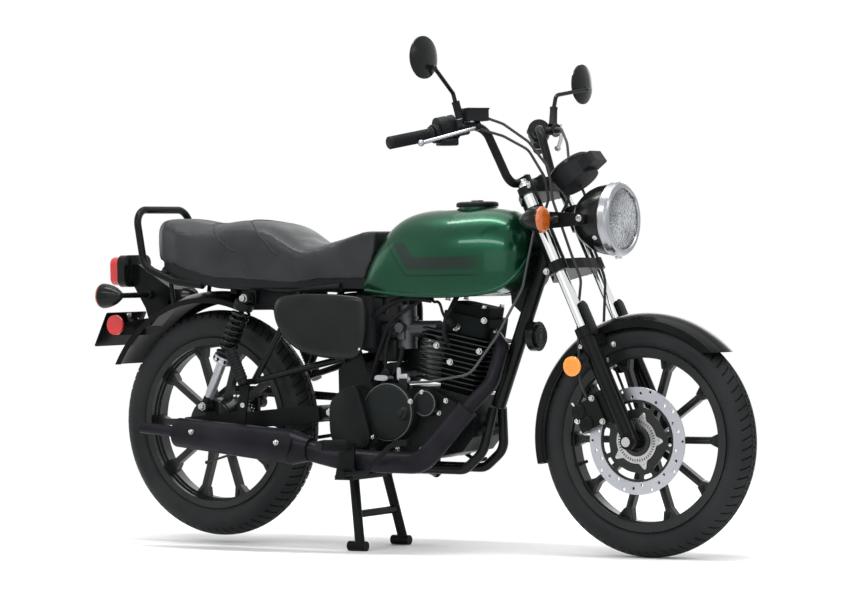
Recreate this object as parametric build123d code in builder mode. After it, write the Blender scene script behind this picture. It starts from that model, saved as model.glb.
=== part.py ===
from build123d import *
import math
import os

# A classic single-cylinder roadster motorcycle, standing on its centre stand.
# Millimetres. X points forward, Y to the rider's left, Z up; the origin is on the floor,
# under the middle of the machine.

os.makedirs("parts", exist_ok=True)

# ---------------------------------------------------------------- driving dimensions
WHEELBASE = 1320
REAR_AXLE_X = -628
REAR_LIFT = 20  # height of the rear tyre above the floor on the centre stand

FRONT_TYRE_R = 296
FRONT_TYRE_HALF_W = 40
REAR_TYRE_R = 306
REAR_TYRE_HALF_W = 50
RIM_FLANGE_R = 231
BEAD_R = 219
RIM_BORE_R = 213
FRONT_RIM_HALF_W = 31
REAR_RIM_HALF_W = 37
RIM_FLANGE_T = 4
SPOKE_COUNT = 10
SPOKE_W = 17.5
SPOKE_HALF_T = 10
SPOKE_FORK_R = 180
SPOKE_FOOT_W = 47

RAKE = 24.5  # degrees from the vertical
FORK_OFFSET = 50
LEG_Y = 93
STANCHION_R = 15
SLIDER_R = 21.5
SLIDER_TOP = 309
STANCHION_TOP = 708
LOWER_CLAMP = 481
UPPER_CLAMP = 692
CLAMP_T = 28
STEM_R = 13
HEAD_TUBE_R = 25
FRONT_AXLE_R = 7.5
REAR_AXLE_R = 8
RUNNING_GAP = 0.05  # radial clearance of a wheel on its axle
SIDE_GAP = 0.5  # clearance beside a turning hub
SEAT_GAP = 0.3  # clearance between pieces that rest against each other

DISC_R = 134.8
DISC_INNER_R = 103
DISC_T = 4
DISC_Y = -60
DISC_BOLT_R = 67
FRONT_HUB_R = 34
REAR_HUB_R = 68

HANDLEBAR_R = 11.1
BAR_END_Y = 366
BAR_END_BACK = 521  # distance of the bar's end behind the front axle
BAR_END_Z = 1050
GRIP_LENGTH = 122
GRIP_R = 16.5

HEADLIGHT_BACK = 86  # distance of the headlight's rim behind the front axle
HEADLIGHT_Z = 850
HEADLIGHT_R = 92
MIRROR_R = 53

PIVOT_X = -186
PIVOT_Z = 362
ARM_Y = 97
ARM_W = 25
ARM_H = 45
SHOCK_Y = 126
SHOCK_TOP = (-448, 664)
SHOCK_FOOT_AHEAD = 38  # distance of the shock's lower bolt ahead of the rear axle
SHOCK_FOOT_Z = 376
SPRING_R = 27

TANK_HALF_W = 132
SEAT_HALF_W = 128
COVER_Y = 150

BARREL_LEAN = 11.3  # degrees forward from the vertical
BARREL_FOOT = (147, 418)
BARREL_HEIGHT = 150
FIN_COUNT = 11

STAND_X = -150
STAND_Z = 205
STAND_FOOT_X = -115
STAND_HALF_W = 104
PROP_X = -30
PROP_Y = 141
PROP_Z = 196
PROP_LENGTH = 165
PROP_SPLAY = 22  # degrees that the prop stand's bolt leans, so that it swings out as it drops
PROP_HUB_HALF = 8
PROP_BOLT_R = 6
STAND_TUBE_R = 15

# ---------------------------------------------------------------- derived places
FRONT_AXLE_X = REAR_AXLE_X + WHEELBASE
FRONT_AXLE_Z = FRONT_TYRE_R
REAR_AXLE_Z = REAR_TYRE_R + REAR_LIFT
SHOCK_FOOT = (REAR_AXLE_X + SHOCK_FOOT_AHEAD, SHOCK_FOOT_Z)
BAR_END_X = FRONT_AXLE_X - BAR_END_BACK
HEADLIGHT_X = FRONT_AXLE_X - HEADLIGHT_BACK
SIN_RAKE = math.sin(math.radians(RAKE))
COS_RAKE = math.cos(math.radians(RAKE))
FRONT_AXLE = (FRONT_AXLE_X, 0, FRONT_AXLE_Z)
REAR_AXLE = (REAR_AXLE_X, 0, REAR_AXLE_Z)
# Fork frame: local x forward and square to the legs, local y left, local z up the legs.
FORK = Plane(origin=FRONT_AXLE, x_dir=(COS_RAKE, 0, SIN_RAKE), z_dir=(-SIN_RAKE, 0, COS_RAKE))
BARREL_SIN = math.sin(math.radians(BARREL_LEAN))
BARREL_COS = math.cos(math.radians(BARREL_LEAN))
# Barrel frame: local x forward, local y left, local z up the leaning cylinder.
BARREL = Plane(
    origin=(BARREL_FOOT[0], 0, BARREL_FOOT[1]),
    x_dir=(BARREL_COS, 0, -BARREL_SIN),
    z_dir=(BARREL_SIN, 0, BARREL_COS),
)


PROP_PIVOT = Vector(PROP_X, PROP_Y, PROP_Z)
PROP_AXIS = Vector(0, math.cos(math.radians(PROP_SPLAY)), math.sin(math.radians(PROP_SPLAY)))


def on_fork(x, y, z):
    """Return the place of a point given in the fork frame."""
    return FORK.from_local_coords((x, y, z))


def wheel_plane(axle, y):
    """Return the side-view plane of a wheel at a place y across; it faces right."""
    return Plane(origin=(axle[0], y, axle[2]), x_dir=(1, 0, 0), z_dir=(0, -1, 0))


def rod(start, end, radius, bore=0):
    """Return a straight round bar, or tube, from one point to another."""
    run = Vector(*end) - Vector(*start)
    with BuildPart() as bar:
        with BuildSketch(Plane(origin=start, z_dir=run)):
            Circle(radius)
            if bore:
                Circle(bore, mode=Mode.SUBTRACT)
        extrude(amount=run.length)
    return bar.part


def cone(start, end, start_radius, end_radius):
    """Return a straight round bar that tapers from one radius to another."""
    run = Vector(*end) - Vector(*start)
    with BuildPart() as taper:
        with BuildSketch(Plane(origin=start, z_dir=run)):
            Circle(start_radius)
        with BuildSketch(Plane(origin=end, z_dir=run)):
            Circle(end_radius)
        loft()
    return taper.part


def pipe(points, bends, radius, bore=0):
    """Return a round pipe swept along straight runs joined by tangent arcs."""
    with BuildPart() as tube:
        with BuildLine() as route:
            FilletPolyline(*points, radius=bends)
        with BuildSketch(Plane(origin=route.line @ 0, z_dir=route.line % 0)):
            Circle(radius)
            if bore:
                Circle(bore, mode=Mode.SUBTRACT)
        sweep()
    return tube.part


def slab(outline, plane, thickness):
    """Return a straight-sided outline, drawn on a plane, given a thickness."""
    with BuildPart() as sheet:
        with BuildSketch(plane):
            with BuildLine():
                Polyline(*outline, close=True)
            make_face()
        extrude(amount=thickness)
    return sheet.part


def disc(centre, axis, radius, thickness, bore=0):
    """Return a round plate that grows from its centre along an axis."""
    with BuildPart() as plate:
        with BuildSketch(Plane(origin=centre, z_dir=axis)):
            Circle(radius)
            if bore:
                Circle(bore, mode=Mode.SUBTRACT)
        extrude(amount=thickness)
    return plate.part


def turned(plane, outline, axis):
    """Return a solid turned from a straight-sided section about an axis."""
    with BuildPart() as shape:
        with BuildSketch(plane):
            with BuildLine():
                Polyline(*outline, close=True)
            make_face()
        revolve(axis=axis)
    return shape.part


def block(plane, low, high, corner=0):
    """Return a box between two corners given on a plane, its upright edges rounded."""
    with BuildPart() as brick:
        with BuildSketch(plane.offset(low[2])):
            with Locations(((low[0] + high[0]) / 2, (low[1] + high[1]) / 2)):
                if corner:
                    RectangleRounded(high[0] - low[0], high[1] - low[1], corner)
                else:
                    Rectangle(high[0] - low[0], high[1] - low[1])
        extrude(amount=high[2] - low[2])
    return brick.part


def dome(edge, top):
    """Draw the arc from a round edge to a crown on the axis, square to the axis there.

    Both points are (along, out) in the plane of the open line, and top lies on the axis.
    """
    rise = top[0] - edge[0]
    radius = (edge[1] ** 2 + rise ** 2) / (2 * abs(rise))
    centre = top[0] - math.copysign(radius, rise)
    half = math.asin(min(1, edge[1] / radius)) / 2
    middle = (centre + math.copysign(radius * math.cos(half), rise), radius * math.sin(half))
    return middle


# ---------------------------------------------------------------- wheels
def tyre(axle, half_w, radius, rim_half_w):
    """Return a tyre: a crowned tread, round shoulders and a bead between the flanges."""
    bead_y = rim_half_w - RIM_FLANGE_T
    lip = RIM_FLANGE_R + 1
    height = radius - RIM_FLANGE_R
    edge = (0.86 * half_w, radius - 0.27 * height)
    wall = (half_w, radius - 0.52 * height)
    with BuildPart() as ring:
        with BuildSketch(Plane(origin=axle, x_dir=(0, 1, 0), z_dir=(1, 0, 0))):
            with BuildLine():
                ThreePointArc((-edge[0], edge[1]), (0, radius), edge)
                ThreePointArc(edge, wall, (bead_y, lip))
                Polyline((bead_y, lip), (bead_y, BEAD_R), (-bead_y, BEAD_R), (-bead_y, lip))
                ThreePointArc((-bead_y, lip), (-wall[0], wall[1]), (-edge[0], edge[1]))
            make_face()
        revolve(axis=Axis(axle, (0, 1, 0)))
    return ring.part


def rim(axle, rim_half_w, hub_r, hub_right, hub_left, bore_r):
    """Return a cast rim: flanged barrel, bored hub and spokes that fork at the barrel."""
    section = Plane(origin=axle, x_dir=(0, 1, 0), z_dir=(1, 0, 0))
    inner_y = rim_half_w - RIM_FLANGE_T
    spoke_root = hub_r - 8
    spoke_foot = RIM_BORE_R + 2
    pocket_low = SPOKE_FORK_R + 8
    pocket_high = RIM_BORE_R - 5
    pocket_half = 12
    pocket_depth = 3
    with BuildPart() as wheel:
        with BuildSketch(section):
            with BuildLine():
                Polyline(
                    (-rim_half_w, RIM_BORE_R), (rim_half_w, RIM_BORE_R), (rim_half_w, RIM_FLANGE_R),
                    (inner_y, RIM_FLANGE_R), (inner_y, BEAD_R), (-inner_y, BEAD_R),
                    (-inner_y, RIM_FLANGE_R), (-rim_half_w, RIM_FLANGE_R), close=True,
                )
            make_face()
        revolve(axis=Axis(axle, (0, 1, 0)))
        with BuildSketch(wheel_plane(axle, 0)):
            with PolarLocations(0, SPOKE_COUNT):
                Polygon(
                    (spoke_root, -SPOKE_W / 2), (SPOKE_FORK_R, -SPOKE_W / 2),
                    (spoke_foot, -SPOKE_FOOT_W / 2), (spoke_foot, SPOKE_FOOT_W / 2),
                    (SPOKE_FORK_R, SPOKE_W / 2), (spoke_root, SPOKE_W / 2), align=None,
                )
        extrude(amount=SPOKE_HALF_T, both=True)
        for side in (-1, 1):
            with BuildSketch(wheel_plane(axle, side * SPOKE_HALF_T)):
                with PolarLocations(0, SPOKE_COUNT):
                    Polygon(
                        (pocket_low, 0), (pocket_high, -pocket_half), (pocket_high, pocket_half),
                        align=None,
                    )
            extrude(amount=side * pocket_depth, mode=Mode.SUBTRACT)
        with BuildSketch(wheel_plane(axle, -hub_right)):
            Circle(hub_r)
        extrude(amount=-hub_right - hub_left)
        with BuildSketch(wheel_plane(axle, -hub_right)):
            Circle(bore_r)
        extrude(amount=-hub_right - hub_left, mode=Mode.SUBTRACT)
    return wheel.part


FRONT_HUB_RIGHT = -DISC_Y
FRONT_HUB_LEFT = 46
REAR_HUB_RIGHT = 44
REAR_HUB_LEFT = 52

with BuildPart() as front_tyre:
    add(tyre(FRONT_AXLE, FRONT_TYRE_HALF_W, FRONT_TYRE_R, FRONT_RIM_HALF_W))
front_tyre.part.label = "front_tyre"
export_step(front_tyre.part, "parts/front_tyre.step")

with BuildPart() as front_rim:
    add(rim(FRONT_AXLE, FRONT_RIM_HALF_W, FRONT_HUB_R, FRONT_HUB_RIGHT, FRONT_HUB_LEFT,
            FRONT_AXLE_R + RUNNING_GAP))
front_rim.part.label = "front_rim"
export_step(front_rim.part, "parts/front_rim.step")

with BuildPart() as rear_tyre:
    add(tyre(REAR_AXLE, REAR_TYRE_HALF_W, REAR_TYRE_R, REAR_RIM_HALF_W))
rear_tyre.part.label = "rear_tyre"
export_step(rear_tyre.part, "parts/rear_tyre.step")

with BuildPart() as rear_rim:
    add(rim(REAR_AXLE, REAR_RIM_HALF_W, REAR_HUB_R, REAR_HUB_RIGHT, REAR_HUB_LEFT,
            REAR_AXLE_R + RUNNING_GAP))
rear_rim.part.label = "rear_rim"
export_step(rear_rim.part, "parts/rear_rim.step")

# The brake disc: a flat ring on five arms, bolted to the right end of the hub.
DISC_ARM_COUNT = 5
with BuildPart() as brake_disc:
    with BuildSketch(wheel_plane(FRONT_AXLE, DISC_Y)):
        Circle(DISC_R)
        Circle(DISC_INNER_R, mode=Mode.SUBTRACT)
        with PolarLocations((DISC_BOLT_R + DISC_INNER_R) / 2 - 8, DISC_ARM_COUNT):
            Rectangle(DISC_INNER_R - DISC_BOLT_R + 30, 34)
        Circle(DISC_BOLT_R + 9)
        Circle(FRONT_HUB_R - 8, mode=Mode.SUBTRACT)
    extrude(amount=DISC_T)
brake_disc.part.label = "brake_disc"
export_step(brake_disc.part, "parts/brake_disc.step")

# The final drive: a sprocket on the left of the rear hub and a closed loop of chain.
TYRE_TO_CHAIN = 12.5
CHAIN_Y = REAR_TYRE_HALF_W + TYRE_TO_CHAIN
CHAIN_W = 14
CHAIN_T = 11
SPROCKET_R = 71
SPROCKET_T = 6
DRIVE_X = -118
DRIVE_Z = 350
DRIVE_R = 26
CHAIN_GAP = 0.8

with BuildPart() as rear_sprocket:
    with BuildSketch(wheel_plane(REAR_AXLE, CHAIN_Y + SPROCKET_T / 2)):
        Circle(SPROCKET_R)
        Circle(REAR_AXLE_R + 12, mode=Mode.SUBTRACT)
    extrude(amount=SPROCKET_T)
    add(disc((REAR_AXLE_X, REAR_HUB_LEFT, REAR_AXLE_Z), (0, 1, 0), 45,
             CHAIN_Y - SPROCKET_T / 2 - REAR_HUB_LEFT, REAR_AXLE_R + 12))
rear_sprocket.part.label = "rear_sprocket"
export_step(rear_sprocket.part, "parts/rear_sprocket.step")


def belt(extra, half_w):
    """Return the solid loop round both sprockets, standing off them by a distance."""
    run_x = DRIVE_X - REAR_AXLE_X
    run_z = DRIVE_Z - REAR_AXLE_Z
    lean = math.atan2(run_z, run_x)
    open_angle = math.acos((SPROCKET_R - DRIVE_R) / math.hypot(run_x, run_z))
    big_r = SPROCKET_R + extra
    small_r = DRIVE_R + extra
    upper = (math.cos(lean + open_angle), math.sin(lean + open_angle))
    lower = (math.cos(lean - open_angle), math.sin(lean - open_angle))
    with BuildPart() as loop:
        with BuildSketch(Plane.XZ.offset(-CHAIN_Y)):
            with Locations((REAR_AXLE_X, REAR_AXLE_Z)):
                Circle(big_r)
            with Locations((DRIVE_X, DRIVE_Z)):
                Circle(small_r)
            Polygon(
                (REAR_AXLE_X + big_r * upper[0], REAR_AXLE_Z + big_r * upper[1]),
                (DRIVE_X + small_r * upper[0], DRIVE_Z + small_r * upper[1]),
                (DRIVE_X + small_r * lower[0], DRIVE_Z + small_r * lower[1]),
                (REAR_AXLE_X + big_r * lower[0], REAR_AXLE_Z + big_r * lower[1]),
                align=None,
            )
        extrude(amount=half_w, both=True)
    return loop.part


with BuildPart() as chain:
    add(belt(CHAIN_GAP + CHAIN_T, CHAIN_W / 2))
    add(belt(CHAIN_GAP, CHAIN_W), mode=Mode.SUBTRACT)
chain.part.label = "chain"
export_step(chain.part, "parts/chain.step")

# ---------------------------------------------------------------- fork and steering
AXLE_LUG_R = 20
AXLE_LUG_IN = LEG_Y - 23
AXLE_LUG_OUT = LEG_Y + 22
SEAL_R = 25
GUARD_X = 24
STANCHION_FOOT = 240
CLAMP_RING_R = 23
STEM_GAP = 0.05
YOKE_T = 20

with BuildPart() as fork_stanchions:
    for side in (-1, 1):
        add(rod(on_fork(0, side * LEG_Y, STANCHION_FOOT), on_fork(0, side * LEG_Y, STANCHION_TOP),
                STANCHION_R))
fork_stanchions.part.label = "fork_stanchions"
export_step(fork_stanchions.part, "parts/fork_stanchions.step")

with BuildPart() as fork_sliders:
    for side in (-1, 1):
        y = side * LEG_Y
        add(rod(on_fork(0, y, -6), on_fork(0, y, SLIDER_TOP), SLIDER_R))
        add(rod(on_fork(0, y, SLIDER_TOP - 22), on_fork(0, y, SLIDER_TOP + 4), SEAL_R))
        add(disc((FRONT_AXLE_X, side * AXLE_LUG_IN, FRONT_AXLE_Z), (0, side, 0), AXLE_LUG_R,
                 AXLE_LUG_OUT - AXLE_LUG_IN))
        add(block(FORK, (GUARD_X - 6, y - 14, SLIDER_TOP - 24), (GUARD_X, y + 14, SLIDER_TOP + 62), 2))
        add(rod(on_fork(0, y, STANCHION_FOOT), on_fork(0, y, SLIDER_TOP + 10), STANCHION_R),
            mode=Mode.SUBTRACT)
    add(rod((FRONT_AXLE_X, -AXLE_LUG_OUT, FRONT_AXLE_Z), (FRONT_AXLE_X, AXLE_LUG_OUT, FRONT_AXLE_Z),
            FRONT_AXLE_R + RUNNING_GAP), mode=Mode.SUBTRACT)
fork_sliders.part.label = "fork_sliders"
export_step(fork_sliders.part, "parts/fork_sliders.step")

SPEED_DRIVE_R = 27
with BuildPart() as front_axle:
    add(rod((FRONT_AXLE_X, -AXLE_LUG_OUT, FRONT_AXLE_Z), (FRONT_AXLE_X, AXLE_LUG_OUT, FRONT_AXLE_Z),
            FRONT_AXLE_R))
    add(disc((FRONT_AXLE_X, -AXLE_LUG_OUT, FRONT_AXLE_Z), (0, -1, 0), 12, 8))
    add(disc((FRONT_AXLE_X, AXLE_LUG_OUT, FRONT_AXLE_Z), (0, 1, 0), 12, 9))
    add(disc((FRONT_AXLE_X, -AXLE_LUG_IN, FRONT_AXLE_Z), (0, 1, 0), 14,
             AXLE_LUG_IN - FRONT_HUB_RIGHT - SIDE_GAP))
    add(disc((FRONT_AXLE_X, AXLE_LUG_IN, FRONT_AXLE_Z), (0, -1, 0), SPEED_DRIVE_R,
             AXLE_LUG_IN - FRONT_HUB_LEFT - SIDE_GAP))
front_axle.part.label = "front_axle"
export_step(front_axle.part, "parts/front_axle.step")

# Both yokes, the steering stem, the handlebar clamps and the headlight's sleeves and ears.
BAR_FRONT_X = FRONT_AXLE_X - 326
BAR_LOW_Z = 946
BAR_LOW_Y = 112
BAR_BEND_X = FRONT_AXLE_X - 385
BAR_BEND_Y = 140
BAR_BEND_Z = 1098
BAR_CLAMP_Y = 36
SLEEVE_R = 20
SLEEVE_LOW = 584
SLEEVE_HIGH = 646
EAR_T = 5
EAR_BOLT_X = HEADLIGHT_X - 50


def yoke(level, thickness):
    """Return one fork yoke: a plate from the stem to a ring round each leg."""
    with BuildPart() as plate:
        with BuildSketch(FORK.offset(level)):
            Polygon(
                (-FORK_OFFSET - 20, -22), (-FORK_OFFSET - 20, 22), (-20, LEG_Y), (18, LEG_Y),
                (22, 0), (18, -LEG_Y), (-20, -LEG_Y), align=None,
            )
            with Locations((0, -LEG_Y), (0, LEG_Y)):
                Circle(CLAMP_RING_R)
            with Locations((0, -LEG_Y), (0, LEG_Y)):
                Circle(STANCHION_R, mode=Mode.SUBTRACT)
        extrude(amount=thickness)
    return plate.part


HANDLEBAR_ROUTE = [
    (BAR_END_X, -BAR_END_Y, BAR_END_Z), (BAR_BEND_X, -BAR_BEND_Y, BAR_BEND_Z),
    (BAR_FRONT_X, -BAR_LOW_Y, BAR_LOW_Z), (BAR_FRONT_X, BAR_LOW_Y, BAR_LOW_Z),
    (BAR_BEND_X, BAR_BEND_Y, BAR_BEND_Z), (BAR_END_X, BAR_END_Y, BAR_END_Z),
]
with BuildPart() as handlebar:
    add(pipe(HANDLEBAR_ROUTE, [45, 32, 32, 45], HANDLEBAR_R))
handlebar.part.label = "handlebar"
export_step(handlebar.part, "parts/handlebar.step")

with BuildPart() as fork_clamps:
    add(yoke(LOWER_CLAMP - CLAMP_T / 2, CLAMP_T))
    add(yoke(UPPER_CLAMP - YOKE_T / 2, YOKE_T))
    add(rod(on_fork(-FORK_OFFSET, 0, LOWER_CLAMP), on_fork(-FORK_OFFSET, 0, UPPER_CLAMP), STEM_R))
    add(disc(on_fork(-FORK_OFFSET, 0, UPPER_CLAMP + YOKE_T / 2), FORK.z_dir, 15, 7))
    for side in (-1, 1):
        y = side * LEG_Y
        add(rod(on_fork(0, y, SLEEVE_LOW), on_fork(0, y, SLEEVE_HIGH), SLEEVE_R, STANCHION_R))
        ear_x = on_fork(0, 0, (SLEEVE_LOW + SLEEVE_HIGH) / 2).X
        with BuildSketch(Plane.XZ.offset(-side * (LEG_Y - EAR_T / 2))):
            Polygon(
                (ear_x + 12, HEADLIGHT_Z - 22), (EAR_BOLT_X, HEADLIGHT_Z - 14),
                (EAR_BOLT_X, HEADLIGHT_Z + 16), (ear_x + 12, HEADLIGHT_Z + 24), align=None,
            )
            with Locations((EAR_BOLT_X, HEADLIGHT_Z + 1)):
                Circle(15)
        extrude(amount=-side * EAR_T)
        clamp_y = side * BAR_CLAMP_Y
        add(block(FORK, (-46, clamp_y - 10, UPPER_CLAMP + YOKE_T / 2 - 1),
                  (-8, clamp_y + 10, UPPER_CLAMP + YOKE_T / 2 + 42), 4))
        add(rod(on_fork(0, y, LOWER_CLAMP), on_fork(0, y, STANCHION_TOP), STANCHION_R),
            mode=Mode.SUBTRACT)
    add(handlebar.part, mode=Mode.SUBTRACT)
fork_clamps.part.label = "fork_clamps"
export_step(fork_clamps.part, "parts/fork_clamps.step")

# Grips, seen as plain sleeves with a closed end.
BAR_RUN = Vector(BAR_BEND_X - BAR_END_X, BAR_BEND_Y - BAR_END_Y, BAR_BEND_Z - BAR_END_Z).normalized()


def on_bar(side, distance, ahead=0, above=0):
    """Return a point a distance in from a bar end, then ahead of and above the tube."""
    run = Vector(BAR_RUN.X, BAR_RUN.Y * side, BAR_RUN.Z)
    level = Vector(-run.Y * side, run.X * side, 0).normalized()
    end = Vector(BAR_END_X, side * BAR_END_Y, BAR_END_Z)
    return end + run * distance + level * ahead + Vector(0, 0, above)


with BuildPart() as grips:
    for side in (-1, 1):
        add(rod(on_bar(side, -4), on_bar(side, GRIP_LENGTH), GRIP_R))
        add(rod(on_bar(side, 0), on_bar(side, GRIP_LENGTH + 5), HANDLEBAR_R), mode=Mode.SUBTRACT)
grips.part.label = "grips"
export_step(grips.part, "parts/grips.step")

# Switch housings, lever perches and the brake master cylinder.
MIRROR_FOOT = (FRONT_AXLE_X - 396, 231, 1104)
SWITCH_END = GRIP_LENGTH + 68
PERCH_AT = GRIP_LENGTH + 85
with BuildPart() as controls:
    for side in (-1, 1):
        add(rod(on_bar(side, GRIP_LENGTH + 1), on_bar(side, SWITCH_END), 24))
        add(rod(on_bar(side, GRIP_LENGTH + 14, 0, 10), on_bar(side, SWITCH_END - 8, 0, 10), 29))
        add(rod(on_bar(side, SWITCH_END - 4), on_bar(side, PERCH_AT + 14), 19))
        add(rod(on_bar(side, PERCH_AT), on_bar(side, PERCH_AT, 52, 2), 11))
        add(rod(on_bar(side, PERCH_AT - 26, 44, 2), on_bar(side, PERCH_AT + 26, 44, 2), 12))
        add(rod(on_bar(side, PERCH_AT - 26, 44, 2), (MIRROR_FOOT[0], side * MIRROR_FOOT[1],
                MIRROR_FOOT[2]), 10))
    reservoir = Plane(origin=on_bar(-1, PERCH_AT + 14, 46, 27), x_dir=(BAR_RUN.X, -BAR_RUN.Y, 0),
                      z_dir=(0, 0, 1))
    add(block(reservoir, (-30, -22, -14), (30, 22, 16), 5))
    add(handlebar.part, mode=Mode.SUBTRACT)
    add(grips.part, mode=Mode.SUBTRACT)
controls.part.label = "controls"
export_step(controls.part, "parts/controls.step")

LEVER_X = 62
LEVER_TIP = 60
with BuildPart() as levers:
    for side in (-1, 1):
        pivot = on_bar(side, PERCH_AT, 56, -8)
        knee = on_bar(side, PERCH_AT - 50, LEVER_X, -16)
        tip = on_bar(side, LEVER_TIP, 50, -24)
        add(cone(pivot, knee, 7, 5.5))
        add(cone(knee, tip, 5.5, 4.5))
        with Locations(knee):
            Sphere(5.6)
        with Locations(tip):
            Sphere(7.5)
    add(controls.part, mode=Mode.SUBTRACT)
levers.part.label = "levers"
export_step(levers.part, "parts/levers.step")

# Mirrors: a booted stem screwed into each perch, bent outwards to a domed round head.
BOOT_X = FRONT_AXLE_X - 401
STEM_TOP_X = FRONT_AXLE_X - 382
HEAD_X = {-1: FRONT_AXLE_X - 402, 1: FRONT_AXLE_X - 392}
BEND_Z = {-1: 1172, 1: 1184}
STEM_TOP = {-1: (STEM_TOP_X, -370, 1231), 1: (STEM_TOP_X, 386, 1203)}
HEAD_CENTRE = {-1: (HEAD_X[-1], -382, 1257), 1: (HEAD_X[1], 388, 1217)}
MIRROR_YAW = {-1: 6, 1: 0}
with BuildPart() as mirrors:
    for side in (-1, 1):
        foot = (MIRROR_FOOT[0], side * MIRROR_FOOT[1], MIRROR_FOOT[2])
        boot = (BOOT_X, side * 244, 1148)
        bend = (BOOT_X + 1, side * 256, BEND_Z[side])
        add(cone(foot, boot, 9.5, 8))
        add(pipe([boot, bend, STEM_TOP[side]], [18], 5.5))
        yaw = math.radians(MIRROR_YAW[side])
        facing = (math.cos(yaw), side * math.sin(yaw), 0)
        centre = Vector(*HEAD_CENTRE[side])
        head = Plane(origin=centre, x_dir=facing, z_dir=Vector(*facing).cross(Vector(0, 0, 1)))
        with BuildSketch(head):
            with BuildLine():
                Polyline((9, 0), (-9, 0), (-9, MIRROR_R - 3), (-6, MIRROR_R), (-2, MIRROR_R))
                ThreePointArc((-2, MIRROR_R), dome((-2, MIRROR_R), (9, 0)), (9, 0))
            make_face()
        revolve(axis=Axis(centre, Vector(*facing)))
        boss = Vector(*STEM_TOP[side])
        with Locations(boss):
            Sphere(7)
        add(rod(boss, boss - Vector(*facing) * 15, 7))
    add(controls.part, mode=Mode.SUBTRACT)
mirrors.part.label = "mirrors"
export_step(mirrors.part, "parts/mirrors.step")

# Headlight: a bowl on two bolts, its bright ring and its lens.
LAMP_AXIS = Axis((0, 0, HEADLIGHT_Z), (1, 0, 0))
RING_R = 95
LENS_R = 76
RING_T = 26
LENS_RISE = 4
LAMP_BACK = (HEADLIGHT_X - 112, HEADLIGHT_Z)
with BuildPart() as headlight_shell:
    with BuildSketch(Plane.XZ):
        with BuildLine():
            Polyline(LAMP_BACK, (HEADLIGHT_X, HEADLIGHT_Z), (HEADLIGHT_X, HEADLIGHT_Z + HEADLIGHT_R))
            Spline((HEADLIGHT_X, HEADLIGHT_Z + HEADLIGHT_R), (HEADLIGHT_X - 28, HEADLIGHT_Z + 88),
                   (HEADLIGHT_X - 66, HEADLIGHT_Z + 73), (HEADLIGHT_X - 98, HEADLIGHT_Z + 43), LAMP_BACK)
        make_face()
    revolve(axis=LAMP_AXIS)
    for side in (-1, 1):
        add(rod((EAR_BOLT_X, 0, HEADLIGHT_Z + 1),
                (EAR_BOLT_X, side * (LEG_Y - EAR_T / 2), HEADLIGHT_Z + 1), 9))
headlight_shell.part.label = "headlight_shell"
export_step(headlight_shell.part, "parts/headlight_shell.step")

with BuildPart() as headlight_ring:
    add(turned(Plane.XZ, [
        (HEADLIGHT_X, HEADLIGHT_Z + LENS_R), (HEADLIGHT_X, HEADLIGHT_Z + RING_R - 1),
        (HEADLIGHT_X + 3, HEADLIGHT_Z + RING_R), (HEADLIGHT_X + 17, HEADLIGHT_Z + RING_R - 1),
        (HEADLIGHT_X + RING_T - 3, HEADLIGHT_Z + RING_R - 5),
        (HEADLIGHT_X + RING_T, HEADLIGHT_Z + RING_R - 10),
        (HEADLIGHT_X + RING_T, HEADLIGHT_Z + LENS_R + 2), (HEADLIGHT_X + RING_T - 3, HEADLIGHT_Z + LENS_R),
    ], LAMP_AXIS))
headlight_ring.part.label = "headlight_ring"
export_step(headlight_ring.part, "parts/headlight_ring.step")

with BuildPart() as headlight_lens:
    with BuildSketch(Plane.XZ):
        with BuildLine():
            Polyline((HEADLIGHT_X + RING_T + LENS_RISE, HEADLIGHT_Z), (HEADLIGHT_X, HEADLIGHT_Z),
                     (HEADLIGHT_X, HEADLIGHT_Z + LENS_R), (HEADLIGHT_X + RING_T - 4, HEADLIGHT_Z + LENS_R))
            crown = dome((RING_T - 4, LENS_R), (RING_T + LENS_RISE, 0))
            ThreePointArc((HEADLIGHT_X + RING_T - 4, HEADLIGHT_Z + LENS_R),
                          (HEADLIGHT_X + crown[0], HEADLIGHT_Z + crown[1]),
                          (HEADLIGHT_X + RING_T + LENS_RISE, HEADLIGHT_Z))
        make_face()
    revolve(axis=LAMP_AXIS)
headlight_lens.part.label = "headlight_lens"
export_step(headlight_lens.part, "parts/headlight_lens.step")

# Gauge: a round pod leaning back over the headlight, with a warning-lamp block ahead of it.
POD_TILT = 37
POD = Plane(
    origin=(FRONT_AXLE_X - 214, 0, 986),
    x_dir=(math.cos(math.radians(POD_TILT)), 0, math.sin(math.radians(POD_TILT))),
    z_dir=(-math.sin(math.radians(POD_TILT)), 0, math.cos(math.radians(POD_TILT))),
)
POD_R = 57
BRACKET_X = FRONT_AXLE_X - 288
with BuildPart() as gauge:
    with BuildSketch(POD):
        Circle(POD_R)
    with BuildSketch(POD.offset(-52)):
        Circle(POD_R - 5)
    loft()
    add(block(POD, (20, -36, -44), (82, 36, -14), 12))
    add(block(FORK, (2, -24, UPPER_CLAMP + YOKE_T / 2), (20, 24, UPPER_CLAMP + YOKE_T / 2 + 22), 3))
    add(slab([(BRACKET_X + 2, 950), (BRACKET_X, 960), (BRACKET_X + 88, 968), (BRACKET_X + 94, 954)],
             Plane.XZ.offset(-18), 36))
gauge.part.label = "gauge"
export_step(gauge.part, "parts/gauge.step")

# Front turn signals: bullets on short stalks screwed into the headlight's sleeves.
SIGNAL_Y = 170
SIGNAL_R = 34
FRONT_SIGNAL_X = FRONT_AXLE_X - 200
FRONT_SIGNAL_Z = 852


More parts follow.
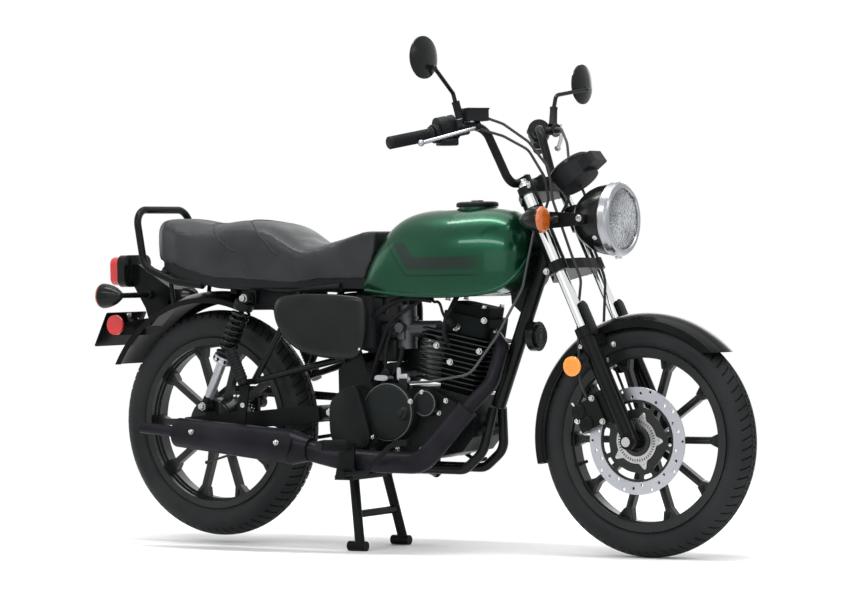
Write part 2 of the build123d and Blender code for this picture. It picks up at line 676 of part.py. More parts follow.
def bullet(centre, facing, stalk_foot):
    """Return a turn signal: lens, tapering body and the stalk that carries it."""
    plane = Plane(origin=centre, x_dir=(facing, 0, 0), z_dir=(0, -facing, 0))
    with BuildPart() as lamp:
        with BuildSketch(plane):
            with BuildLine():
                Polyline((12, 0), (-62, 0), (-62, 8))
                Spline((-62, 8), (-40, 24), (-8, SIGNAL_R - 1), (0, SIGNAL_R))
                Line((0, SIGNAL_R), (3, SIGNAL_R - 1))
                ThreePointArc((3, SIGNAL_R - 1), dome((3, SIGNAL_R - 1), (12, 0)), (12, 0))
            make_face()
        revolve(axis=Axis(centre, (facing, 0, 0)))
        add(rod((centre[0] - facing * 45, centre[1], centre[2]), stalk_foot, 8))
    return lamp.part


with BuildPart() as front_signals:
    for side in (-1, 1):
        stalk_x = on_fork(0, 0, (FRONT_SIGNAL_Z - FRONT_AXLE_Z) / COS_RAKE).X
        add(bullet((FRONT_SIGNAL_X, side * SIGNAL_Y, FRONT_SIGNAL_Z), 1,
                   (stalk_x, side * LEG_Y, FRONT_SIGNAL_Z)))
    add(fork_clamps.part, mode=Mode.SUBTRACT)
    add(fork_stanchions.part, mode=Mode.SUBTRACT)
front_signals.part.label = "front_signals"
export_step(front_signals.part, "parts/front_signals.step")

# Front mudguard: a crowned strip with side skirts, bracketed to both sliders.
GUARD_R = 319
GUARD_HALF_W = 51
GUARD_SKIRT_R = 283
GUARD_T = 3
GUARD_DROP = 17  # how far the crown's edge lies below its middle
GUARD_FRONT = 36  # degrees above the level, ahead of the axle
GUARD_REAR = 192
GUARD_TIP_Z = 515


def mudguard(axle, crown_r, half_w, skirt_r, front, rear):
    """Return a crowned, skirted strip bent round an axle between two angles."""
    angle = math.radians(rear)
    section = Plane(origin=axle, x_dir=(0, 1, 0), z_dir=(math.sin(angle), 0, -math.cos(angle)))
    inner_w = half_w - GUARD_T
    brow = crown_r - GUARD_DROP
    inner_brow = brow - GUARD_T
    with BuildPart() as strip:
        with BuildSketch(section):
            with BuildLine():
                ThreePointArc((-half_w, brow), (0, crown_r), (half_w, brow))
                Polyline((half_w, brow), (half_w, skirt_r), (inner_w, skirt_r), (inner_w, inner_brow))
                ThreePointArc((inner_w, inner_brow), (0, crown_r - GUARD_T), (-inner_w, inner_brow))
                Polyline((-inner_w, inner_brow), (-inner_w, skirt_r), (-half_w, skirt_r), (-half_w, brow))
            make_face()
        revolve(axis=Axis(axle, (0, 1, 0)), revolution_arc=rear - front)
    return strip.part


with BuildPart() as front_fender:
    add(mudguard(FRONT_AXLE, GUARD_R, GUARD_HALF_W, GUARD_SKIRT_R, GUARD_FRONT, GUARD_REAR))
    add(block(Plane.XY, (FRONT_AXLE_X + 100, -80, GUARD_TIP_Z - 100),
              (FRONT_AXLE_X + 400, 80, GUARD_TIP_Z)), mode=Mode.SUBTRACT)
    for side in (-1, 1):
        low_y = min(side * (GUARD_HALF_W - 1), side * LEG_Y)
        high_y = max(side * (GUARD_HALF_W - 1), side * LEG_Y)
        add(block(FORK, (-24, low_y, 256), (24, high_y, 284)))
        add(rod(on_fork(0, side * LEG_Y, 0), on_fork(0, side * LEG_Y, SLIDER_TOP),
                SLIDER_R + SEAT_GAP), mode=Mode.SUBTRACT)
front_fender.part.label = "front_fender"
export_step(front_fender.part, "parts/front_fender.step")

# Brake caliper: straddles the disc behind the right leg, on a plate bolted to the slider.
CALIPER_X = -80
CALIPER_Z = 110
DISC_SLOT = 2
with BuildPart() as brake_caliper:
    disc_out = DISC_Y - DISC_T
    add(block(FORK, (CALIPER_X - 42, disc_out - 30, CALIPER_Z - 36),
              (CALIPER_X + 36, DISC_Y + 18, CALIPER_Z + 36), 8))
    add(disc((FRONT_AXLE_X, DISC_Y + DISC_SLOT, FRONT_AXLE_Z), (0, -1, 0), DISC_R + 4,
             DISC_T + 2 * DISC_SLOT), mode=Mode.SUBTRACT)
    add(block(FORK, (CALIPER_X + 20, -LEG_Y + 9, CALIPER_Z - 40),
              (0, -LEG_Y + 21, CALIPER_Z + 44), 2))
    add(rod(on_fork(0, -LEG_Y, -20), on_fork(0, -LEG_Y, SLIDER_TOP), SLIDER_R + SEAT_GAP),
        mode=Mode.SUBTRACT)
brake_caliper.part.label = "brake_caliper"
export_step(brake_caliper.part, "parts/brake_caliper.step")

# ---------------------------------------------------------------- frame
TUBE_R = 19
CRADLE_R = 12.5
CRADLE_Y = 50
PLATE_Y = 40
PLATE_T = 6
PLATE_FRONT_X = -110
PLATE_REAR_X = -212
RAIL_Y = 96
RAIL_R = 11
BACKBONE_REAR = (-175, 0, 690)
DOWN_TUBE_LEVEL = 562
DOWN_TUBE_FOOT = (252, 0, 376)

TUNNEL_HALF_W = 26
TANK_POST_X = 300
TANK_POST_Z = 782
TANK_POST_R = 12
GUSSET = [(400, 785), (290, 765), (300, 640), (335, 610), (400, 740)]
CROSS_X = -175
CROSS_Z = 690

with BuildPart() as frame_main:
    add(rod(on_fork(-FORK_OFFSET, 0, LOWER_CLAMP + CLAMP_T / 2 + SIDE_GAP),
            on_fork(-FORK_OFFSET, 0, UPPER_CLAMP - YOKE_T / 2 - SIDE_GAP), HEAD_TUBE_R))
    add(rod(on_fork(-FORK_OFFSET, 0, 580), BACKBONE_REAR, TUBE_R))
    add(rod(on_fork(-FORK_OFFSET, 0, DOWN_TUBE_LEVEL), DOWN_TUBE_FOOT, TUBE_R))
    add(slab(GUSSET, Plane.XZ.offset(-4), 8))
    add(rod((TANK_POST_X, -TUNNEL_HALF_W + SEAT_GAP, TANK_POST_Z),
            (TANK_POST_X, TUNNEL_HALF_W - SEAT_GAP, TANK_POST_Z), TANK_POST_R))
    add(rod((CROSS_X, -RAIL_Y + 8, CROSS_Z), (CROSS_X, RAIL_Y - 8, CROSS_Z), 14))
    add(rod(on_fork(-FORK_OFFSET, 0, LOWER_CLAMP - 20), on_fork(-FORK_OFFSET, 0, UPPER_CLAMP + 20),
            STEM_R + STEM_GAP), mode=Mode.SUBTRACT)
frame_main.part.label = "frame_main"
export_step(frame_main.part, "parts/frame_main.step")

PLATE_OUTLINE = [
    (PLATE_FRONT_X, 196), (-196, 196), (PLATE_REAR_X, 330), (PLATE_REAR_X, 470), (-170, 520),
    (-140, 520), (PLATE_FRONT_X, 440),
]
with BuildPart() as frame_cradle:
    for side in (-1, 1):
        add(pipe([(250, side * 22, 372), (236, side * CRADLE_Y, 262), (178, side * CRADLE_Y, 214),
                  (-190, side * CRADLE_Y, 218)], [60, 40], CRADLE_R))
        plate_low = side * PLATE_Y if side < 0 else side * PLATE_Y + PLATE_T
        add(slab(PLATE_OUTLINE, Plane.XZ.offset(-plate_low), PLATE_T))
    add(rod((STAND_X, -88, STAND_Z), (STAND_X, 88, STAND_Z), STAND_TUBE_R))
    add(rod((-178, -PLATE_Y, 500), (-178, PLATE_Y, 500), 12))
    add(rod((PROP_X, CRADLE_Y, 216), PROP_PIVOT - PROP_AXIS * (PROP_HUB_HALF + SIDE_GAP), 11))
    add(disc(PROP_PIVOT - PROP_AXIS * (PROP_HUB_HALF + SIDE_GAP), PROP_AXIS, 24, 60), mode=Mode.SUBTRACT)
    add(rod(PROP_PIVOT - PROP_AXIS * (PROP_HUB_HALF + 2), PROP_PIVOT + PROP_AXIS * (PROP_HUB_HALF + 2),
            PROP_BOLT_R))
    add(disc(PROP_PIVOT + PROP_AXIS * (PROP_HUB_HALF + SIDE_GAP), PROP_AXIS, 10, 6))
    add(rod((PIVOT_X, -60, PIVOT_Z), (PIVOT_X, 60, PIVOT_Z), 9), mode=Mode.SUBTRACT)
    add(frame_main.part, mode=Mode.SUBTRACT)
frame_cradle.part.label = "frame_cradle"
export_step(frame_cradle.part, "parts/frame_cradle.step")

RAIL_ROUTE = [(CROSS_X + 10, RAIL_Y, CROSS_Z), (-300, RAIL_Y, 684), (-560, RAIL_Y, 702),
              (-745, RAIL_Y - 4, 742)]
JUNCTION = (-433, 443)
STAY_Y = 120
SHOCK_BOLT_R = 6
with BuildPart() as frame_rear:
    for side in (-1, 1):
        route = [(x, side * y, z) for x, y, z in RAIL_ROUTE]
        add(pipe(route, [150, 200], RAIL_R))
        add(rod((SHOCK_TOP[0], side * RAIL_Y, SHOCK_TOP[1]),
                (SHOCK_TOP[0], side * (SHOCK_Y + 22), SHOCK_TOP[1]), SHOCK_BOLT_R))
        lug_low = min(side * (RAIL_Y - 8), side * (RAIL_Y + 8))
        add(block(Plane.XY, (SHOCK_TOP[0] - 14, lug_low, SHOCK_TOP[1] - 12),
                  (SHOCK_TOP[0] + 14, lug_low + 16, SHOCK_TOP[1] + 28), 2))
        add(rod((JUNCTION[0], side * STAY_Y, JUNCTION[1]), (-285, side * RAIL_Y, 692), 9))
        add(rod((JUNCTION[0], side * STAY_Y, JUNCTION[1]), (-190, side * (PLATE_Y + PLATE_T + 7), 502), 9))
        add(rod((-190, side * (PLATE_Y + PLATE_T), 502), (-190, side * (PLATE_Y + PLATE_T + 14), 502), 11))
    add(rod((-560, -RAIL_Y, 702), (-560, RAIL_Y, 702), 8))
    add(frame_main.part, mode=Mode.SUBTRACT)
    add(frame_cradle.part, mode=Mode.SUBTRACT)
frame_rear.part.label = "frame_rear"
export_step(frame_rear.part, "parts/frame_rear.step")

# ---------------------------------------------------------------- rear suspension
ARM_SLOPE = math.atan2(REAR_AXLE_Z - PIVOT_Z, REAR_AXLE_X - PIVOT_X)
ARM_LENGTH = math.hypot(REAR_AXLE_Z - PIVOT_Z, REAR_AXLE_X - PIVOT_X)
ARM_FRAME = Plane(
    origin=(PIVOT_X, 0, PIVOT_Z),
    x_dir=(math.cos(ARM_SLOPE), 0, math.sin(ARM_SLOPE)),
    z_dir=(0, 1, 0),
)
BEAM_OFFSET = 58
with BuildPart() as swingarm:
    for side in (-1, 1):
        low = min(side * (ARM_Y - ARM_W / 2), side * (ARM_Y + ARM_W / 2))
        add(block(ARM_FRAME, (BEAM_OFFSET - 10, -ARM_H / 2, low),
                  (ARM_LENGTH + 46, ARM_H / 2, low + ARM_W), 8))
        shock_foot_y = side * (SHOCK_Y + 20)
        add(rod((SHOCK_FOOT[0], side * ARM_Y, SHOCK_FOOT[1]),
                (SHOCK_FOOT[0], shock_foot_y, SHOCK_FOOT[1]), SHOCK_BOLT_R))
        add(block(Plane.XZ.offset(-side * ARM_Y - 6), (SHOCK_FOOT[0] - 18, REAR_AXLE_Z, 0),
                  (SHOCK_FOOT[0] + 18, SHOCK_FOOT[1] + 16, 12), 6))
    beam = (PIVOT_X - BEAM_OFFSET, PIVOT_Z - 4)
    add(rod((beam[0], -ARM_Y, beam[1]), (beam[0], ARM_Y, beam[1]), 20))
    add(rod((PIVOT_X, -PLATE_Y + SEAT_GAP, PIVOT_Z), (PIVOT_X, PLATE_Y - SEAT_GAP, PIVOT_Z), 18))
    add(block(Plane.XY, (beam[0], -PLATE_Y + 6, PIVOT_Z - 15), (PIVOT_X, PLATE_Y - 6, PIVOT_Z + 13)))
    add(rod((PIVOT_X, -PLATE_Y - PLATE_T - 12, PIVOT_Z), (PIVOT_X, PLATE_Y + PLATE_T + 8, PIVOT_Z), 9))
    add(rod((REAR_AXLE_X, -130, REAR_AXLE_Z), (REAR_AXLE_X, 130, REAR_AXLE_Z), REAR_AXLE_R),
        mode=Mode.SUBTRACT)
swingarm.part.label = "swingarm"
export_step(swingarm.part, "parts/swingarm.step")

ARM_IN = ARM_Y - ARM_W / 2
ARM_OUT = ARM_Y + ARM_W / 2
PANEL_T = 11
with BuildPart() as rear_axle:
    add(rod((REAR_AXLE_X, -ARM_OUT, REAR_AXLE_Z), (REAR_AXLE_X, ARM_OUT, REAR_AXLE_Z), REAR_AXLE_R))
    for side in (-1, 1):
        add(disc((REAR_AXLE_X, side * ARM_OUT, REAR_AXLE_Z), (0, side, 0), 14, 10))
    add(disc((REAR_AXLE_X, -ARM_IN, REAR_AXLE_Z), (0, 1, 0), 14,
             ARM_IN - REAR_HUB_RIGHT - PANEL_T - SIDE_GAP))
    add(disc((REAR_AXLE_X, ARM_IN, REAR_AXLE_Z), (0, -1, 0), 14, ARM_IN - REAR_HUB_LEFT - SIDE_GAP))
rear_axle.part.label = "rear_axle"
export_step(rear_axle.part, "parts/rear_axle.step")

with BuildPart() as shock_absorbers:
    for side in (-1, 1):
        top = Vector(SHOCK_TOP[0], side * SHOCK_Y, SHOCK_TOP[1])
        foot = Vector(SHOCK_FOOT[0], side * SHOCK_Y, SHOCK_FOOT[1])
        run = (foot - top).normalized()
        reach = (foot - top).length
        for eye in (top, foot):
            add(disc(eye - Vector(0, 12, 0), (0, 1, 0), 15, 24))
        add(rod(top + run * 12, top + run * 40, 17))
        add(rod(top + run * 26, top + run * 170, SPRING_R))
        add(rod(top + run * 168, top + run * 190, SPRING_R - 3))
        add(rod(top + run * 180, foot - run * 12, 16))
    add(frame_rear.part, mode=Mode.SUBTRACT)
    add(swingarm.part, mode=Mode.SUBTRACT)
shock_absorbers.part.label = "shock_absorbers"
export_step(shock_absorbers.part, "parts/shock_absorbers.step")

# ---------------------------------------------------------------- engine
CASE_HALF_W = 75
CASE_OUTLINE = [
    (-70, 240), (60, 238), (188, 262), (220, 300), (226, 360), (214, 404), (100, 430), (-20, 430),
    (-70, 412),
]
GEARBOX_LEFT = 44
with BuildPart() as crankcase:
    add(slab(CASE_OUTLINE, Plane.XZ.offset(-CASE_HALF_W), 2 * CASE_HALF_W))
    add(block(Plane.XY, (PLATE_FRONT_X, -CASE_HALF_W, 255), (-70, GEARBOX_LEFT, 398)))
    add(block(Plane.XY, (218, -16, 306), (238, 16, 334)))
    add(rod((236, -CRADLE_Y, 320), (236, CRADLE_Y, 320), 8))
    add(frame_cradle.part, mode=Mode.SUBTRACT)
crankcase.part.label = "crankcase"
export_step(crankcase.part, "parts/crankcase.step")

HEADER_R = 19
HEADER_ROUTE = [(250, -14, 562), (290, -38, 530), (280, -76, 440), (212, -118, 358)]
HEADER_BENDS = [24, 60]
PORT_GAP = 3
FIN_T = 3
FIN_REAR = -118
FIN_FRONT = 88
FIN_HALF_W = 70
HEAD_FIN_FRONT = 108
HEAD_LOW = 110
HEAD_HIGH = 200
BARREL_R = 46
FIN_PITCH = (BARREL_HEIGHT - 20) / (FIN_COUNT - 1)
with BuildPart() as engine_cylinder:
    with BuildSketch(BARREL.offset(-8)):
        Circle(BARREL_R)
        RectangleRounded(2 * BARREL_R, 2 * BARREL_R + 8, 12)
    extrude(amount=BARREL_HEIGHT + 8)
    for index in range(FIN_COUNT):
        level = 14 + index * FIN_PITCH
        front = HEAD_FIN_FRONT if level > HEAD_LOW else FIN_FRONT
        add(block(BARREL.offset(level), (FIN_REAR, -FIN_HALF_W, 0), (front, FIN_HALF_W, FIN_T), 22))
    add(block(BARREL, (-64, -58, BARREL_HEIGHT), (74, 58, HEAD_HIGH), 16))
    add(block(BARREL, (-52, -50, HEAD_HIGH), (64, 50, HEAD_HIGH + 26), 20))
    add(pipe(HEADER_ROUTE, HEADER_BENDS, HEADER_R + PORT_GAP), mode=Mode.SUBTRACT)
    add(crankcase.part, mode=Mode.SUBTRACT)
engine_cylinder.part.label = "engine_cylinder"
export_step(engine_cylinder.part, "parts/engine_cylinder.step")

# Side covers of the engine: clutch, filter and pivot covers on the right, generator and
# sprocket covers on the left. Sizes of the covers are depths out from the crankcase.
CLUTCH_CENTRE = (0, 366)
CLUTCH_R = 74
COVER_BASE = 18
COVER_DEPTH = 54
COVER_LEFT = 96
CLUTCH_CABLE_X = 50
CLUTCH_CABLE_Y = -112
SPLIT_TOP = (-76, 440)
SPLIT_FOOT = (-20, 280)
with BuildPart() as engine_covers:
    right_base = [(-66, 262), (60, 256), (164, 280), (186, 322), (182, 388), (104, 424), (-30, 426),
                  (-66, 404)]
    add(slab(right_base, Plane.XZ.offset(CASE_HALF_W), COVER_BASE))
    with BuildSketch(Plane.XZ.offset(CASE_HALF_W)):
        with Locations(CLUTCH_CENTRE):
            Circle(CLUTCH_R)
        Polygon((-120, 460), SPLIT_TOP, SPLIT_FOOT, (-120, 260), align=None, mode=Mode.SUBTRACT)
    extrude(amount=COVER_DEPTH)
    with BuildSketch(Plane.XZ.offset(CASE_HALF_W)):
        with Locations((96, 388)):
            Circle(36)
    extrude(amount=COVER_DEPTH - 18)
    pivot_cover = [(-172, 392), (-92, 434), (SPLIT_TOP[0] - 8, SPLIT_TOP[1] - 12), (-34, 290), (-64, 266),
                   (-104, 270), (-178, 312)]
    add(slab(pivot_cover, Plane.XZ.offset(CASE_HALF_W), COVER_DEPTH + 6))
    with BuildSketch(Plane.XZ.offset(-CASE_HALF_W - 34)):
        with Locations((52, 338)):
            Circle(72)
    extrude(amount=34)
    sprocket_cover = [(-172, 316), (-120, 296), (-64, 290), (-20, 300), (-20, 410), (-80, 424), (-150, 412),
                      (-172, 392)]
    sprocket_well = [(-172, 316), (-120, 296), (-71, 291), (-71, 422), (-80, 424), (-150, 412),
                     (-172, 392)]
    add(slab(sprocket_cover, Plane.XZ.offset(-COVER_LEFT), COVER_LEFT - CASE_HALF_W))
    add(slab(sprocket_well, Plane.XZ.offset(-CASE_HALF_W), CASE_HALF_W - GEARBOX_LEFT - 4))
    add(belt(CHAIN_GAP + CHAIN_T + 4, 12), mode=Mode.SUBTRACT)
    add(block(Plane.XY, (24, CLUTCH_CABLE_Y - 9, 424), (CLUTCH_CABLE_X, CLUTCH_CABLE_Y + 9, 452), 4))
engine_covers.part.label = "engine_covers"
export_step(engine_covers.part, "parts/engine_covers.step")

CARB_Y = -18
CARB_Z = 578
with BuildPart() as carburettor:
    add(rod((-78, CARB_Y, CARB_Z), (90, CARB_Y, CARB_Z), 21))
    add(rod((-10, CARB_Y, CARB_Z - 52), (-10, CARB_Y, CARB_Z + 62), 25))
    add(rod((-10, CARB_Y - 44, CARB_Z + 4), (-10, CARB_Y + 36, CARB_Z + 4), 13))
    add(disc((-30, CARB_Y, CARB_Z), (-1, 0, 0), 27, 22))
    add(engine_cylinder.part, mode=Mode.SUBTRACT)
carburettor.part.label = "carburettor"
export_step(carburettor.part, "parts/carburettor.step")

with BuildPart() as air_box:
    add(block(Plane.XY, (-305, -82, 530), (-78, 82, 664), 24))
    add(frame_rear.part, mode=Mode.SUBTRACT)
    add(frame_cradle.part, mode=Mode.SUBTRACT)
air_box.part.label = "air_box"
export_step(air_box.part, "parts/air_box.step")

# ---------------------------------------------------------------- exhaust
SLEEVE_PIPE_R = 28
MUFFLER_FRONT = (-235, -190, 272)
MUFFLER_REAR = (-632, -190, 309)
MUFFLER_R = 46
MUFFLER_REAR_R = 39
TAIL_PIPE_R = 15
with BuildPart() as exhaust_pipe:
    add(pipe(HEADER_ROUTE, HEADER_BENDS, HEADER_R))
    add(pipe([(228, -112, 376), (112, -153, 236), (-16, -156, 238), (-130, -171, 246), MUFFLER_FRONT],
             [60, 150, 150], SLEEVE_PIPE_R))
exhaust_pipe.part.label = "exhaust_pipe"
export_step(exhaust_pipe.part, "parts/exhaust_pipe.step")

with BuildPart() as muffler:
    axis = (Vector(*MUFFLER_REAR) - Vector(*MUFFLER_FRONT)).normalized()
    front = Vector(*MUFFLER_FRONT)
    rear = Vector(*MUFFLER_REAR)
    add(cone(front + axis * -30, front + axis * 24, 31, MUFFLER_R))
    add(cone(front + axis * 24, rear, MUFFLER_R, MUFFLER_REAR_R))
    add(cone(rear, rear + axis * 10, MUFFLER_REAR_R, 26))
    add(rod(rear, rear + axis * 124, TAIL_PIPE_R, TAIL_PIPE_R - 2))
    add(rod(rear + axis * 20, rear + axis * 130, TAIL_PIPE_R - 2), mode=Mode.SUBTRACT)
    add(exhaust_pipe.part, mode=Mode.SUBTRACT)
muffler.part.label = "muffler"
export_step(muffler.part, "parts/muffler.step")

# ---------------------------------------------------------------- tank, seat, covers
# Each tank section: place along X, lowest and highest Z, and half width.
TANK_SECTIONS = [
    (-98, 678, 722, 86), (-72, 675, 794, 95), (-16, 668, 858, 106), (90, 662, 886, 122),
    (196, 661, 890, TANK_HALF_W), (280, 666, 887, 126), (335, 682, 868, 110), (364, 716, 838, 84),
    (377, 754, 806, 54),
]
SILL = 0.93  # width of a section's flat foot, as a share of its whole width
CAP_X = 200
CAP_Z = 891
CAP_R = 52
CAP_T = 13


def tank_shell(sections, extra=0):
    """Return the tank's outer form through its sections, each grown by a distance."""
    with BuildPart() as shell:
        for x, low, high, half_w in sections:
            wide = half_w + extra
            top = high + extra
            tall = top - low
            with BuildSketch(Plane.YZ.offset(x)):
                with BuildLine():
                    Spline(
                        (SILL * wide, low), (wide, low + 0.36 * tall), (0.86 * wide, low + 0.72 * tall),
                        (0.48 * wide, low + 0.95 * tall), (0, top), (-0.48 * wide, low + 0.95 * tall),
                        (-0.86 * wide, low + 0.72 * tall), (-wide, low + 0.36 * tall), (-SILL * wide, low),
                    )
                    Line((-SILL * wide, low), (SILL * wide, low))
                make_face()
        loft()
    return shell.part


with BuildPart() as fuel_tank:
    add(tank_shell(TANK_SECTIONS))
    tunnel = [(400, 640), (400, 900), (346, 900), (336, 829), (100, 778), (-200, 722), (-200, 640)]
    add(slab(tunnel, Plane.XZ.offset(-TUNNEL_HALF_W), 2 * TUNNEL_HALF_W), mode=Mode.SUBTRACT)
    add(rod((CAP_X, 0, CAP_Z - 16), (CAP_X, 0, CAP_Z), CAP_R - 3))
fuel_tank.part.label = "fuel_tank"
export_step(fuel_tank.part, "parts/fuel_tank.step")

with BuildPart() as fuel_cap:
    add(disc((CAP_X, 0, CAP_Z), (0, 0, 1), CAP_R, CAP_T))
    fillet(fuel_cap.edges().group_by(Axis.Z)[-1], 5)
fuel_cap.part.label = "fuel_cap"
export_step(fuel_cap.part, "parts/fuel_cap.step")

# Seat: one solid from its side and plan outlines, kept clear of the tank, covers and rails.
SEAT_SIDE = [
    (-66, 834), (-148, 826), (-214, 810), (-286, 801), (-344, 830), (-397, 857), (-457, 866), (-504, 866),
    (-579, 858), (-647, 862), (-709, 875), (-764, 880), (-806, 872),
]
SEAT_UNDER = [(-822, 845), (-804, 800), (-764, 768), (-712, 759), (-640, 738), (-560, 720), (-300, 701),
              (-230, 708), (-86, 706)]
TANK_REAR_GAP = 2
SEAT_PLAN = [(-60, 74), (-150, 92), (-286, 112), (-400, SEAT_HALF_W - 2), (-600, SEAT_HALF_W), (-688, 120),
             (-742, 104), (-772, 76), (-802, 38), (-822, 12)]
with BuildPart() as seat:
    with BuildSketch(Plane.XZ):
        with BuildLine():
            Spline(*SEAT_SIDE)
            Polyline(SEAT_SIDE[-1], *SEAT_UNDER, SEAT_SIDE[0])
        make_face()
    extrude(amount=SEAT_HALF_W + 10, both=True)
    with BuildSketch(Plane.XY.offset(650)):
        Polygon(*SEAT_PLAN, *[(x, -y) for x, y in reversed(SEAT_PLAN)], align=None)
    extrude(amount=300, mode=Mode.INTERSECT)
    add(block(Plane.XY, (-200, -TUNNEL_HALF_W, 680), (-60, TUNNEL_HALF_W, 736)), mode=Mode.SUBTRACT)
    tank_tail = (TANK_SECTIONS[0][0] - TANK_REAR_GAP, *TANK_SECTIONS[0][1:])
    add(tank_shell([tank_tail] + TANK_SECTIONS[1:5], TANK_REAR_GAP), mode=Mode.SUBTRACT)
seat.part.label = "seat"
export_step(seat.part, "parts/seat.step")

# Side covers: rounded shields on both sides, below the seat's front half.
COVER_OUTLINE = [(-353, 640), (-336, 668), (-264, 675), (-148, 672), (-74, 664), (-62, 642), (-64, 566),
                 (-78, 520), (-100, 502), (-184, 504), (-261, 518), (-316, 552), (-346, 600)]
COVER_T = 16
with BuildPart() as side_covers:
    for side in (-1, 1):
        inner = side * (COVER_Y - COVER_T)
        with BuildSketch(Plane.XZ.offset(-inner)) as cover_face:
            Polygon(*COVER_OUTLINE, align=None)
            fillet(cover_face.vertices(), 12)
        extrude(amount=-side * COVER_T)
    for side in (-1, 1):
        for x, z in ((-130, 640), (-290, 610)):
            add(rod((x, side * 82, z), (x, side * (COVER_Y - COVER_T), z), 7))
side_covers.part.label = "side_covers"
export_step(side_covers.part, "parts/side_covers.step")

# Rear mudguard with its tail bracket, plate carrier and the two side reflectors' arms.
REAR_GUARD_R = 358
REAR_GUARD_HALF_W = 80
REAR_GUARD_SKIRT_R = 296
REAR_GUARD_FRONT = 66
REAR_GUARD_REAR = 164
REAR_GUARD_END_Z = 486
PLATE_TILT = 26
PLATE_CENTRE = (-968, 0, 582)
PLATE_W = 178
PLATE_H = 102
CARRIER_T = 3
PLATE_HOLE_SPAN = 127
PLATE_HOLE_Y = -30
PLATE_HOLE_R = 3.2
with BuildPart() as rear_fender:
    add(mudguard(REAR_AXLE, REAR_GUARD_R, REAR_GUARD_HALF_W, REAR_GUARD_SKIRT_R,
                 REAR_GUARD_FRONT, REAR_GUARD_REAR))
    add(block(Plane.XY, (-1100, -120, 300), (-780, 120, REAR_GUARD_END_Z)), mode=Mode.SUBTRACT)
    tail_bracket = [(-770, 690), (-884, 760), (-900, 760), (-900, 700), (-862, 640), (-845, 590),
                    (-790, 640)]
    add(slab(tail_bracket, Plane.XZ.offset(-26), 52))
    add(slab([(-850, 612), (-963, 596), (-978, 566), (-860, 566)], Plane.XZ.offset(-34), 68))
    tilt = math.radians(PLATE_TILT)
    carrier = Plane(origin=PLATE_CENTRE, x_dir=(0, 1, 0), z_dir=(-math.cos(tilt), 0, math.sin(tilt)))
    add(block(carrier, (-PLATE_W / 2, -PLATE_H / 2, 0), (PLATE_W / 2, PLATE_H / 2, CARRIER_T), 4))
    for side in (-1, 1):
        add(rod((-965, side * 62, 592), (-915, side * 90, 595), 6))
        add(rod((-725, side * 76, 640), (-725, side * (RAIL_Y - 3), 730), 6))
    add(block(Plane.XY, (-570, -30, 660), (-550, 30, 700)))
    add(disc((REAR_AXLE_X, -REAR_GUARD_HALF_W, REAR_AXLE_Z), (0, 1, 0), REAR_TYRE_R + 20,
             2 * REAR_GUARD_HALF_W), mode=Mode.SUBTRACT)
    for side in (-1, 1):
        with BuildSketch(carrier):
            with Locations((side * PLATE_HOLE_SPAN / 2, PLATE_HOLE_Y)):
                Circle(PLATE_HOLE_R)
        extrude(amount=CARRIER_T, mode=Mode.SUBTRACT)
    add(frame_rear.part, mode=Mode.SUBTRACT)
rear_fender.part.label = "rear_fender"
export_step(rear_fender.part, "parts/rear_fender.step")

TAIL_X = -906
TAIL_Z = 742
with BuildPart() as tail_light:
    tail_plane = Plane(origin=(TAIL_X, 0, TAIL_Z), x_dir=(0, 1, 0), z_dir=(-1, 0, 0))
    add(block(tail_plane, (-61, -44, 0), (61, 44, 24), 22))
    add(block(tail_plane, (-34, -38, -6), (34, 30, 0), 8))
    add(rear_fender.part, mode=Mode.SUBTRACT)
tail_light.part.label = "tail_light"
export_step(tail_light.part, "parts/tail_light.step")

with BuildPart() as tail_lens:
    add(block(tail_plane, (-57, -39, 24), (57, 39, 56), 20))
    fillet(tail_lens.faces().sort_by(Axis.X)[0].edges(), 8)
    for side in (-1, 1):
        add(disc((-915, side * 90, 595), (0, side, 0), 27, 7))
    add(rear_fender.part, mode=Mode.SUBTRACT)
tail_lens.part.label = "tail_lens"
export_step(tail_lens.part, "parts/tail_lens.step")

REAR_SIGNAL = (-893, 170, 676)
with BuildPart() as rear_signals:
    for side in (-1, 1):
        centre = (REAR_SIGNAL[0], side * REAR_SIGNAL[1], REAR_SIGNAL[2])
        add(bullet(centre, -1, (-842, side * 26, REAR_SIGNAL[2])))
    add(rear_fender.part, mode=Mode.SUBTRACT)
rear_signals.part.label = "rear_signals"
export_step(rear_signals.part, "parts/rear_signals.step")

RAIL_BAR_Y = 119
with BuildPart() as grab_rail:
    add(pipe([(-596, -RAIL_BAR_Y, 700), (-690, -RAIL_BAR_Y, 712), (-792, -RAIL_BAR_Y, 752),
              (-818, -RAIL_BAR_Y, 908), (-818, RAIL_BAR_Y, 908), (-792, RAIL_BAR_Y, 752),
              (-690, RAIL_BAR_Y, 712), (-596, RAIL_BAR_Y, 700)], [120, 55, 45, 45, 55, 120], 10))
    for side in (-1, 1):
        add(rod((-610, side * RAIL_Y, 702), (-610, side * RAIL_BAR_Y, 702), 8))
        add(rod((-725, side * (RAIL_Y - 2), 738), (-745, side * RAIL_BAR_Y, 733), 8))
    add(frame_rear.part, mode=Mode.SUBTRACT)
grab_rail.part.label = "grab_rail"
export_step(grab_rail.part, "parts/grab_rail.step")

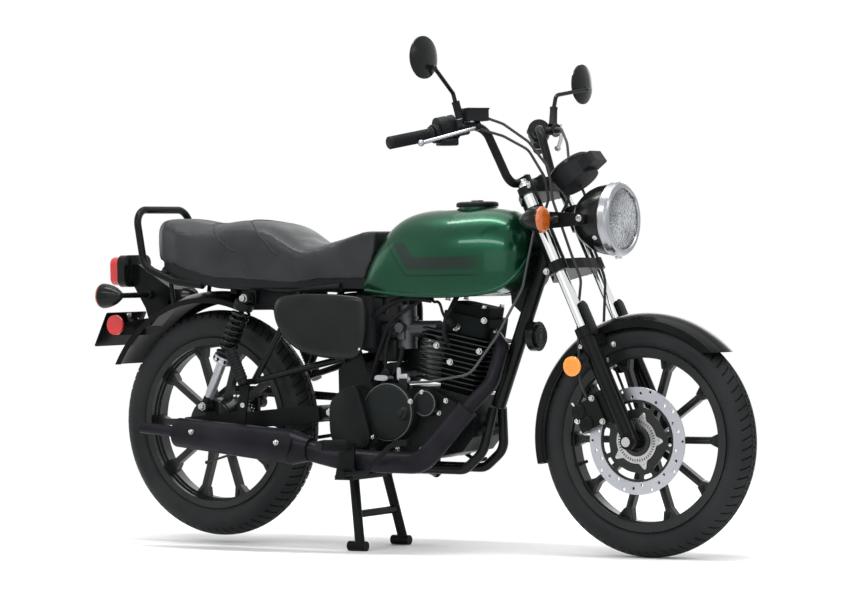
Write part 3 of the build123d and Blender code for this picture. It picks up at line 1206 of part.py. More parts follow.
# ---------------------------------------------------------------- small fittings
GUARD_Y = 72
with BuildPart() as chain_guard:
    guard = [(-262, 402), (-560, 422), (-662, 424), (-712, 392), (-696, 384), (-652, 406), (-560, 404),
             (-262, 386)]
    add(slab(guard, Plane.XZ.offset(-GUARD_Y - 3), 3))
    add(rod((-420, GUARD_Y + 3, 396), (-420, ARM_IN + 8, 372), 6))
    add(rod((-420, ARM_IN + 8, 372), (-420, ARM_IN + 8, 345), 6))
    add(swingarm.part, mode=Mode.SUBTRACT)
chain_guard.part.label = "chain_guard"
export_step(chain_guard.part, "parts/chain_guard.step")

PEG_X = -76
PEG_Z = 290
HANGER_Y = 206
HANGER_T = 6
HANGER_Z = {-1: 193, 1: 212}  # the right bar passes under the exhaust, the left over the side stand
HANGER_BAR_H = 12
PILLION_Y = 172
with BuildPart() as footpegs:
    for side in (-1, 1):
        bar_z = HANGER_Z[side]
        bar_low = min(side * CRADLE_Y, side * (HANGER_Y + HANGER_T))
        bar_high = max(side * CRADLE_Y, side * (HANGER_Y + HANGER_T))
        add(block(Plane.XY, (-118, bar_low, bar_z), (-62, bar_high, bar_z + HANGER_BAR_H)))
        hanger = [(-118, bar_z), (-62, bar_z), (-54, PEG_Z), (-98, PEG_Z)]
        hanger_start = -side * HANGER_Y
        add(slab(hanger, Plane.XZ.offset(hanger_start), -side * HANGER_T))
        add(rod((PEG_X, side * HANGER_Y, PEG_Z - 8), (PEG_X - 32, side * (HANGER_Y + 90), PEG_Z - 4), 13))
        pillion = Vector(JUNCTION[0], side * PILLION_Y, JUNCTION[1])
        add(rod((JUNCTION[0], side * (STAY_Y + 4), JUNCTION[1]), pillion, 8))
        add(rod(pillion + Vector(3, 0, -6), pillion + Vector(-40, 0, 86), 14))
    add(slab([(-420, 450), (-446, 450), (-466, 322), (-440, 318)], Plane.XZ.offset(STAY_Y + 34), 6))
    add(frame_cradle.part, mode=Mode.SUBTRACT)
    add(frame_rear.part, mode=Mode.SUBTRACT)
    add(muffler.part, mode=Mode.SUBTRACT)
footpegs.part.label = "footpegs"
export_step(footpegs.part, "parts/footpegs.step")

# Rear drum brake: the fixed panel in the hub's right side, its arm and the long rod to the pedal.
PANEL_R = 66
BRAKE_ARM_Y = -66
with BuildPart() as rear_brake:
    add(disc((REAR_AXLE_X, -REAR_HUB_RIGHT - SIDE_GAP, REAR_AXLE_Z), (0, -1, 0), PANEL_R, PANEL_T,
             REAR_AXLE_R + RUNNING_GAP))
    add(rod((-610, -50, 276), (-610, BRAKE_ARM_Y - 5, 276), 7))
    arm = [(-600, 286), (-620, 280), (-628, 218), (-616, 214)]
    add(slab(arm, Plane.XZ.offset(-BRAKE_ARM_Y), 6))
    add(rod((-622, BRAKE_ARM_Y - 8, 222), (-622, BRAKE_ARM_Y + 4, 222), 6))
    add(rod((-622, BRAKE_ARM_Y - 14, 222), (-300, -132, 306), 3.2))
    add(rod((-622, BRAKE_ARM_Y - 18, 222), (-622, BRAKE_ARM_Y, 222), 5))
rear_brake.part.label = "rear_brake"
export_step(rear_brake.part, "parts/rear_brake.step")

# Foot controls: the brake pedal ahead of the right peg and the gear pedal on the left.
with BuildPart() as foot_controls:
    pedal_y = -HANGER_Y - HANGER_T - SEAT_GAP
    add(disc((-88, pedal_y, 208), (0, -1, 0), 12, 16))
    add(pipe([(-88, pedal_y - 8, 208), (-16, pedal_y - 6, 214), (50, -204, 284), (84, -200, 288)],
             [30, 30], 6))
    add(block(Plane.XY, (58, -212, 284), (104, -186, 298), 4))
    add(disc((86, CASE_HALF_W + SEAT_GAP, 252), (0, 1, 0), 10, 43))
    add(pipe([(86, 114, 252), (60, 118, 252), (112, 118, 226), (140, 120, 232)], [6, 12], 5))
foot_controls.part.label = "foot_controls"
export_step(foot_controls.part, "parts/foot_controls.step")

HORN_Z = 556
HORN_AHEAD = 35  # distance of the horn ahead of the down tube
TUBE_TOP = on_fork(-FORK_OFFSET, 0, DOWN_TUBE_LEVEL)
TUBE_SHARE = (HORN_Z - DOWN_TUBE_FOOT[2]) / (TUBE_TOP.Z - DOWN_TUBE_FOOT[2])
HORN_X = DOWN_TUBE_FOOT[0] + TUBE_SHARE * (TUBE_TOP.X - DOWN_TUBE_FOOT[0]) + HORN_AHEAD
with BuildPart() as horn:
    add(disc((HORN_X, 0, HORN_Z), (1, 0, 0), 38, 20))
    add(disc((HORN_X + 20, 0, HORN_Z), (1, 0, 0), 30, 6))
    add(rod((HORN_X - 34, 0, HORN_Z), (HORN_X, 0, HORN_Z), 8))
    add(frame_main.part, mode=Mode.SUBTRACT)
horn.part.label = "horn"
export_step(horn.part, "parts/horn.step")

# Control cables that stay with the frame: the clutch cable down to the right cover and the
# throttle cable along the backbone to the carburettor.
CABLE_R = 3.5
with BuildPart() as chassis_cables:
    add(pipe([(396, -42, 838), (372, -70, 680), (310, -96, 560), (236, -110, 462),
              (110, CLUTCH_CABLE_Y, 443), (CLUTCH_CABLE_X + SEAT_GAP, CLUTCH_CABLE_Y, 441)],
             [80, 80, 60, 60], CABLE_R))
    add(pipe([(396, 42, 838), (391, 36, 724), (368, 27, 668), (300, 12, 676), (150, 14, 672), (40, 4, 690),
              (-6, CARB_Y + 2, 684), (-10, CARB_Y, CARB_Z + 62 + SEAT_GAP)], [60, 26, 40, 60, 60, 18], CABLE_R))
chassis_cables.part.label = "chassis_cables"
export_step(chassis_cables.part, "parts/chassis_cables.step")

# Hoses and cables that turn with the fork: the brake hose, the throttle and clutch cables
# and the speedometer cable.
with BuildPart() as front_hoses:
    add(pipe([(338, -180, 1112), (366, -140, 1096), (418, -104, 1050), (456, -72, 985), (464, -66, 900),
              on_fork(32, -64, 500), on_fork(30, -64, 430), on_fork(-22, -60, 352), on_fork(-44, -86, 262),
              on_fork(-64, -100, 196), on_fork(-74, -84, 168), on_fork(-76, -76, 146.3)],
             [30, 40, 50, 60, 60, 50, 50, 40, 20, 12], CABLE_R))
    add(pipe([on_bar(-1, PERCH_AT + 14.3, 14, -4), on_bar(-1, PERCH_AT + 34, 22, -8),
              (356, -124, 1066), (408, -88, 1030), (444, -70, 960), (446, -56, 905), (424, -42, 866)],
             [30, 40, 40, 40, 20], CABLE_R))
    add(pipe([on_bar(1, PERCH_AT + 26.3, 44, 2), (380, 128, 1090), (420, 88, 1050), (446, 56, 960),
              (444, 46, 900), (424, 42, 866)], [40, 40, 40, 20], CABLE_R))
    add(pipe([on_fork(-24, 58, 16), on_fork(-46, 60, 90), on_fork(-40, 61, 300), on_fork(30, 60, 430),
              on_fork(34, 58, 500), (482, 46, 856), POD.from_local_coords((-15, 18, -84)),
              POD.from_local_coords((-15, 18, -52.3))], [40, 100, 80, 60, 60, 40], CABLE_R))
    add(controls.part, mode=Mode.SUBTRACT)
    add(front_axle.part, mode=Mode.SUBTRACT)
    add(brake_caliper.part, mode=Mode.SUBTRACT)
front_hoses.part.label = "front_hoses"
export_step(front_hoses.part, "parts/front_hoses.step")

# ---------------------------------------------------------------- stands
STAND_R = 13
FOOT_R = 13
with BuildPart() as centre_stand:
    foot_x = STAND_FOOT_X
    for side in (-1, 1):
        add(rod((STAND_X, side * 76, STAND_Z), (foot_x, side * STAND_HALF_W, FOOT_R), STAND_R))
        add(rod((foot_x - 34, side * STAND_HALF_W, FOOT_R), (foot_x + 20, side * STAND_HALF_W, FOOT_R),
                FOOT_R))
        add(disc((STAND_X, side * 64, STAND_Z), (0, side, 0), 22, 22))
    add(rod((STAND_X + 20, -91, 95), (STAND_X + 20, 91, 95), 10))
    add(rod((STAND_X, -100, STAND_Z), (STAND_X, 100, STAND_Z), STAND_TUBE_R + RUNNING_GAP),
        mode=Mode.SUBTRACT)
centre_stand.part.label = "centre_stand"
export_step(centre_stand.part, "parts/centre_stand.step")

# Side stand, shown folded back along the left side.
with BuildPart() as side_stand:
    foot = PROP_PIVOT - Vector(PROP_LENGTH, 0, 0)
    add(rod(PROP_PIVOT - Vector(14, 0, 0), foot, 9))
    add(disc(foot - Vector(6, 0, 0), (1, 0, 0), 17, 6))
    add(disc(PROP_PIVOT - PROP_AXIS * PROP_HUB_HALF, PROP_AXIS, 16, 2 * PROP_HUB_HALF))
    add(rod(PROP_PIVOT - PROP_AXIS * 20, PROP_PIVOT + PROP_AXIS * 20, PROP_BOLT_R + RUNNING_GAP),
        mode=Mode.SUBTRACT)
side_stand.part.label = "side_stand"
export_step(side_stand.part, "parts/side_stand.step")
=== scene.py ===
"""Looks for a classic single-cylinder roadster motorcycle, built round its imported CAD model.

Every length is in metres, in the frame of the CAD model: X forward, Y to the rider's left, Z up.
"""

import logging
import math
from collections.abc import Callable, Iterable, Sequence
from dataclasses import dataclass
from enum import Enum

import bmesh
import bpy
from mathutils import Matrix, Vector
from mathutils.bvhtree import BVHTree


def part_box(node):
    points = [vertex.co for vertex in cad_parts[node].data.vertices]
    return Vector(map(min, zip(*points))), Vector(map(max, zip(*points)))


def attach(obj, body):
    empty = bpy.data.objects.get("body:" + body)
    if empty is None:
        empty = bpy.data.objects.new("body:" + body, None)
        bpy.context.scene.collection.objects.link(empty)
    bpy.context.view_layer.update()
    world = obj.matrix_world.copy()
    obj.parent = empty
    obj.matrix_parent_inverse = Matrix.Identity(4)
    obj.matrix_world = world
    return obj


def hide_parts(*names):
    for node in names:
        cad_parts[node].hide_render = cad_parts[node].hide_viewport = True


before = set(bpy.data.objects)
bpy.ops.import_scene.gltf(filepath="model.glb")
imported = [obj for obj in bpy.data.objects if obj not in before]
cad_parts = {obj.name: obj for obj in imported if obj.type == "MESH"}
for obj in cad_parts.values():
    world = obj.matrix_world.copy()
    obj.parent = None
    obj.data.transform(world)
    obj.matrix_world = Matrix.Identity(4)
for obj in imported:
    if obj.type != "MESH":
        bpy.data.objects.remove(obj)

LOG = logging.getLogger("motorcycle")
MERGE = 1e-6
COAT_ROUGHNESS = 0.03
TURN = 2 * math.pi
SIDES = (-1, 1)
CHASSIS = "chassis"
STEERING = "steering"
FRONT_WHEEL = "front_wheel"
REAR_WHEEL = "rear_wheel"

Colour = tuple[float, float, float]
Spot = tuple[float, float, float]
Pair = tuple[float, float]
Point = Sequence[float]
Mesh = bmesh.types.BMesh
Socket = bpy.types.NodeSocket


# ---------------------------------------------------------------- finishes
class Grain(Enum):
    """How the fine relief of a surface is laid out."""

    SPRAYED = "sprayed"
    PEBBLED = "pebbled"
    BRUSHED = "brushed"
    RIBBED = "ribbed"


def node_input(node: bpy.types.Node, name: str, value: object) -> None:
    """Set one socket of a node to a constant."""
    node.inputs[name].default_value = value


class Graph:
    """The node graph of one material, with short ways to add the nodes used here."""

    def __init__(self, name: str) -> None:
        """Start an empty graph with a Principled shader.

        Args:
            name: Name of the new material.
        """
        self.material = bpy.data.materials.new(name)
        self.material.use_nodes = True
        self.nodes = self.material.node_tree.nodes
        self.links = self.material.node_tree.links
        self.shader = self.nodes["Principled BSDF"]
        self.place = self.add("ShaderNodeTexCoord").outputs["Object"]

    def add(self, kind: str, **settings: object) -> bpy.types.Node:
        """Add a node.

        Args:
            kind: The node's type name.
            **settings: Properties of the node itself.

        Returns:
            The new node.
        """
        node = self.nodes.new(kind)
        for key, value in settings.items():
            setattr(node, key, value)
        return node

    def link(self, source: Socket, node: bpy.types.Node, name: str | int) -> None:
        """Join an output to a node's input."""
        self.links.new(source, node.inputs[name])

    def axes(self) -> dict[str, Socket]:
        """Return the X, Y and Z of the piece's own place."""
        split = self.add("ShaderNodeSeparateXYZ")
        self.link(self.place, split, "Vector")
        return {name: split.outputs[name] for name in "XYZ"}

    def noise(self, scale: float, detail: float, where: Socket | None = None) -> Socket:
        """Add a noise texture.

        Args:
            scale: Features per metre.
            detail: Octaves.
            where: Coordinates, or None for the piece's own.

        Returns:
            The noise's value.
        """
        texture = self.add("ShaderNodeTexNoise")
        node_input(texture, "Scale", scale)
        node_input(texture, "Detail", detail)
        self.link(where or self.place, texture, "Vector")
        return texture.outputs["Fac"]

    def ramp(self, value: Socket, low: float, high: float,
             start: float = 0.35, stop: float = 0.65) -> Socket:
        """Map a value's middle range onto a new range, clamped.

        Args:
            value: The value to map.
            low: Result at start and below.
            high: Result at stop and above.
            start: Lower end of the range that is mapped.
            stop: Upper end of it.

        Returns:
            The mapped value.
        """
        node = self.add("ShaderNodeMapRange")
        self.link(value, node, "Value")
        for name, amount in (("From Min", start), ("From Max", stop), ("To Min", low), ("To Max", high)):
            node_input(node, name, amount)
        return node.outputs["Result"]

    def math(self, operation: str, first: object, second: object = 0.0, third: object = 0.0) -> Socket:
        """Add a math node.

        Args:
            operation: The node's operation.
            first: First term, a socket or a number.
            second: Second term.
            third: Third term, where the operation has one.

        Returns:
            The result.
        """
        node = self.add("ShaderNodeMath", operation=operation)
        for slot, term in enumerate((first, second, third)):
            if isinstance(term, Socket):
                self.links.new(term, node.inputs[slot])
            else:
                node.inputs[slot].default_value = term
        return node.outputs[0]

    def blend(self, factor: Socket, first: object, second: object) -> Socket:
        """Mix two colours.

        Args:
            factor: Share of the second colour.
            first: First colour, a socket or a triple.
            second: Second colour.

        Returns:
            The mixed colour.
        """
        node = self.add("ShaderNodeMix", data_type="RGBA")
        self.links.new(factor, node.inputs["Factor"])
        for name, colour in (("A", first), ("B", second)):
            socket = next(s for s in node.inputs if s.name == name and s.type == "RGBA")
            if isinstance(colour, Socket):
                self.links.new(colour, socket)
            else:
                socket.default_value = (*colour, 1.0)
        return next(s for s in node.outputs if s.type == "RGBA")

    def relief(self, height: Socket, depth: float, soften: float) -> None:
        """Give the shader a bumped normal with its edges eased.

        Args:
            height: The relief's height from 0 to 1.
            depth: Metres from its lowest to its highest.
            soften: Radius by which hard edges look rounded, or 0.
        """
        bump = self.add("ShaderNodeBump")
        node_input(bump, "Strength", 1.0)
        node_input(bump, "Distance", depth)
        self.link(height, bump, "Height")
        if soften:
            edge = self.add("ShaderNodeBevel", samples=4)
            node_input(edge, "Radius", soften)
            self.link(edge.outputs["Normal"], bump, "Normal")
        self.link(bump.outputs["Normal"], self.shader, "Normal")


@dataclass(frozen=True)
class Finish:
    """A paint, metal, rubber or plastic, by what its surface does to light.

    Attributes:
        name: Name of the material.
        colour: Its main colour.
        shade: The colour that it varies to in soft patches.
        roughness: Mean roughness.
        vary: How far roughness wanders to each side.
        metallic: 1 for bare metal.
        grain: Layout of the fine relief.
        grain_scale: Relief features per metre.
        depth: Depth of the relief.
        patches: Soft patches per metre.
        coat: Weight of a clear coat.
        sheen: Weight of a dusty sheen.
        soften: Radius by which hard edges look rounded.
        clear: Share of light that passes through.
        specular: Strength of the surface's mirror-like part.
        axle: Centre that a brushed grain runs round, in X and Z.
    """

    name: str
    colour: Colour
    shade: Colour
    roughness: float
    vary: float = 0.05
    metallic: float = 0.0
    grain: Grain = Grain.SPRAYED
    grain_scale: float = 900.0
    depth: float = 0.00002
    patches: float = 9.0
    coat: float = 0.0
    sheen: float = 0.0
    soften: float = 0.0007
    clear: float = 0.0
    specular: float = 0.5
    axle: Pair = (0.0, 0.0)

    def height(self, graph: Graph) -> Socket:
        """Return the height of the fine relief.

        Args:
            graph: The graph to add its nodes to.

        Returns:
            A value from 0 to 1.
        """
        if self.grain is Grain.PEBBLED:
            cells = graph.add("ShaderNodeTexVoronoi", feature="SMOOTH_F1")
            node_input(cells, "Scale", self.grain_scale)
            graph.link(graph.place, cells, "Vector")
            return cells.outputs["Distance"]
        if self.grain is Grain.SPRAYED:
            return graph.noise(self.grain_scale, 3.0)
        axes = graph.axes()
        if self.grain is Grain.RIBBED:
            wave = graph.math("SINE", graph.math("MULTIPLY", axes["Y"], self.grain_scale))
            return graph.math("MULTIPLY_ADD", wave, 0.5, 0.5)
        across = graph.math("SUBTRACT", axes["X"], self.axle[0])
        up = graph.math("SUBTRACT", axes["Z"], self.axle[1])
        squares = graph.math("ADD", graph.math("MULTIPLY", across, across), graph.math("MULTIPLY", up, up))
        rings = graph.add("ShaderNodeCombineXYZ")
        graph.link(graph.math("SQRT", squares), rings, "X")
        return graph.noise(self.grain_scale, 4.0, rings.outputs["Vector"])

    def tint(self, graph: Graph, patches: Socket) -> Socket:
        """Return the surface's colour.

        Args:
            graph: The graph to add its nodes to.
            patches: Slow noise over the surface.

        Returns:
            The colour.
        """
        return graph.blend(graph.ramp(patches, 0.0, 1.0), self.colour, self.shade)

    def material(self) -> bpy.types.Material:
        """Return the finish as a material, made once."""
        made = bpy.data.materials.get(self.name)
        if made:
            return made
        graph = Graph(self.name)
        patches = graph.noise(self.patches, 5.0)
        graph.link(self.tint(graph, patches), graph.shader, "Base Color")
        low = max(self.roughness - self.vary, 0.01)
        graph.link(graph.ramp(patches, low, self.roughness + self.vary), graph.shader, "Roughness")
        graph.relief(self.height(graph), self.depth, self.soften)
        for name, value in (("Metallic", self.metallic), ("Specular IOR Level", self.specular),
                            ("Coat Weight", self.coat), ("Coat Roughness", COAT_ROUGHNESS),
                            ("Sheen Weight", self.sheen), ("Transmission Weight", self.clear)):
            node_input(graph.shader, name, value)
        return graph.material


@dataclass(frozen=True)
class TankPaint(Finish):
    """Metallic paint with a dark band and a pin line low on each side.

    Attributes:
        band_low: Height of the band's lower edge.
        band_width: Width of the band, square to its edges.
        bend: A point on the slanting stretch of the band's lower edge, in X and Z.
        slant: Degrees that this stretch leans back from the level.
        band_top: Height at which the slanting stretch ends.
        front: How far forward the band runs.
        line_drop: Distance from the band down to the pin line.
        line_width: Width of the pin line.
        band_colour: Colour of the band.
        line_colour: Colour of the pin line.
    """

    band_low: float = 0.731
    band_width: float = 0.034
    bend: Pair = (0.0047, 0.795)
    slant: float = 52.0
    band_top: float = 0.803
    front: float = 0.292
    line_drop: float = 0.0145
    line_width: float = 0.0042
    band_colour: Colour = (0.012, 0.024, 0.019)
    line_colour: Colour = (0.005, 0.02, 0.011)

    def tint(self, graph: Graph, patches: Socket) -> Socket:
        """Return the paint's colour, flakes and bands included.

        Args:
            graph: The graph to add its nodes to.
            patches: Slow noise over the surface.

        Returns:
            The colour.
        """
        flakes = graph.add("ShaderNodeTexVoronoi")
        node_input(flakes, "Scale", 2600.0)
        graph.link(graph.place, flakes, "Vector")
        base = graph.blend(graph.ramp(flakes.outputs["Distance"], 0.0, 1.0, 0.15, 0.6), self.colour, self.shade)
        axes = graph.axes()
        x, z = axes["X"], axes["Z"]
        lean = math.radians(self.slant)
        offset = -(self.bend[0] * math.sin(lean) + self.bend[1] * math.cos(lean))
        slanted = graph.math("ADD", graph.math("MULTIPLY", x, math.sin(lean)),
                             graph.math("MULTIPLY_ADD", z, math.cos(lean), offset))
        level = graph.math("SUBTRACT", z, self.band_low)
        inside = graph.math("SMOOTH_MIN", level, slanted, 0.012)
        limits = graph.math("MULTIPLY", graph.math("LESS_THAN", z, self.band_top),
                            graph.ramp(x, 1.0, 0.0, self.front - 0.05, self.front))
        off_middle = graph.math("ABSOLUTE", graph.math("SUBTRACT", inside, self.band_width / 2))
        band = graph.math("MULTIPLY", graph.ramp(off_middle, 1.0, 0.0, self.band_width / 2 - 0.003,
                                                 self.band_width / 2 + 0.002), limits)
        line = graph.math("MULTIPLY", graph.math("COMPARE", inside, -self.line_drop, self.line_width / 2), limits)
        return graph.blend(line, graph.blend(band, base, self.band_colour), self.line_colour)


FRONT_AXLE_XZ = tuple(round(sum(c[i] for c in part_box("front_tyre")) / 2, 5) for i in (0, 2))

GREEN_PAINT = TankPaint("green_metallic_paint", (0.002, 0.026, 0.011), (0.004, 0.052, 0.024), 0.3, 0.03, 0.75,
                        grain_scale=60.0, depth=0.000008, coat=0.26, soften=0.0, specular=0.2)
BLACK_PAINT = Finish("gloss_black_paint", (0.003, 0.0035, 0.0035), (0.006, 0.0065, 0.0065), 0.2, 0.03,
                     grain_scale=80.0, depth=0.00001, specular=0.09)
CAST_BLACK = Finish("cast_black_enamel", (0.008, 0.01, 0.01), (0.014, 0.016, 0.016), 0.3, 0.06,
                    grain_scale=1400.0, depth=0.00003, specular=0.22)
SATIN_BLACK = Finish("satin_black_paint", (0.004, 0.005, 0.005), (0.007, 0.008, 0.008), 0.36, 0.06,
                     grain_scale=1500.0, depth=0.00002, specular=0.08)
COVER_BLACK = Finish("satin_cover_black", (0.006, 0.007, 0.007), (0.01, 0.011, 0.011), 0.24, 0.04,
                     grain_scale=1500.0, depth=0.00001, specular=0.16)
EXHAUST_BLACK = Finish("heatproof_black_coating", (0.007, 0.0065, 0.009), (0.013, 0.012, 0.016), 0.36, 0.07,
                       grain_scale=2200.0, depth=0.00004, specular=0.07)
ENGINE_BLACK = Finish("engine_black_coating", (0.005, 0.0065, 0.0065), (0.009, 0.011, 0.011), 0.38, 0.08,
                      grain_scale=1600.0, depth=0.00005, specular=0.1)
# Lighter grey that paints the highlights on the engine covers' rims and edges.
PAINTED_HIGHLIGHT_GREY = Finish("engine_edge_painted_highlight", (0.06, 0.065, 0.065), (0.1, 0.105, 0.105), 0.4, 0.08,
                     grain_scale=1600.0, depth=0.00005)
FRAME_BLACK = Finish("frame_black_enamel", (0.004, 0.005, 0.005), (0.008, 0.009, 0.009), 0.26, 0.05, specular=0.12)
BLACK_PLASTIC = Finish("grained_black_plastic", (0.006, 0.007, 0.008), (0.011, 0.012, 0.013), 0.5, 0.06,
                       grain=Grain.PEBBLED, grain_scale=1500.0, depth=0.00008, specular=0.1)
GLOSS_PLASTIC = Finish("gloss_black_plastic", (0.004, 0.005, 0.005), (0.007, 0.008, 0.008), 0.2, 0.03,
                       specular=0.16)
RUBBER = Finish("black_rubber", (0.006, 0.0065, 0.007), (0.01, 0.011, 0.012), 0.55, 0.08, grain_scale=2400.0,
                depth=0.00006, specular=0.1)
CABLE_GREY = Finish("grey_cable_sheath", (0.02, 0.022, 0.024), (0.034, 0.036, 0.038), 0.4, 0.06,
                    grain_scale=1900.0, depth=0.00003, specular=0.5)
TYRE_RUBBER = Finish("tread_compound", (0.008, 0.0095, 0.01), (0.016, 0.018, 0.0185), 0.55, 0.09,
                     grain_scale=1800.0,
                     depth=0.00008, specular=0.14)
VINYL = Finish("black_grained_vinyl", (0.009, 0.011, 0.012), (0.016, 0.0185, 0.02), 0.4, 0.06, grain=Grain.PEBBLED,
               grain_scale=620.0, depth=0.0003, soften=0.0, specular=0.25)
PIPING = Finish("black_seam_piping", (0.006, 0.006, 0.007), (0.01, 0.01, 0.012), 0.5, 0.05, grain_scale=2000.0,
                soften=0.0, specular=0.25)
CHROME = Finish("polished_chrome", (0.78, 0.79, 0.8), (0.7, 0.71, 0.73), 0.08, 0.03, 1.0, grain_scale=40.0,
                depth=0.000005)
POLISHED = Finish("polished_aluminium", (0.4, 0.41, 0.43), (0.3, 0.31, 0.33), 0.24, 0.05, 1.0)
# Chrome reflector whose dark patches are painted reflections: the mottle seen through the fluted glass.
REFLECTOR_PAINTED_MOTTLE = Finish("pressed_reflector_painted_mottle", (0.85, 0.87, 0.9), (0.08, 0.09, 0.11), 0.16, 0.08, 1.0,
                           grain=Grain.PEBBLED, grain_scale=190.0, depth=0.0022, soften=0.0)
ALUMINIUM = Finish("cast_aluminium", (0.42, 0.43, 0.45), (0.3, 0.31, 0.33), 0.38, 0.07, 1.0, grain_scale=1300.0,
                   depth=0.00006)
DARK_ALLOY = Finish("dark_cast_alloy", (0.03, 0.034, 0.037), (0.07, 0.075, 0.08), 0.4, 0.09, 0.7,
                    grain_scale=1300.0, depth=0.00008)
ZINC = Finish("zinc_plated_steel", (0.52, 0.52, 0.51), (0.38, 0.38, 0.37), 0.28, 0.07, 1.0)
DISC_STEEL = Finish("brushed_disc_steel", (0.42, 0.43, 0.46), (0.34, 0.35, 0.38), 0.34, 0.06, 1.0,
                    grain=Grain.BRUSHED, grain_scale=2600.0, depth=0.00004, axle=FRONT_AXLE_XZ)
CHAIN_STEEL = Finish("oiled_chain_steel", (0.1, 0.095, 0.09), (0.05, 0.047, 0.045), 0.35, 0.1, 1.0)
AMBER = Finish("amber_lens", (0.36, 0.06, 0.005), (0.52, 0.12, 0.01), 0.12, 0.03, coat=0.6, grain=Grain.PEBBLED,
               grain_scale=230.0, depth=0.001, soften=0.0)
AMBER_REFLECTOR = Finish("amber_reflector", (0.85, 0.26, 0.008), (0.75, 0.2, 0.008), 0.15, 0.03, coat=0.6,
                         grain=Grain.PEBBLED, grain_scale=520.0, depth=0.0006, soften=0.0)
RED = Finish("red_moulded_lens", (0.5, 0.006, 0.008), (0.36, 0.003, 0.005), 0.12, 0.03, coat=0.6,
             grain=Grain.RIBBED,
             grain_scale=1100.0, depth=0.0005)
CLEAR = Finish("fluted_clear_glass", (0.95, 0.97, 0.98), (0.9, 0.92, 0.93), 0.04, 0.01, grain=Grain.PEBBLED,
               grain_scale=210.0, depth=0.0011, soften=0.0, clear=1.0)
GAUGE_GLASS = Finish("gauge_glass", (0.95, 0.96, 0.97), (0.92, 0.93, 0.94), 0.03, 0.01, depth=0.000002,
                     soften=0.0, clear=1.0)
MIRROR_GLASS = Finish("mirror_glass", (0.86, 0.88, 0.9), (0.84, 0.86, 0.88), 0.02, 0.005, 1.0, depth=0.000001,
                      soften=0.0)
DIAL_BLACK = Finish("dial_black", (0.006, 0.006, 0.008), (0.01, 0.01, 0.012), 0.55, 0.05, specular=0.2)
DIAL_WHITE = Finish("dial_white", (0.8, 0.8, 0.78), (0.74, 0.74, 0.72), 0.5, 0.05)
NEEDLE_RED = Finish("needle_red", (0.75, 0.06, 0.02), (0.65, 0.04, 0.02), 0.4, 0.05)
SIGNAL_GREEN = Finish("green_telltale", (0.03, 0.4, 0.1), (0.02, 0.3, 0.08), 0.3, 0.05)
SIGNAL_BLUE = Finish("blue_telltale", (0.02, 0.12, 0.6), (0.02, 0.1, 0.45), 0.3, 0.05)


# ---------------------------------------------------------------- mesh helpers
def place(origin: Point, axis: Point, ahead: Point = (1.0, 0.0, 0.0)) -> Matrix:
    """Return the placement that stands a part's Z along an axis.

    Args:
        origin: Where the part's origin goes.
        axis: Direction of the part's Z.
        ahead: Direction that the part's X leans towards.

    Returns:
        A 4 by 4 placement.
    """
    z = Vector(axis).normalized()
    x = Vector(ahead) - z * z.dot(Vector(ahead))
    if x.length < 1e-4:
        x = z.orthogonal()
    x.normalize()
    y = z.cross(x)
    return Matrix.Translation(Vector(origin)) @ Matrix((x, y, z)).transposed().to_4x4()


def flat_on_side(x: float, y: float, z: float, side: int) -> Matrix:
    """Return the placement of a plate that lies in side view and thickens outwards.

    Args:
        x: Place of the plate's origin forward.
        y: Place across.
        z: Place up.
        side: -1 for the right side, 1 for the left.

    Returns:
        A placement whose X is forward, whose Y is up and whose Z points out of that side.
    """
    if side < 0:
        return place((x, y, z), (0, -1, 0))
    return Matrix.Translation((x, y, z)) @ Matrix(((1, 0, 0), (0, 0, 1), (0, 1, 0))).to_4x4()


def ease_edges(part: Mesh, edges: Sequence[bmesh.types.BMEdge], radius: float, segments: int = 2,
               clamp: bool = False) -> None:
    """Round some edges of a mesh.

    Args:
        part: The mesh.
        edges: The edges to round.
        radius: Radius of the rounding.
        segments: Faces across it.
        clamp: True if neighbouring roundings may not overlap.
    """
    bmesh.ops.bevel(part, geom=edges, offset=radius, segments=segments, profile=0.5, affect="EDGES", material=-1,
                    clamp_overlap=clamp)


def lathe(profile: Sequence[Point], steps: int = 48, closed: bool = False) -> Mesh:
    """Return a shape turned round Z.

    Args:
        profile: Points of the section, as radius and height.
        steps: Faces round the axis.
        closed: True if the section's ends join, as in a ring.

    Returns:
        The new mesh.
    """
    part = bmesh.new()
    corners = [part.verts.new((radius, 0.0, height)) for radius, height in profile]
    pairs = list(zip(corners, corners[1:]))
    if closed:
        pairs.append((corners[-1], corners[0]))
    edges = [part.edges.new(pair) for pair in pairs]
    bmesh.ops.spin(part, geom=corners + edges, cent=(0, 0, 0), axis=(0, 0, 1), angle=TURN, steps=steps,
                   use_merge=True)
    return part


def collar(inner: float, outer: float, low: float, high: float, steps: int) -> Mesh:
    """Return a ring round Z with a square section.

    Args:
        inner: Its inner radius.
        outer: Its outer radius.
        low: Height of its lower face.
        high: Height of its upper face.
        steps: Faces round it.

    Returns:
        The new mesh.
    """
    return lathe([(inner, low), (outer, low), (outer, high), (inner, high)], steps, closed=True)


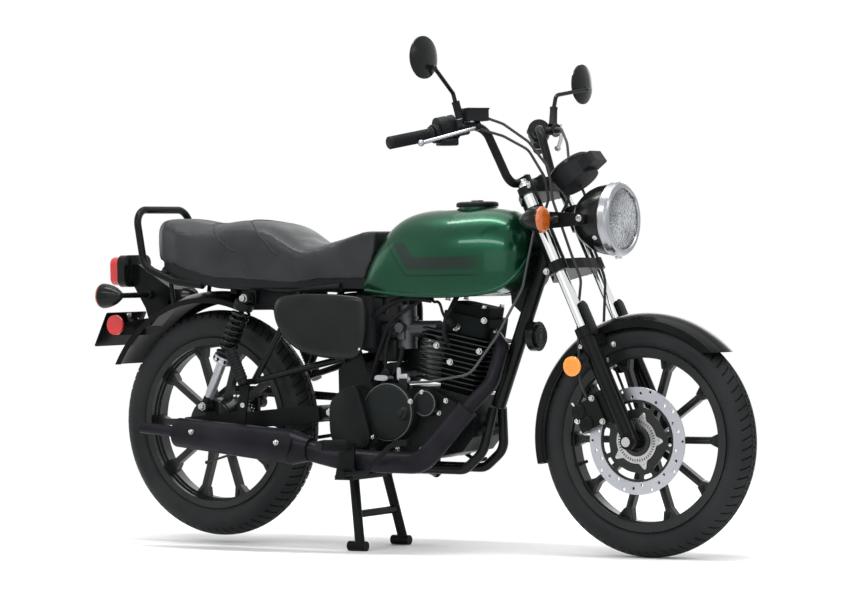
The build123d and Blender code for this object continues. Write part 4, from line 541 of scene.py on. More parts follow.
def plate(loops: Iterable[Sequence[Point]], thickness: float, round_edge: float = 0.0) -> Mesh:
    """Return a flat plate with holes.

    Args:
        loops: The outline and then each hole, as closed loops of points in the plane.
        thickness: How far it grows along Z.
        round_edge: Radius by which the outline's rims are rounded.

    Returns:
        The new mesh.
    """
    part = bmesh.new()
    outline = []
    for number, loop in enumerate(loops):
        ring = [part.verts.new((point[0], point[1], 0.0)) for point in loop]
        rim = [part.edges.new((a, b)) for a, b in zip(ring, ring[1:] + ring[:1])]
        if number == 0:
            outline = rim
    bmesh.ops.triangle_fill(part, use_beauty=True, use_dissolve=False, edges=part.edges[:])
    grown = bmesh.ops.extrude_face_region(part, geom=part.faces[:])["geom"]
    raised = [item for item in grown if isinstance(item, bmesh.types.BMVert)]
    bmesh.ops.translate(part, vec=(0, 0, thickness), verts=raised)
    if round_edge:
        bmesh.ops.recalc_face_normals(part, faces=part.faces)
        top = [e for e in part.edges if all(abs(v.co.z - thickness) < MERGE for v in e.verts)
               and any(abs(f.normal.z) < 0.5 for f in e.link_faces)]
        near = {tuple(round(c, 7) for c in v.co.xy) for e in outline if e.is_valid for v in e.verts}
        top = [e for e in top if all(tuple(round(c, 7) for c in v.co.xy) in near for v in e.verts)]
        ease_edges(part, top, round_edge, 3, True)
    return part


def ring_points(radius: float, count: int, centre: Point = (0.0, 0.0), start: float = 0.0) -> list[Point]:
    """Return points evenly round a circle.

    Args:
        radius: Radius of the circle.
        count: How many points.
        centre: Its centre in the plane.
        start: Angle of the first point.

    Returns:
        The points in order.
    """
    return [(centre[0] + radius * math.cos(start + TURN * k / count),
             centre[1] + radius * math.sin(start + TURN * k / count)) for k in range(count)]


def bar(radius: float, length: float, far_radius: float | None = None, steps: int = 24,
        ease: float = 0.0) -> Mesh:
    """Return a round bar from the origin along Z.

    Args:
        radius: Radius at the origin.
        length: Its length.
        far_radius: Radius at the far end, or None for the same.
        steps: Faces round it.
        ease: Width by which both ends are chamfered.

    Returns:
        The new mesh.
    """
    far = radius if far_radius is None else far_radius
    if ease:
        return lathe([(0, 0), (radius - ease, 0), (radius, ease), (far, length - ease), (far - ease, length),
                      (0, length)], steps)
    return lathe([(0, 0), (radius, 0), (far, length), (0, length)], steps)


def brick(size: Point, ease: float, segments: int = 2) -> Mesh:
    """Return a box centred on the origin with rounded edges.

    Args:
        size: Its three sides.
        ease: Radius of the rounding.
        segments: Faces across each rounding.

    Returns:
        The new mesh.
    """
    part = bmesh.new()
    bmesh.ops.create_cube(part, size=1.0, matrix=Matrix.Diagonal((*size, 1.0)))
    ease_edges(part, part.edges[:], ease, segments)
    return part


def coil(radius: float, wire: float, length: float, turns: float) -> Mesh:
    """Return a wire wound round Z.

    Args:
        radius: Radius to the middle of the wire.
        wire: Radius of the wire.
        length: Rise from its first to its last turn.
        turns: Number of turns.

    Returns:
        The new mesh.
    """
    part = bmesh.new()
    steps = round(turns * 28)
    start = place((radius, 0, 0), (0, 1, 0))
    section = bmesh.ops.create_circle(part, cap_ends=True, radius=wire, segments=10, matrix=start)["verts"]
    faces = list({f for v in section for f in v.link_faces})
    bmesh.ops.spin(part, geom=faces, cent=(0, 0, 0), axis=(0, 0, 1), dvec=(0, 0, length / steps),
                   angle=TURN * turns, steps=steps, use_merge=False)
    return part


def solid_of(curve: bpy.types.Curve) -> Mesh:
    """Return the solid that a curve or a text makes.

    Args:
        curve: The curve's data.

    Returns:
        The new mesh.
    """
    carrier = bpy.data.objects.new(curve.name, curve)
    mesh = bpy.data.meshes.new_from_object(carrier)
    part = bmesh.new()
    part.from_mesh(mesh)
    bpy.data.objects.remove(carrier)
    bpy.data.meshes.remove(mesh)
    return part


def hose(points: Sequence[Point], radius: float, smooth: int = 8) -> Mesh:
    """Return a round hose on one smooth line.

    Args:
        points: Control points of its line.
        radius: Radius of the hose.
        smooth: Steps between two points.

    Returns:
        The new mesh.
    """
    curve = bpy.data.curves.new("route", "CURVE")
    curve.dimensions = "3D"
    spline = curve.splines.new("NURBS")
    spline.points.add(len(points) - 1)
    for control, point in zip(spline.points, points):
        control.co = (*point, 1.0)
    spline.order_u = 3
    spline.use_endpoint_u = True
    curve.resolution_u = smooth
    curve.bevel_depth = radius
    curve.bevel_resolution = 3
    curve.use_fill_caps = True
    return solid_of(curve)


class Head(Enum):
    """Kinds of screw head."""

    HEX = "hex"
    SOCKET = "socket"
    CROSS = "cross"


def screw(head: Head, radius: float) -> Mesh:
    """Return a screw head standing on the origin.

    Args:
        head: Kind of head.
        radius: Radius of the head.

    Returns:
        The new mesh.
    """
    if head is Head.HEX:
        part = lathe([(0, 0), (radius * 1.25, 0), (radius * 1.25, radius * 0.2), (radius * 0.95, radius * 0.25)],
                     18)
        cap = bmesh.new()
        bmesh.ops.create_cone(cap, cap_ends=True, segments=6, radius1=radius, radius2=radius, depth=radius,
                              matrix=Matrix.Translation((0, 0, radius * 0.65)))
        ease_edges(cap, cap.edges[:], radius * 0.12)
        pour(cap, part)
        return part
    if head is Head.SOCKET:
        well = radius * 0.5
        return lathe([(radius, 0), (radius, radius * 0.9), (radius * 0.88, radius), (well, radius),
                      (well, radius * 0.35), (0, radius * 0.35)], 18)
    return lathe([(radius, 0), (radius, radius * 0.25), (radius * 0.7, radius * 0.5), (radius * 0.28, radius * 0.6),
                  (radius * 0.2, radius * 0.3), (0, radius * 0.3)], 20)


def pour(part: Mesh, whole: Mesh) -> None:
    """Add a mesh to another.

    Args:
        part: The mesh to add; it is freed.
        whole: The mesh that it joins.
    """
    mesh = bpy.data.meshes.new("part")
    part.to_mesh(mesh)
    part.free()
    whole.from_mesh(mesh)
    bpy.data.meshes.remove(mesh)


class Piece:
    """One piece under way: parts that are placed in the shared frame and then finished."""

    def __init__(self, name: str, finish: Finish, body: str, slot: str | None = None) -> None:
        """Start an empty piece.

        Args:
            name: Name of the finished object.
            finish: Its finish.
            body: The CAD body that it moves with.
            slot: The record's material slot, where it has one; not used.
        """
        self.name = name
        self.finish = finish
        self.body = body
        self.slot = slot
        self.mesh = bmesh.new()

    def put(self, part: Mesh, where: Matrix | None = None) -> None:
        """Add a part.

        Args:
            part: The part, made round the origin; it is freed.
            where: Its placement, or None if it is in place.
        """
        if where is not None:
            bmesh.ops.transform(part, matrix=where, verts=part.verts)
        bmesh.ops.remove_doubles(part, verts=part.verts, dist=MERGE)
        bmesh.ops.recalc_face_normals(part, faces=part.faces)
        pour(part, self.mesh)

    def screw(self, head: Head, radius: float, point: Point, axis: Point) -> None:
        """Add a screw.

        Args:
            head: Kind of head.
            radius: Radius of the head.
            point: Where it stands.
            axis: Direction that it faces.
        """
        self.put(screw(head, radius), place(point, axis))

    def screws(self, head: Head, radius: float, points: Iterable[Point], axis: Point) -> None:
        """Add the same screw at several places.

        Args:
            head: Kind of head.
            radius: Radius of each head.
            points: Where each head stands.
            axis: Direction that the heads face.
        """
        for point in points:
            self.screw(head, radius, point, axis)

    def done(self, crease: float = 32.0, replaces: Sequence[str] = ()) -> bpy.types.Object:
        """Finish the piece.

        Args:
            crease: Angle in degrees above which an edge stays sharp.
            replaces: CAD nodes that the piece stands for.

        Returns:
            The new object.
        """
        limit = math.radians(crease)
        for face in self.mesh.faces:
            face.smooth = True
        for edge in self.mesh.edges:
            edge.smooth = not (len(edge.link_faces) == 2 and edge.calc_face_angle(0.0) > limit)
        data = bpy.data.meshes.new(self.name)
        self.mesh.to_mesh(data)
        self.mesh.free()
        data.materials.append(self.finish.material())
        made = bpy.data.objects.new(self.name, data)
        bpy.context.scene.collection.objects.link(made)
        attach(made, self.body)
        if replaces:
            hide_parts(*replaces)
        LOG.info("%s: %d faces", self.name, len(data.polygons))
        return made


def dress(finish: Finish, *nodes: str) -> None:
    """Give CAD nodes a finish.

    Args:
        finish: The finish.
        *nodes: Names of the nodes.
    """
    for name in nodes:
        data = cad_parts[name].data
        data.materials.clear()
        data.materials.append(finish.material())


def middle(node: str) -> Vector:
    """Return the centre of a CAD node's box."""
    low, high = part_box(node)
    return (low + high) / 2


def arc(first: Point, second: Point, third: Point, count: int) -> list[Pair]:
    """Return points along the circle through three points in a plane.

    Args:
        first: Where it starts.
        second: A point on the way.
        third: Where it ends.
        count: Steps between first and third.

    Returns:
        The points, both ends included.
    """
    (ax, ay), (bx, by), (cx, cy) = first, second, third
    spread = 2 * (ax * (by - cy) + bx * (cy - ay) + cx * (ay - by))
    squares = [ax * ax + ay * ay, bx * bx + by * by, cx * cx + cy * cy]
    ox = (squares[0] * (by - cy) + squares[1] * (cy - ay) + squares[2] * (ay - by)) / spread
    oy = (squares[0] * (cx - bx) + squares[1] * (ax - cx) + squares[2] * (bx - ax)) / spread
    radius = math.hypot(ax - ox, ay - oy)
    angles = [math.atan2(y - oy, x - ox) for x, y in (first, second, third)]
    sweep = (angles[2] - angles[0]) % TURN
    if (angles[1] - angles[0]) % TURN > sweep:
        sweep -= TURN
    return [(ox + radius * math.cos(angles[0] + sweep * k / count),
             oy + radius * math.sin(angles[0] + sweep * k / count)) for k in range(count + 1)]


# ---------------------------------------------------------------- wheels and brakes
@dataclass
class Tyre:
    """A tyre whose crown has grooves cut round it and across its shoulders.

    Attributes:
        node: The CAD node that it stands for.
        body: The body that it moves with.
        rim_half: Half the rim's width.
        columns: Faces round the tyre.
        period: Faces from one cross groove to the next.
        groove: Depth of the grooves.
        slant: How far the cross grooves lag at the shoulder, in radians.
        flange_t: Thickness of the rim's flange.
        lip_radius: Radius of the rim's lip.
        bead_radius: Radius of the tyre's bead.
        strips: Edges of the crown's strips, as shares of its half width.
        edge_share: Half the crown's width, as a share of the tyre's.
        edge_drop: Fall of the crown's edge, as a share of the tyre's height.
    """

    node: str
    body: str
    rim_half: float
    columns: int = 360
    period: int = 5
    groove: float = 0.0045
    slant: float = 0.07
    flange_t: float = 0.004
    lip_radius: float = 0.232
    bead_radius: float = 0.2195
    strips: tuple[float, ...] = (0.05, 0.2, 0.3, 0.36, 0.52, 0.68, 0.82, 0.93, 1.0)
    edge_share: float = 0.86
    edge_drop: float = 0.27

    def section(self, half: float, radius: float) -> list[Pair]:
        """Return the tyre's closed section as radius and place across.

        Args:
            half: Half the tyre's width.
            radius: Its outer radius.

        Returns:
            The section's points in order.
        """
        tall = radius - self.lip_radius + 0.001
        edge_y, edge_r = self.edge_share * half, radius - self.edge_drop * tall
        drop = radius - edge_r
        crown = (edge_y ** 2 + drop ** 2) / (2 * drop)
        across = [-share * edge_y for share in reversed(self.strips)] + [share * edge_y for share in self.strips]
        tread = [(radius - crown + math.sqrt(crown ** 2 - y * y), y) for y in across]
        bead_y = self.rim_half - self.flange_t
        wall = arc((edge_y, edge_r), (half, radius - 0.52 * tall), (bead_y, self.lip_radius), 14)[1:]
        ribbed = [(y + (0.0007 if step in (4, 9, 11) else 0.0), r) for step, (y, r) in enumerate(wall)]
        left = [(r, y) for y, r in ribbed]
        right = [(r, -y) for y, r in reversed(ribbed)]
        return tread + left + [(self.bead_radius, bead_y), (self.bead_radius, -bead_y)] + right

    def is_groove(self, centre: Vector, edge_y: float, edge_r: float) -> bool:
        """Tell whether a face of the crown is part of a groove.

        Args:
            centre: The face's centre, with the axle along Z.
            edge_y: Half width of the crown.
            edge_r: Radius at the crown's edge.

        Returns:
            True if the face is to be sunk.
        """
        share = abs(centre.z) / edge_y
        if math.hypot(centre.x, centre.y) < edge_r - 0.001 or share > 1.0:
            return False
        column = int((math.atan2(centre.y, centre.x) % TURN) / TURN * self.columns)
        column += self.period // 2 if centre.z > 0 else 0
        if share < 0.05 or 0.3 < share < 0.36:
            return True
        if share > 0.36:
            return column % self.period == 0
        return share < 0.2 and column % self.period == self.period // 2

    def build(self) -> None:
        """Build the tyre in place of its CAD node."""
        low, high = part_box(self.node)
        half, radius = (high.y - low.y) / 2, (high.z - low.z) / 2
        part = lathe(self.section(half, radius), self.columns, closed=True)
        bmesh.ops.recalc_face_normals(part, faces=part.faces)
        edge_y, edge_r = self.edge_share * half, radius - self.edge_drop * (radius - self.lip_radius)
        grooves = [f for f in part.faces if self.is_groove(f.calc_center_median(), edge_y, edge_r)]
        bmesh.ops.inset_region(part, faces=grooves, thickness=0.0007, depth=-self.groove, use_boundary=True,
                               use_even_offset=True)
        for vert in part.verts:
            lag = self.slant * min(abs(vert.co.z) / edge_y, 1.0)
            vert.co.rotate(Matrix.Rotation(lag, 3, "Z"))
        piece = Piece(f"{self.node}_treaded", TYRE_RUBBER, self.body, "tyre_rubber")
        piece.put(part, place(middle(self.node), (0, 1, 0)))
        piece.done(30.0, [self.node])


@dataclass
class Rim:
    """A cast rim's small parts: its valve and the raised rings and ledges on its faces.

    Attributes:
        node: The CAD node of the rim.
        body: The body that it moves with.
        bore: Inner radius of the rim's barrel.
        valve_angle: Where the valve stands, in degrees from the front.
        spokes: Number of spokes.
        ledge: Reach and place across of both ends of a ledge beside a spoke.
        ledge_height: Height of the ledges over the wheel's middle plane.
        rings: Inner and outer radius, and lower and upper face, of each ring in the barrel.
    """

    node: str
    body: str
    bore: float = 0.213
    valve_angle: float = 198.0
    spokes: int = 10
    ledge: tuple[Pair, ...] = ((0.184, 0.0078), (0.2125, 0.0205))
    ledge_height: float = 0.0098
    rings: tuple[tuple[float, float, float, float], ...] = ((0.2055, 0.2135, 0.0, 0.0125),
                                                             (0.2095, 0.2135, 0.0, 0.0235))

    def build(self) -> None:
        """Dress the rim and add its valve."""
        dress(CAST_BLACK, self.node)
        axle = middle(self.node)
        turn = math.radians(self.valve_angle)
        out = Vector((math.cos(turn), 0, math.sin(turn)))
        steps = Piece(f"{self.node}_steps", CAST_BLACK, self.body, "black_paint")
        for side in SIDES:
            where = place(axle, (0, side, 0))
            for inner, outer, low, high in self.rings:
                steps.put(collar(inner, outer, low, high, 120), where)
            for index in range(self.spokes):
                turned = where @ Matrix.Rotation(TURN * index / self.spokes, 4, "Z")
                for edge in SIDES:
                    foot, tip = (Vector((reach, edge * across, self.ledge_height)) for reach, across in self.ledge)
                    steps.put(brick(((tip - foot).length, 0.003, 0.0034), 0.0008),
                              turned @ place((foot + tip) / 2, (0, 0, 1), tip - foot))
                steps.put(brick((0.104, 0.0034, 0.003), 0.0009),
                          turned @ Matrix.Translation((0.128, 0, self.ledge_height)))
        steps.done()
        valve = Piece(f"{self.node}_valve", RUBBER, self.body, "rubber")
        valve.put(bar(0.0055, 0.016, 0.004, ease=0.0006), place(axle + out * self.bore, -out))
        valve.put(bar(0.0042, 0.013, ease=0.0008), place(axle + out * (self.bore - 0.016), -out))
        valve.done()


@dataclass
class FrontBrake:
    """The drilled disc, its carrier, the toothed speed ring and the disc's bolts."""

    outer: float = 0.1346
    inner: float = 0.103
    hole: float = 0.0041
    hole_count: int = 30
    hole_rows: tuple[float, ...] = (0.1275, 0.119, 0.1105)
    window_count: int = 5
    window_reach: Pair = (0.0795, 0.0965)
    window_half: float = 21.0
    small_half: float = 8.0
    carrier_bore: float = 0.027
    tone_bore: float = 0.0385
    tone_body: float = 0.0565
    lobe: float = 0.018
    lobe_count: int = 5
    slot_count: int = 45
    slot_reach: Pair = (0.0455, 0.0525)
    slot_half: float = 0.0013
    bolt_ring: float = 0.067

    def window(self, middle_angle: float, half: float, reach: Pair) -> list[Point]:
        """Return a window's outline between two radii.

        Args:
            middle_angle: Angle of its middle, in degrees.
            half: Half its angle, in degrees.
            reach: Inner and outer radius.

        Returns:
            The outline's points in order.
        """
        loop = []
        for radius, order in ((reach[0], 1), (reach[1], -1)):
            for step in range(9):
                share = order * (step / 4 - 1)
                ease = 0.0025 * max(0.0, abs(share) - 0.75) / 0.25
                angle = math.radians(middle_angle + half * share)
                ring = radius + (ease if order > 0 else -ease)
                loop.append((ring * math.cos(angle), ring * math.sin(angle)))
        return loop

    def tone_outline(self) -> list[Point]:
        """Return the outline of the speed ring with its bolt lobes."""
        loop = []
        for step in range(180):
            angle = TURN * step / 180
            radius = self.tone_body + self.lobe * max(0.0, math.cos(self.lobe_count * angle)) ** 4
            loop.append((radius * math.cos(angle), radius * math.sin(angle)))
        return loop

    def slot(self, index: int) -> list[Point]:
        """Return one slot of the speed ring."""
        turn = Matrix.Rotation(TURN * index / self.slot_count, 2)
        low, high = self.slot_reach
        corners = ((low, -self.slot_half), (high, -self.slot_half), (high, self.slot_half), (low, self.slot_half))
        return [turn @ Vector(corner) for corner in corners]

    def build(self) -> None:
        """Build the disc assembly."""
        axle = middle("front_tyre")
        outside, inside = (corner.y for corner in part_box("brake_disc"))
        where = flat_on_side(axle.x, inside, axle.z, -1)
        holes = []
        for index in range(self.hole_count):
            angle = TURN * index / self.hole_count
            row = self.hole_rows[index % len(self.hole_rows)]
            holes.append(ring_points(self.hole, 10, (row * math.cos(angle), row * math.sin(angle))))
        rotor = Piece("front_disc_rotor", DISC_STEEL, FRONT_WHEEL, "bare_steel")
        rotor.put(plate([ring_points(self.outer, 140), ring_points(self.inner, 100), *holes], inside - outside),
                  where)
        rotor.done(replaces=["brake_disc"])
        windows = []
        for index in range(self.window_count):
            start = 360 / self.window_count * (index + 0.5)
            windows.append(self.window(start, self.window_half, self.window_reach))
            windows.append(self.window(start + 180 / self.window_count, self.small_half, (0.0865, 0.0975)))
        carrier = Piece("front_disc_carrier", CAST_BLACK, FRONT_WHEEL, "satin_black")
        carrier.put(plate([ring_points(self.inner - 0.0002, 100), ring_points(self.carrier_bore, 48), *windows],
                          inside - outside - 0.0004), where)
        carrier.put(lathe([(0.027, 0), (0.0372, 0), (0.0372, 0.0055), (0.035, 0.0065), (0.027, 0.0065)], 48, True),
                    flat_on_side(axle.x, outside, axle.z, -1))
        carrier.done()
        tone = Piece("front_speed_ring", ZINC, FRONT_WHEEL, "aluminium")
        slots = [self.slot(index) for index in range(self.slot_count)]
        tone.put(plate([self.tone_outline(), ring_points(self.tone_bore, 60), *slots], 0.0022),
                 flat_on_side(axle.x, outside, axle.z, -1))
        tone.done()
        bolts = Piece("front_disc_bolts", ZINC, FRONT_WHEEL, "bare_steel")
        for x, z in ring_points(self.bolt_ring, self.lobe_count):
            bolts.put(lathe([(0, 0.0008), (0.0022, 0.0008), (0.0026, 0.0017), (0.0048, 0.0013), (0.0056, 0)], 20),
                      place((axle.x + x, outside - 0.0022, axle.z + z), (0, -1, 0)))
        bolts.done()


@dataclass
class Caliper:
    """Pots, pins and bolts on the front caliper, in the fork's frame."""

    node: str = "brake_caliper"
    pots: tuple[Pair, ...] = ((-0.104, 0.127), (-0.096, 0.091))
    pot_radius: float = 0.019
    bolts: tuple[Pair, ...] = ((-0.056, 0.143), (-0.052, 0.078), (-0.118, 0.108))

    def build(self, fork: "Fork") -> None:
        """Add the fittings.

        Args:
            fork: The fork, for its frame.
        """
        dress(SATIN_BLACK, self.node)
        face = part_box(self.node)[0].y
        pots = Piece("caliper_pots", SATIN_BLACK, STEERING, "satin_black")
        for x, z in self.pots:
            foot = fork.point(x, face + 0.001, z)
            pots.put(lathe([(0, 0), (self.pot_radius, 0), (self.pot_radius, 0.004),
                            (self.pot_radius - 0.003, 0.007),
                            (self.pot_radius - 0.007, 0.0075), (self.pot_radius - 0.009, 0.006), (0, 0.006)], 40),
                     place(foot, (0, -1, 0)))
        pots.put(brick((0.05, 0.02, 0.007), 0.003), place(fork.point(-0.098, face + 0.001, 0.11), (0, -1, 0),
                                                          fork.turn(0.1, 0, 1)))
        pots.done()
        bolts = Piece("caliper_bolts", ZINC, STEERING, "bare_steel")
        for x, z in self.bolts:
            bolts.screw(Head.HEX, 0.0062, fork.point(x, face, z), (0, -1, 0))
        bolts.put(bar(0.0035, 0.016, ease=0.0006),
                  place(fork.point(-0.112, face + 0.008, 0.142), fork.turn(-0.4, 0, 1)))
        bolts.done()


@dataclass
class FinalDrive:
    """The rear sprocket and the chain, link by link."""

    sprocket_radius: float = 0.0722
    tooth_depth: float = 0.0056
    teeth: int = 38
    bore: float = 0.02
    hub_radius: float = 0.042
    plate_t: float = 0.005
    wheel_run: float = 0.0773
    drive_run: float = 0.0323
    drive: Pair = (-0.118, 0.350)
    pitch: float = 0.0127
    link_height: float = 0.0096
    roller: float = 0.0042

    def outline(self) -> list[Point]:
        """Return the toothed outline of the sprocket."""
        loop = []
        for step in range(self.teeth * 4):
            radius = self.sprocket_radius - (0.0 if step % 4 in (0, 1) else self.tooth_depth)
            angle = TURN * (step + (0.3 if step % 4 == 0 else -0.3 if step % 4 == 1 else 0.0)) / (self.teeth * 4)
            loop.append((radius * math.cos(angle), radius * math.sin(angle)))
        return loop

    def track(self) -> tuple[Callable[[float], Vector], float]:
        """Return the chain's line in side view.

        Returns:
            A function from distance along the chain to a point in X and Z, and the chain's length.
        """
        axle = middle("rear_tyre")
        big, small = Vector((axle.x, axle.z)), Vector(self.drive)
        run = small - big
        lean = math.atan2(run.y, run.x)
        opening = math.acos((self.wheel_run - self.drive_run) / run.length)
        straight = run.length * math.sin(opening)
        lengths = [straight, 2 * opening * self.drive_run, straight, (TURN - 2 * opening) * self.wheel_run]

        def spot(centre: Vector, radius: float, angle: float) -> Vector:
            """Return a point round a sprocket."""
            return centre + radius * Vector((math.cos(angle), math.sin(angle)))

        def at(distance: float) -> Vector:
            """Return the point at a distance along the chain."""
            rest = distance % sum(lengths)
            for leg, length in enumerate(lengths):
                if rest <= length:
                    break
                rest -= length
            upper, lower = lean + opening, lean - opening
            if leg == 0:
                return spot(big, self.wheel_run, upper).lerp(spot(small, self.drive_run, upper), rest / straight)
            if leg == 1:
                return spot(small, self.drive_run, upper - rest / self.drive_run)
            if leg == 2:
                return spot(small, self.drive_run, lower).lerp(spot(big, self.wheel_run, lower), rest / straight)
            return spot(big, self.wheel_run, lower - rest / self.wheel_run)

        return at, sum(lengths)

    def build(self) -> None:
        """Build the sprocket and the chain."""
        axle = middle("rear_tyre")
        line = middle("chain").y
        sprocket = Piece("rear_sprocket_toothed", ZINC, REAR_WHEEL, "bare_steel")
        holes = [ring_points(0.0085, 16, point) for point in ring_points(0.054, 6)]
        where = flat_on_side(axle.x, line - self.plate_t / 2, axle.z, 1)
        sprocket.put(plate([self.outline(), ring_points(self.bore, 40), *holes], self.plate_t), where)
        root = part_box("rear_rim")[1].y
        sprocket.put(collar(self.bore, self.hub_radius, 0, line - self.plate_t / 2 - root, 48),
                     flat_on_side(axle.x, root, axle.z, 1))
        sprocket.screws(Head.HEX, 0.007, [(axle.x + x, line + self.plate_t / 2, axle.z + z)
                                          for x, z in ring_points(0.033, 4, start=0.6)], (0, 1, 0))
        sprocket.done(replaces=["rear_sprocket"])
        at, length = self.track()
        count = 2 * round(length / self.pitch / 2)
        links = Piece("drive_chain", CHAIN_STEEL, CHASSIS, "bare_steel")
        for index in range(count):
            first, second = at(length * index / count), at(length * (index + 1) / count)
            run, centre = second - first, (first + second) / 2
            spread = 0.0032 if index % 2 else 0.0051
            for side in SIDES:
                where = place((centre.x, line + side * spread, centre.y), (0, 1, 0), (run.x, 0, run.y))
                links.put(brick((run.length + 0.0085, self.link_height, 0.0014), 0.0006, 1), where)
            links.put(bar(self.roller, 0.013, steps=10), place((first.x, line - 0.0065, first.y), (0, 1, 0)))
        links.done(replaces=["chain"])


# ---------------------------------------------------------------- steering group
@dataclass
class Fork:
    """The fork's fittings, and the frame that its places are given in.

    Attributes:
        rake: Lean of the legs from the vertical, in degrees.
        leg: Distance from the middle to a leg.
    """

    rake: float = 24.5
    leg: float = 0.093
    stem_x: float = -0.05
    lower_clamp: float = 0.481
    leg_top: float = 0.708
    reflector: Spot = (-0.056, 0.118, 0.232)
    reflector_radius: float = 0.025

    def turn(self, x: float, y: float, z: float) -> Vector:
        """Return a direction given in the fork's frame."""
        lean = math.radians(self.rake)
        return Vector((x * math.cos(lean) - z * math.sin(lean), y, x * math.sin(lean) + z * math.cos(lean)))

    def point(self, x: float, y: float, z: float) -> Vector:
        """Return a point given in the fork's frame, whose origin is the front axle."""
        axle = middle("front_tyre")
        return Vector((axle.x, 0, axle.z)) + self.turn(x, y, z)

    def build(self) -> None:
        """Dress the fork and add its caps, bolts, guards and reflectors."""
        dress(CHROME, "fork_stanchions")
        dress(BLACK_PAINT, "fork_sliders")
        dress(SATIN_BLACK, "fork_clamps", "handlebar")
        dress(ZINC, "front_axle")
        up, ahead = self.turn(0, 0, 1), self.turn(1, 0, 0)
        caps = Piece("fork_caps", POLISHED, STEERING, "aluminium")
        bolts = Piece("fork_bolts", ZINC, STEERING, "bare_steel")
        lugs = Piece("fork_lugs", SATIN_BLACK, STEERING, "satin_black")
        for side in SIDES:
            caps.put(lathe([(0, 0), (0.0148, 0), (0.0148, 0.004), (0.0125, 0.0065), (0, 0.0065)], 36),
                     place(self.point(0, side * self.leg, self.leg_top), up))
            caps.screw(Head.HEX, 0.0085, self.point(0, side * self.leg, self.leg_top + 0.0065), up)
            lugs.put(brick((0.026, 0.03, 0.022), 0.004),
                     place(self.point(-0.027, side * (self.leg - 0.002), self.lower_clamp), up, ahead))
            bolts.screw(Head.HEX, 0.0068, self.point(-0.03, side * (self.leg + 0.013), self.lower_clamp),
                        (0, side, 0))
            bolts.screw(Head.SOCKET, 0.005, self.point(0.023, side * 0.115, 0.694), (0, side, 0))
            bolts.screw(Head.SOCKET, 0.0055, self.point(-0.024, side * (self.leg + 0.0075), 0.27), (0, side, 0))
            for x in (-0.038, -0.016):
                bolts.screw(Head.SOCKET, 0.0045, self.point(x, side * 0.036, 0.7435), up)
        bolts.screw(Head.HEX, 0.016, self.point(self.stem_x, 0, 0.709), up)
        caps.done()
        bolts.done()
        self.guards(lugs)
        lugs.done()

    def guards(self, lugs: Piece) -> None:
        """Add the stanchion guards and the round reflectors on their brackets.

        Args:
            lugs: The piece that the brackets belong to.
        """
        glass = Piece("fork_reflectors", AMBER_REFLECTOR, STEERING)
        x, y, z = self.reflector
        for side in SIDES:
            centre = self.point(x, side * y, z)
            lugs.put(bar(self.reflector_radius + 0.0015, 0.005, ease=0.001), place(centre, (0, side, 0)))
            lugs.put(brick((0.05, 0.012, 0.0035), 0.0015),
                     place(self.point(x + 0.022, side * (y - 0.001), z), (0, side, 0),
                                                                 self.turn(1, 0, 0)))
            lugs.put(bar(0.006, 0.014, ease=0.001),
                     place(self.point(x + 0.042, side * (y - 0.014), z), (0, side, 0)))
            glass.put(lathe([(0, 0), (self.reflector_radius, 0), (self.reflector_radius, 0.003),
                             (self.reflector_radius - 0.003, 0.0045), (0, 0.005)], 48),
                      place(centre + Vector((0, side * 0.005, 0)), (0, side, 0)))
            shield = ring_points(0.017, 24)
            oval = [(px, py + (0.03 if py > 0 else -0.03)) for px, py in shield]
            lugs.put(plate([oval], 0.0025, 0.001),
                     place(self.point(0.0242, side * self.leg, 0.328), self.turn(1, 0, 0),
                                                         (0, 1, 0)))
        glass.done()


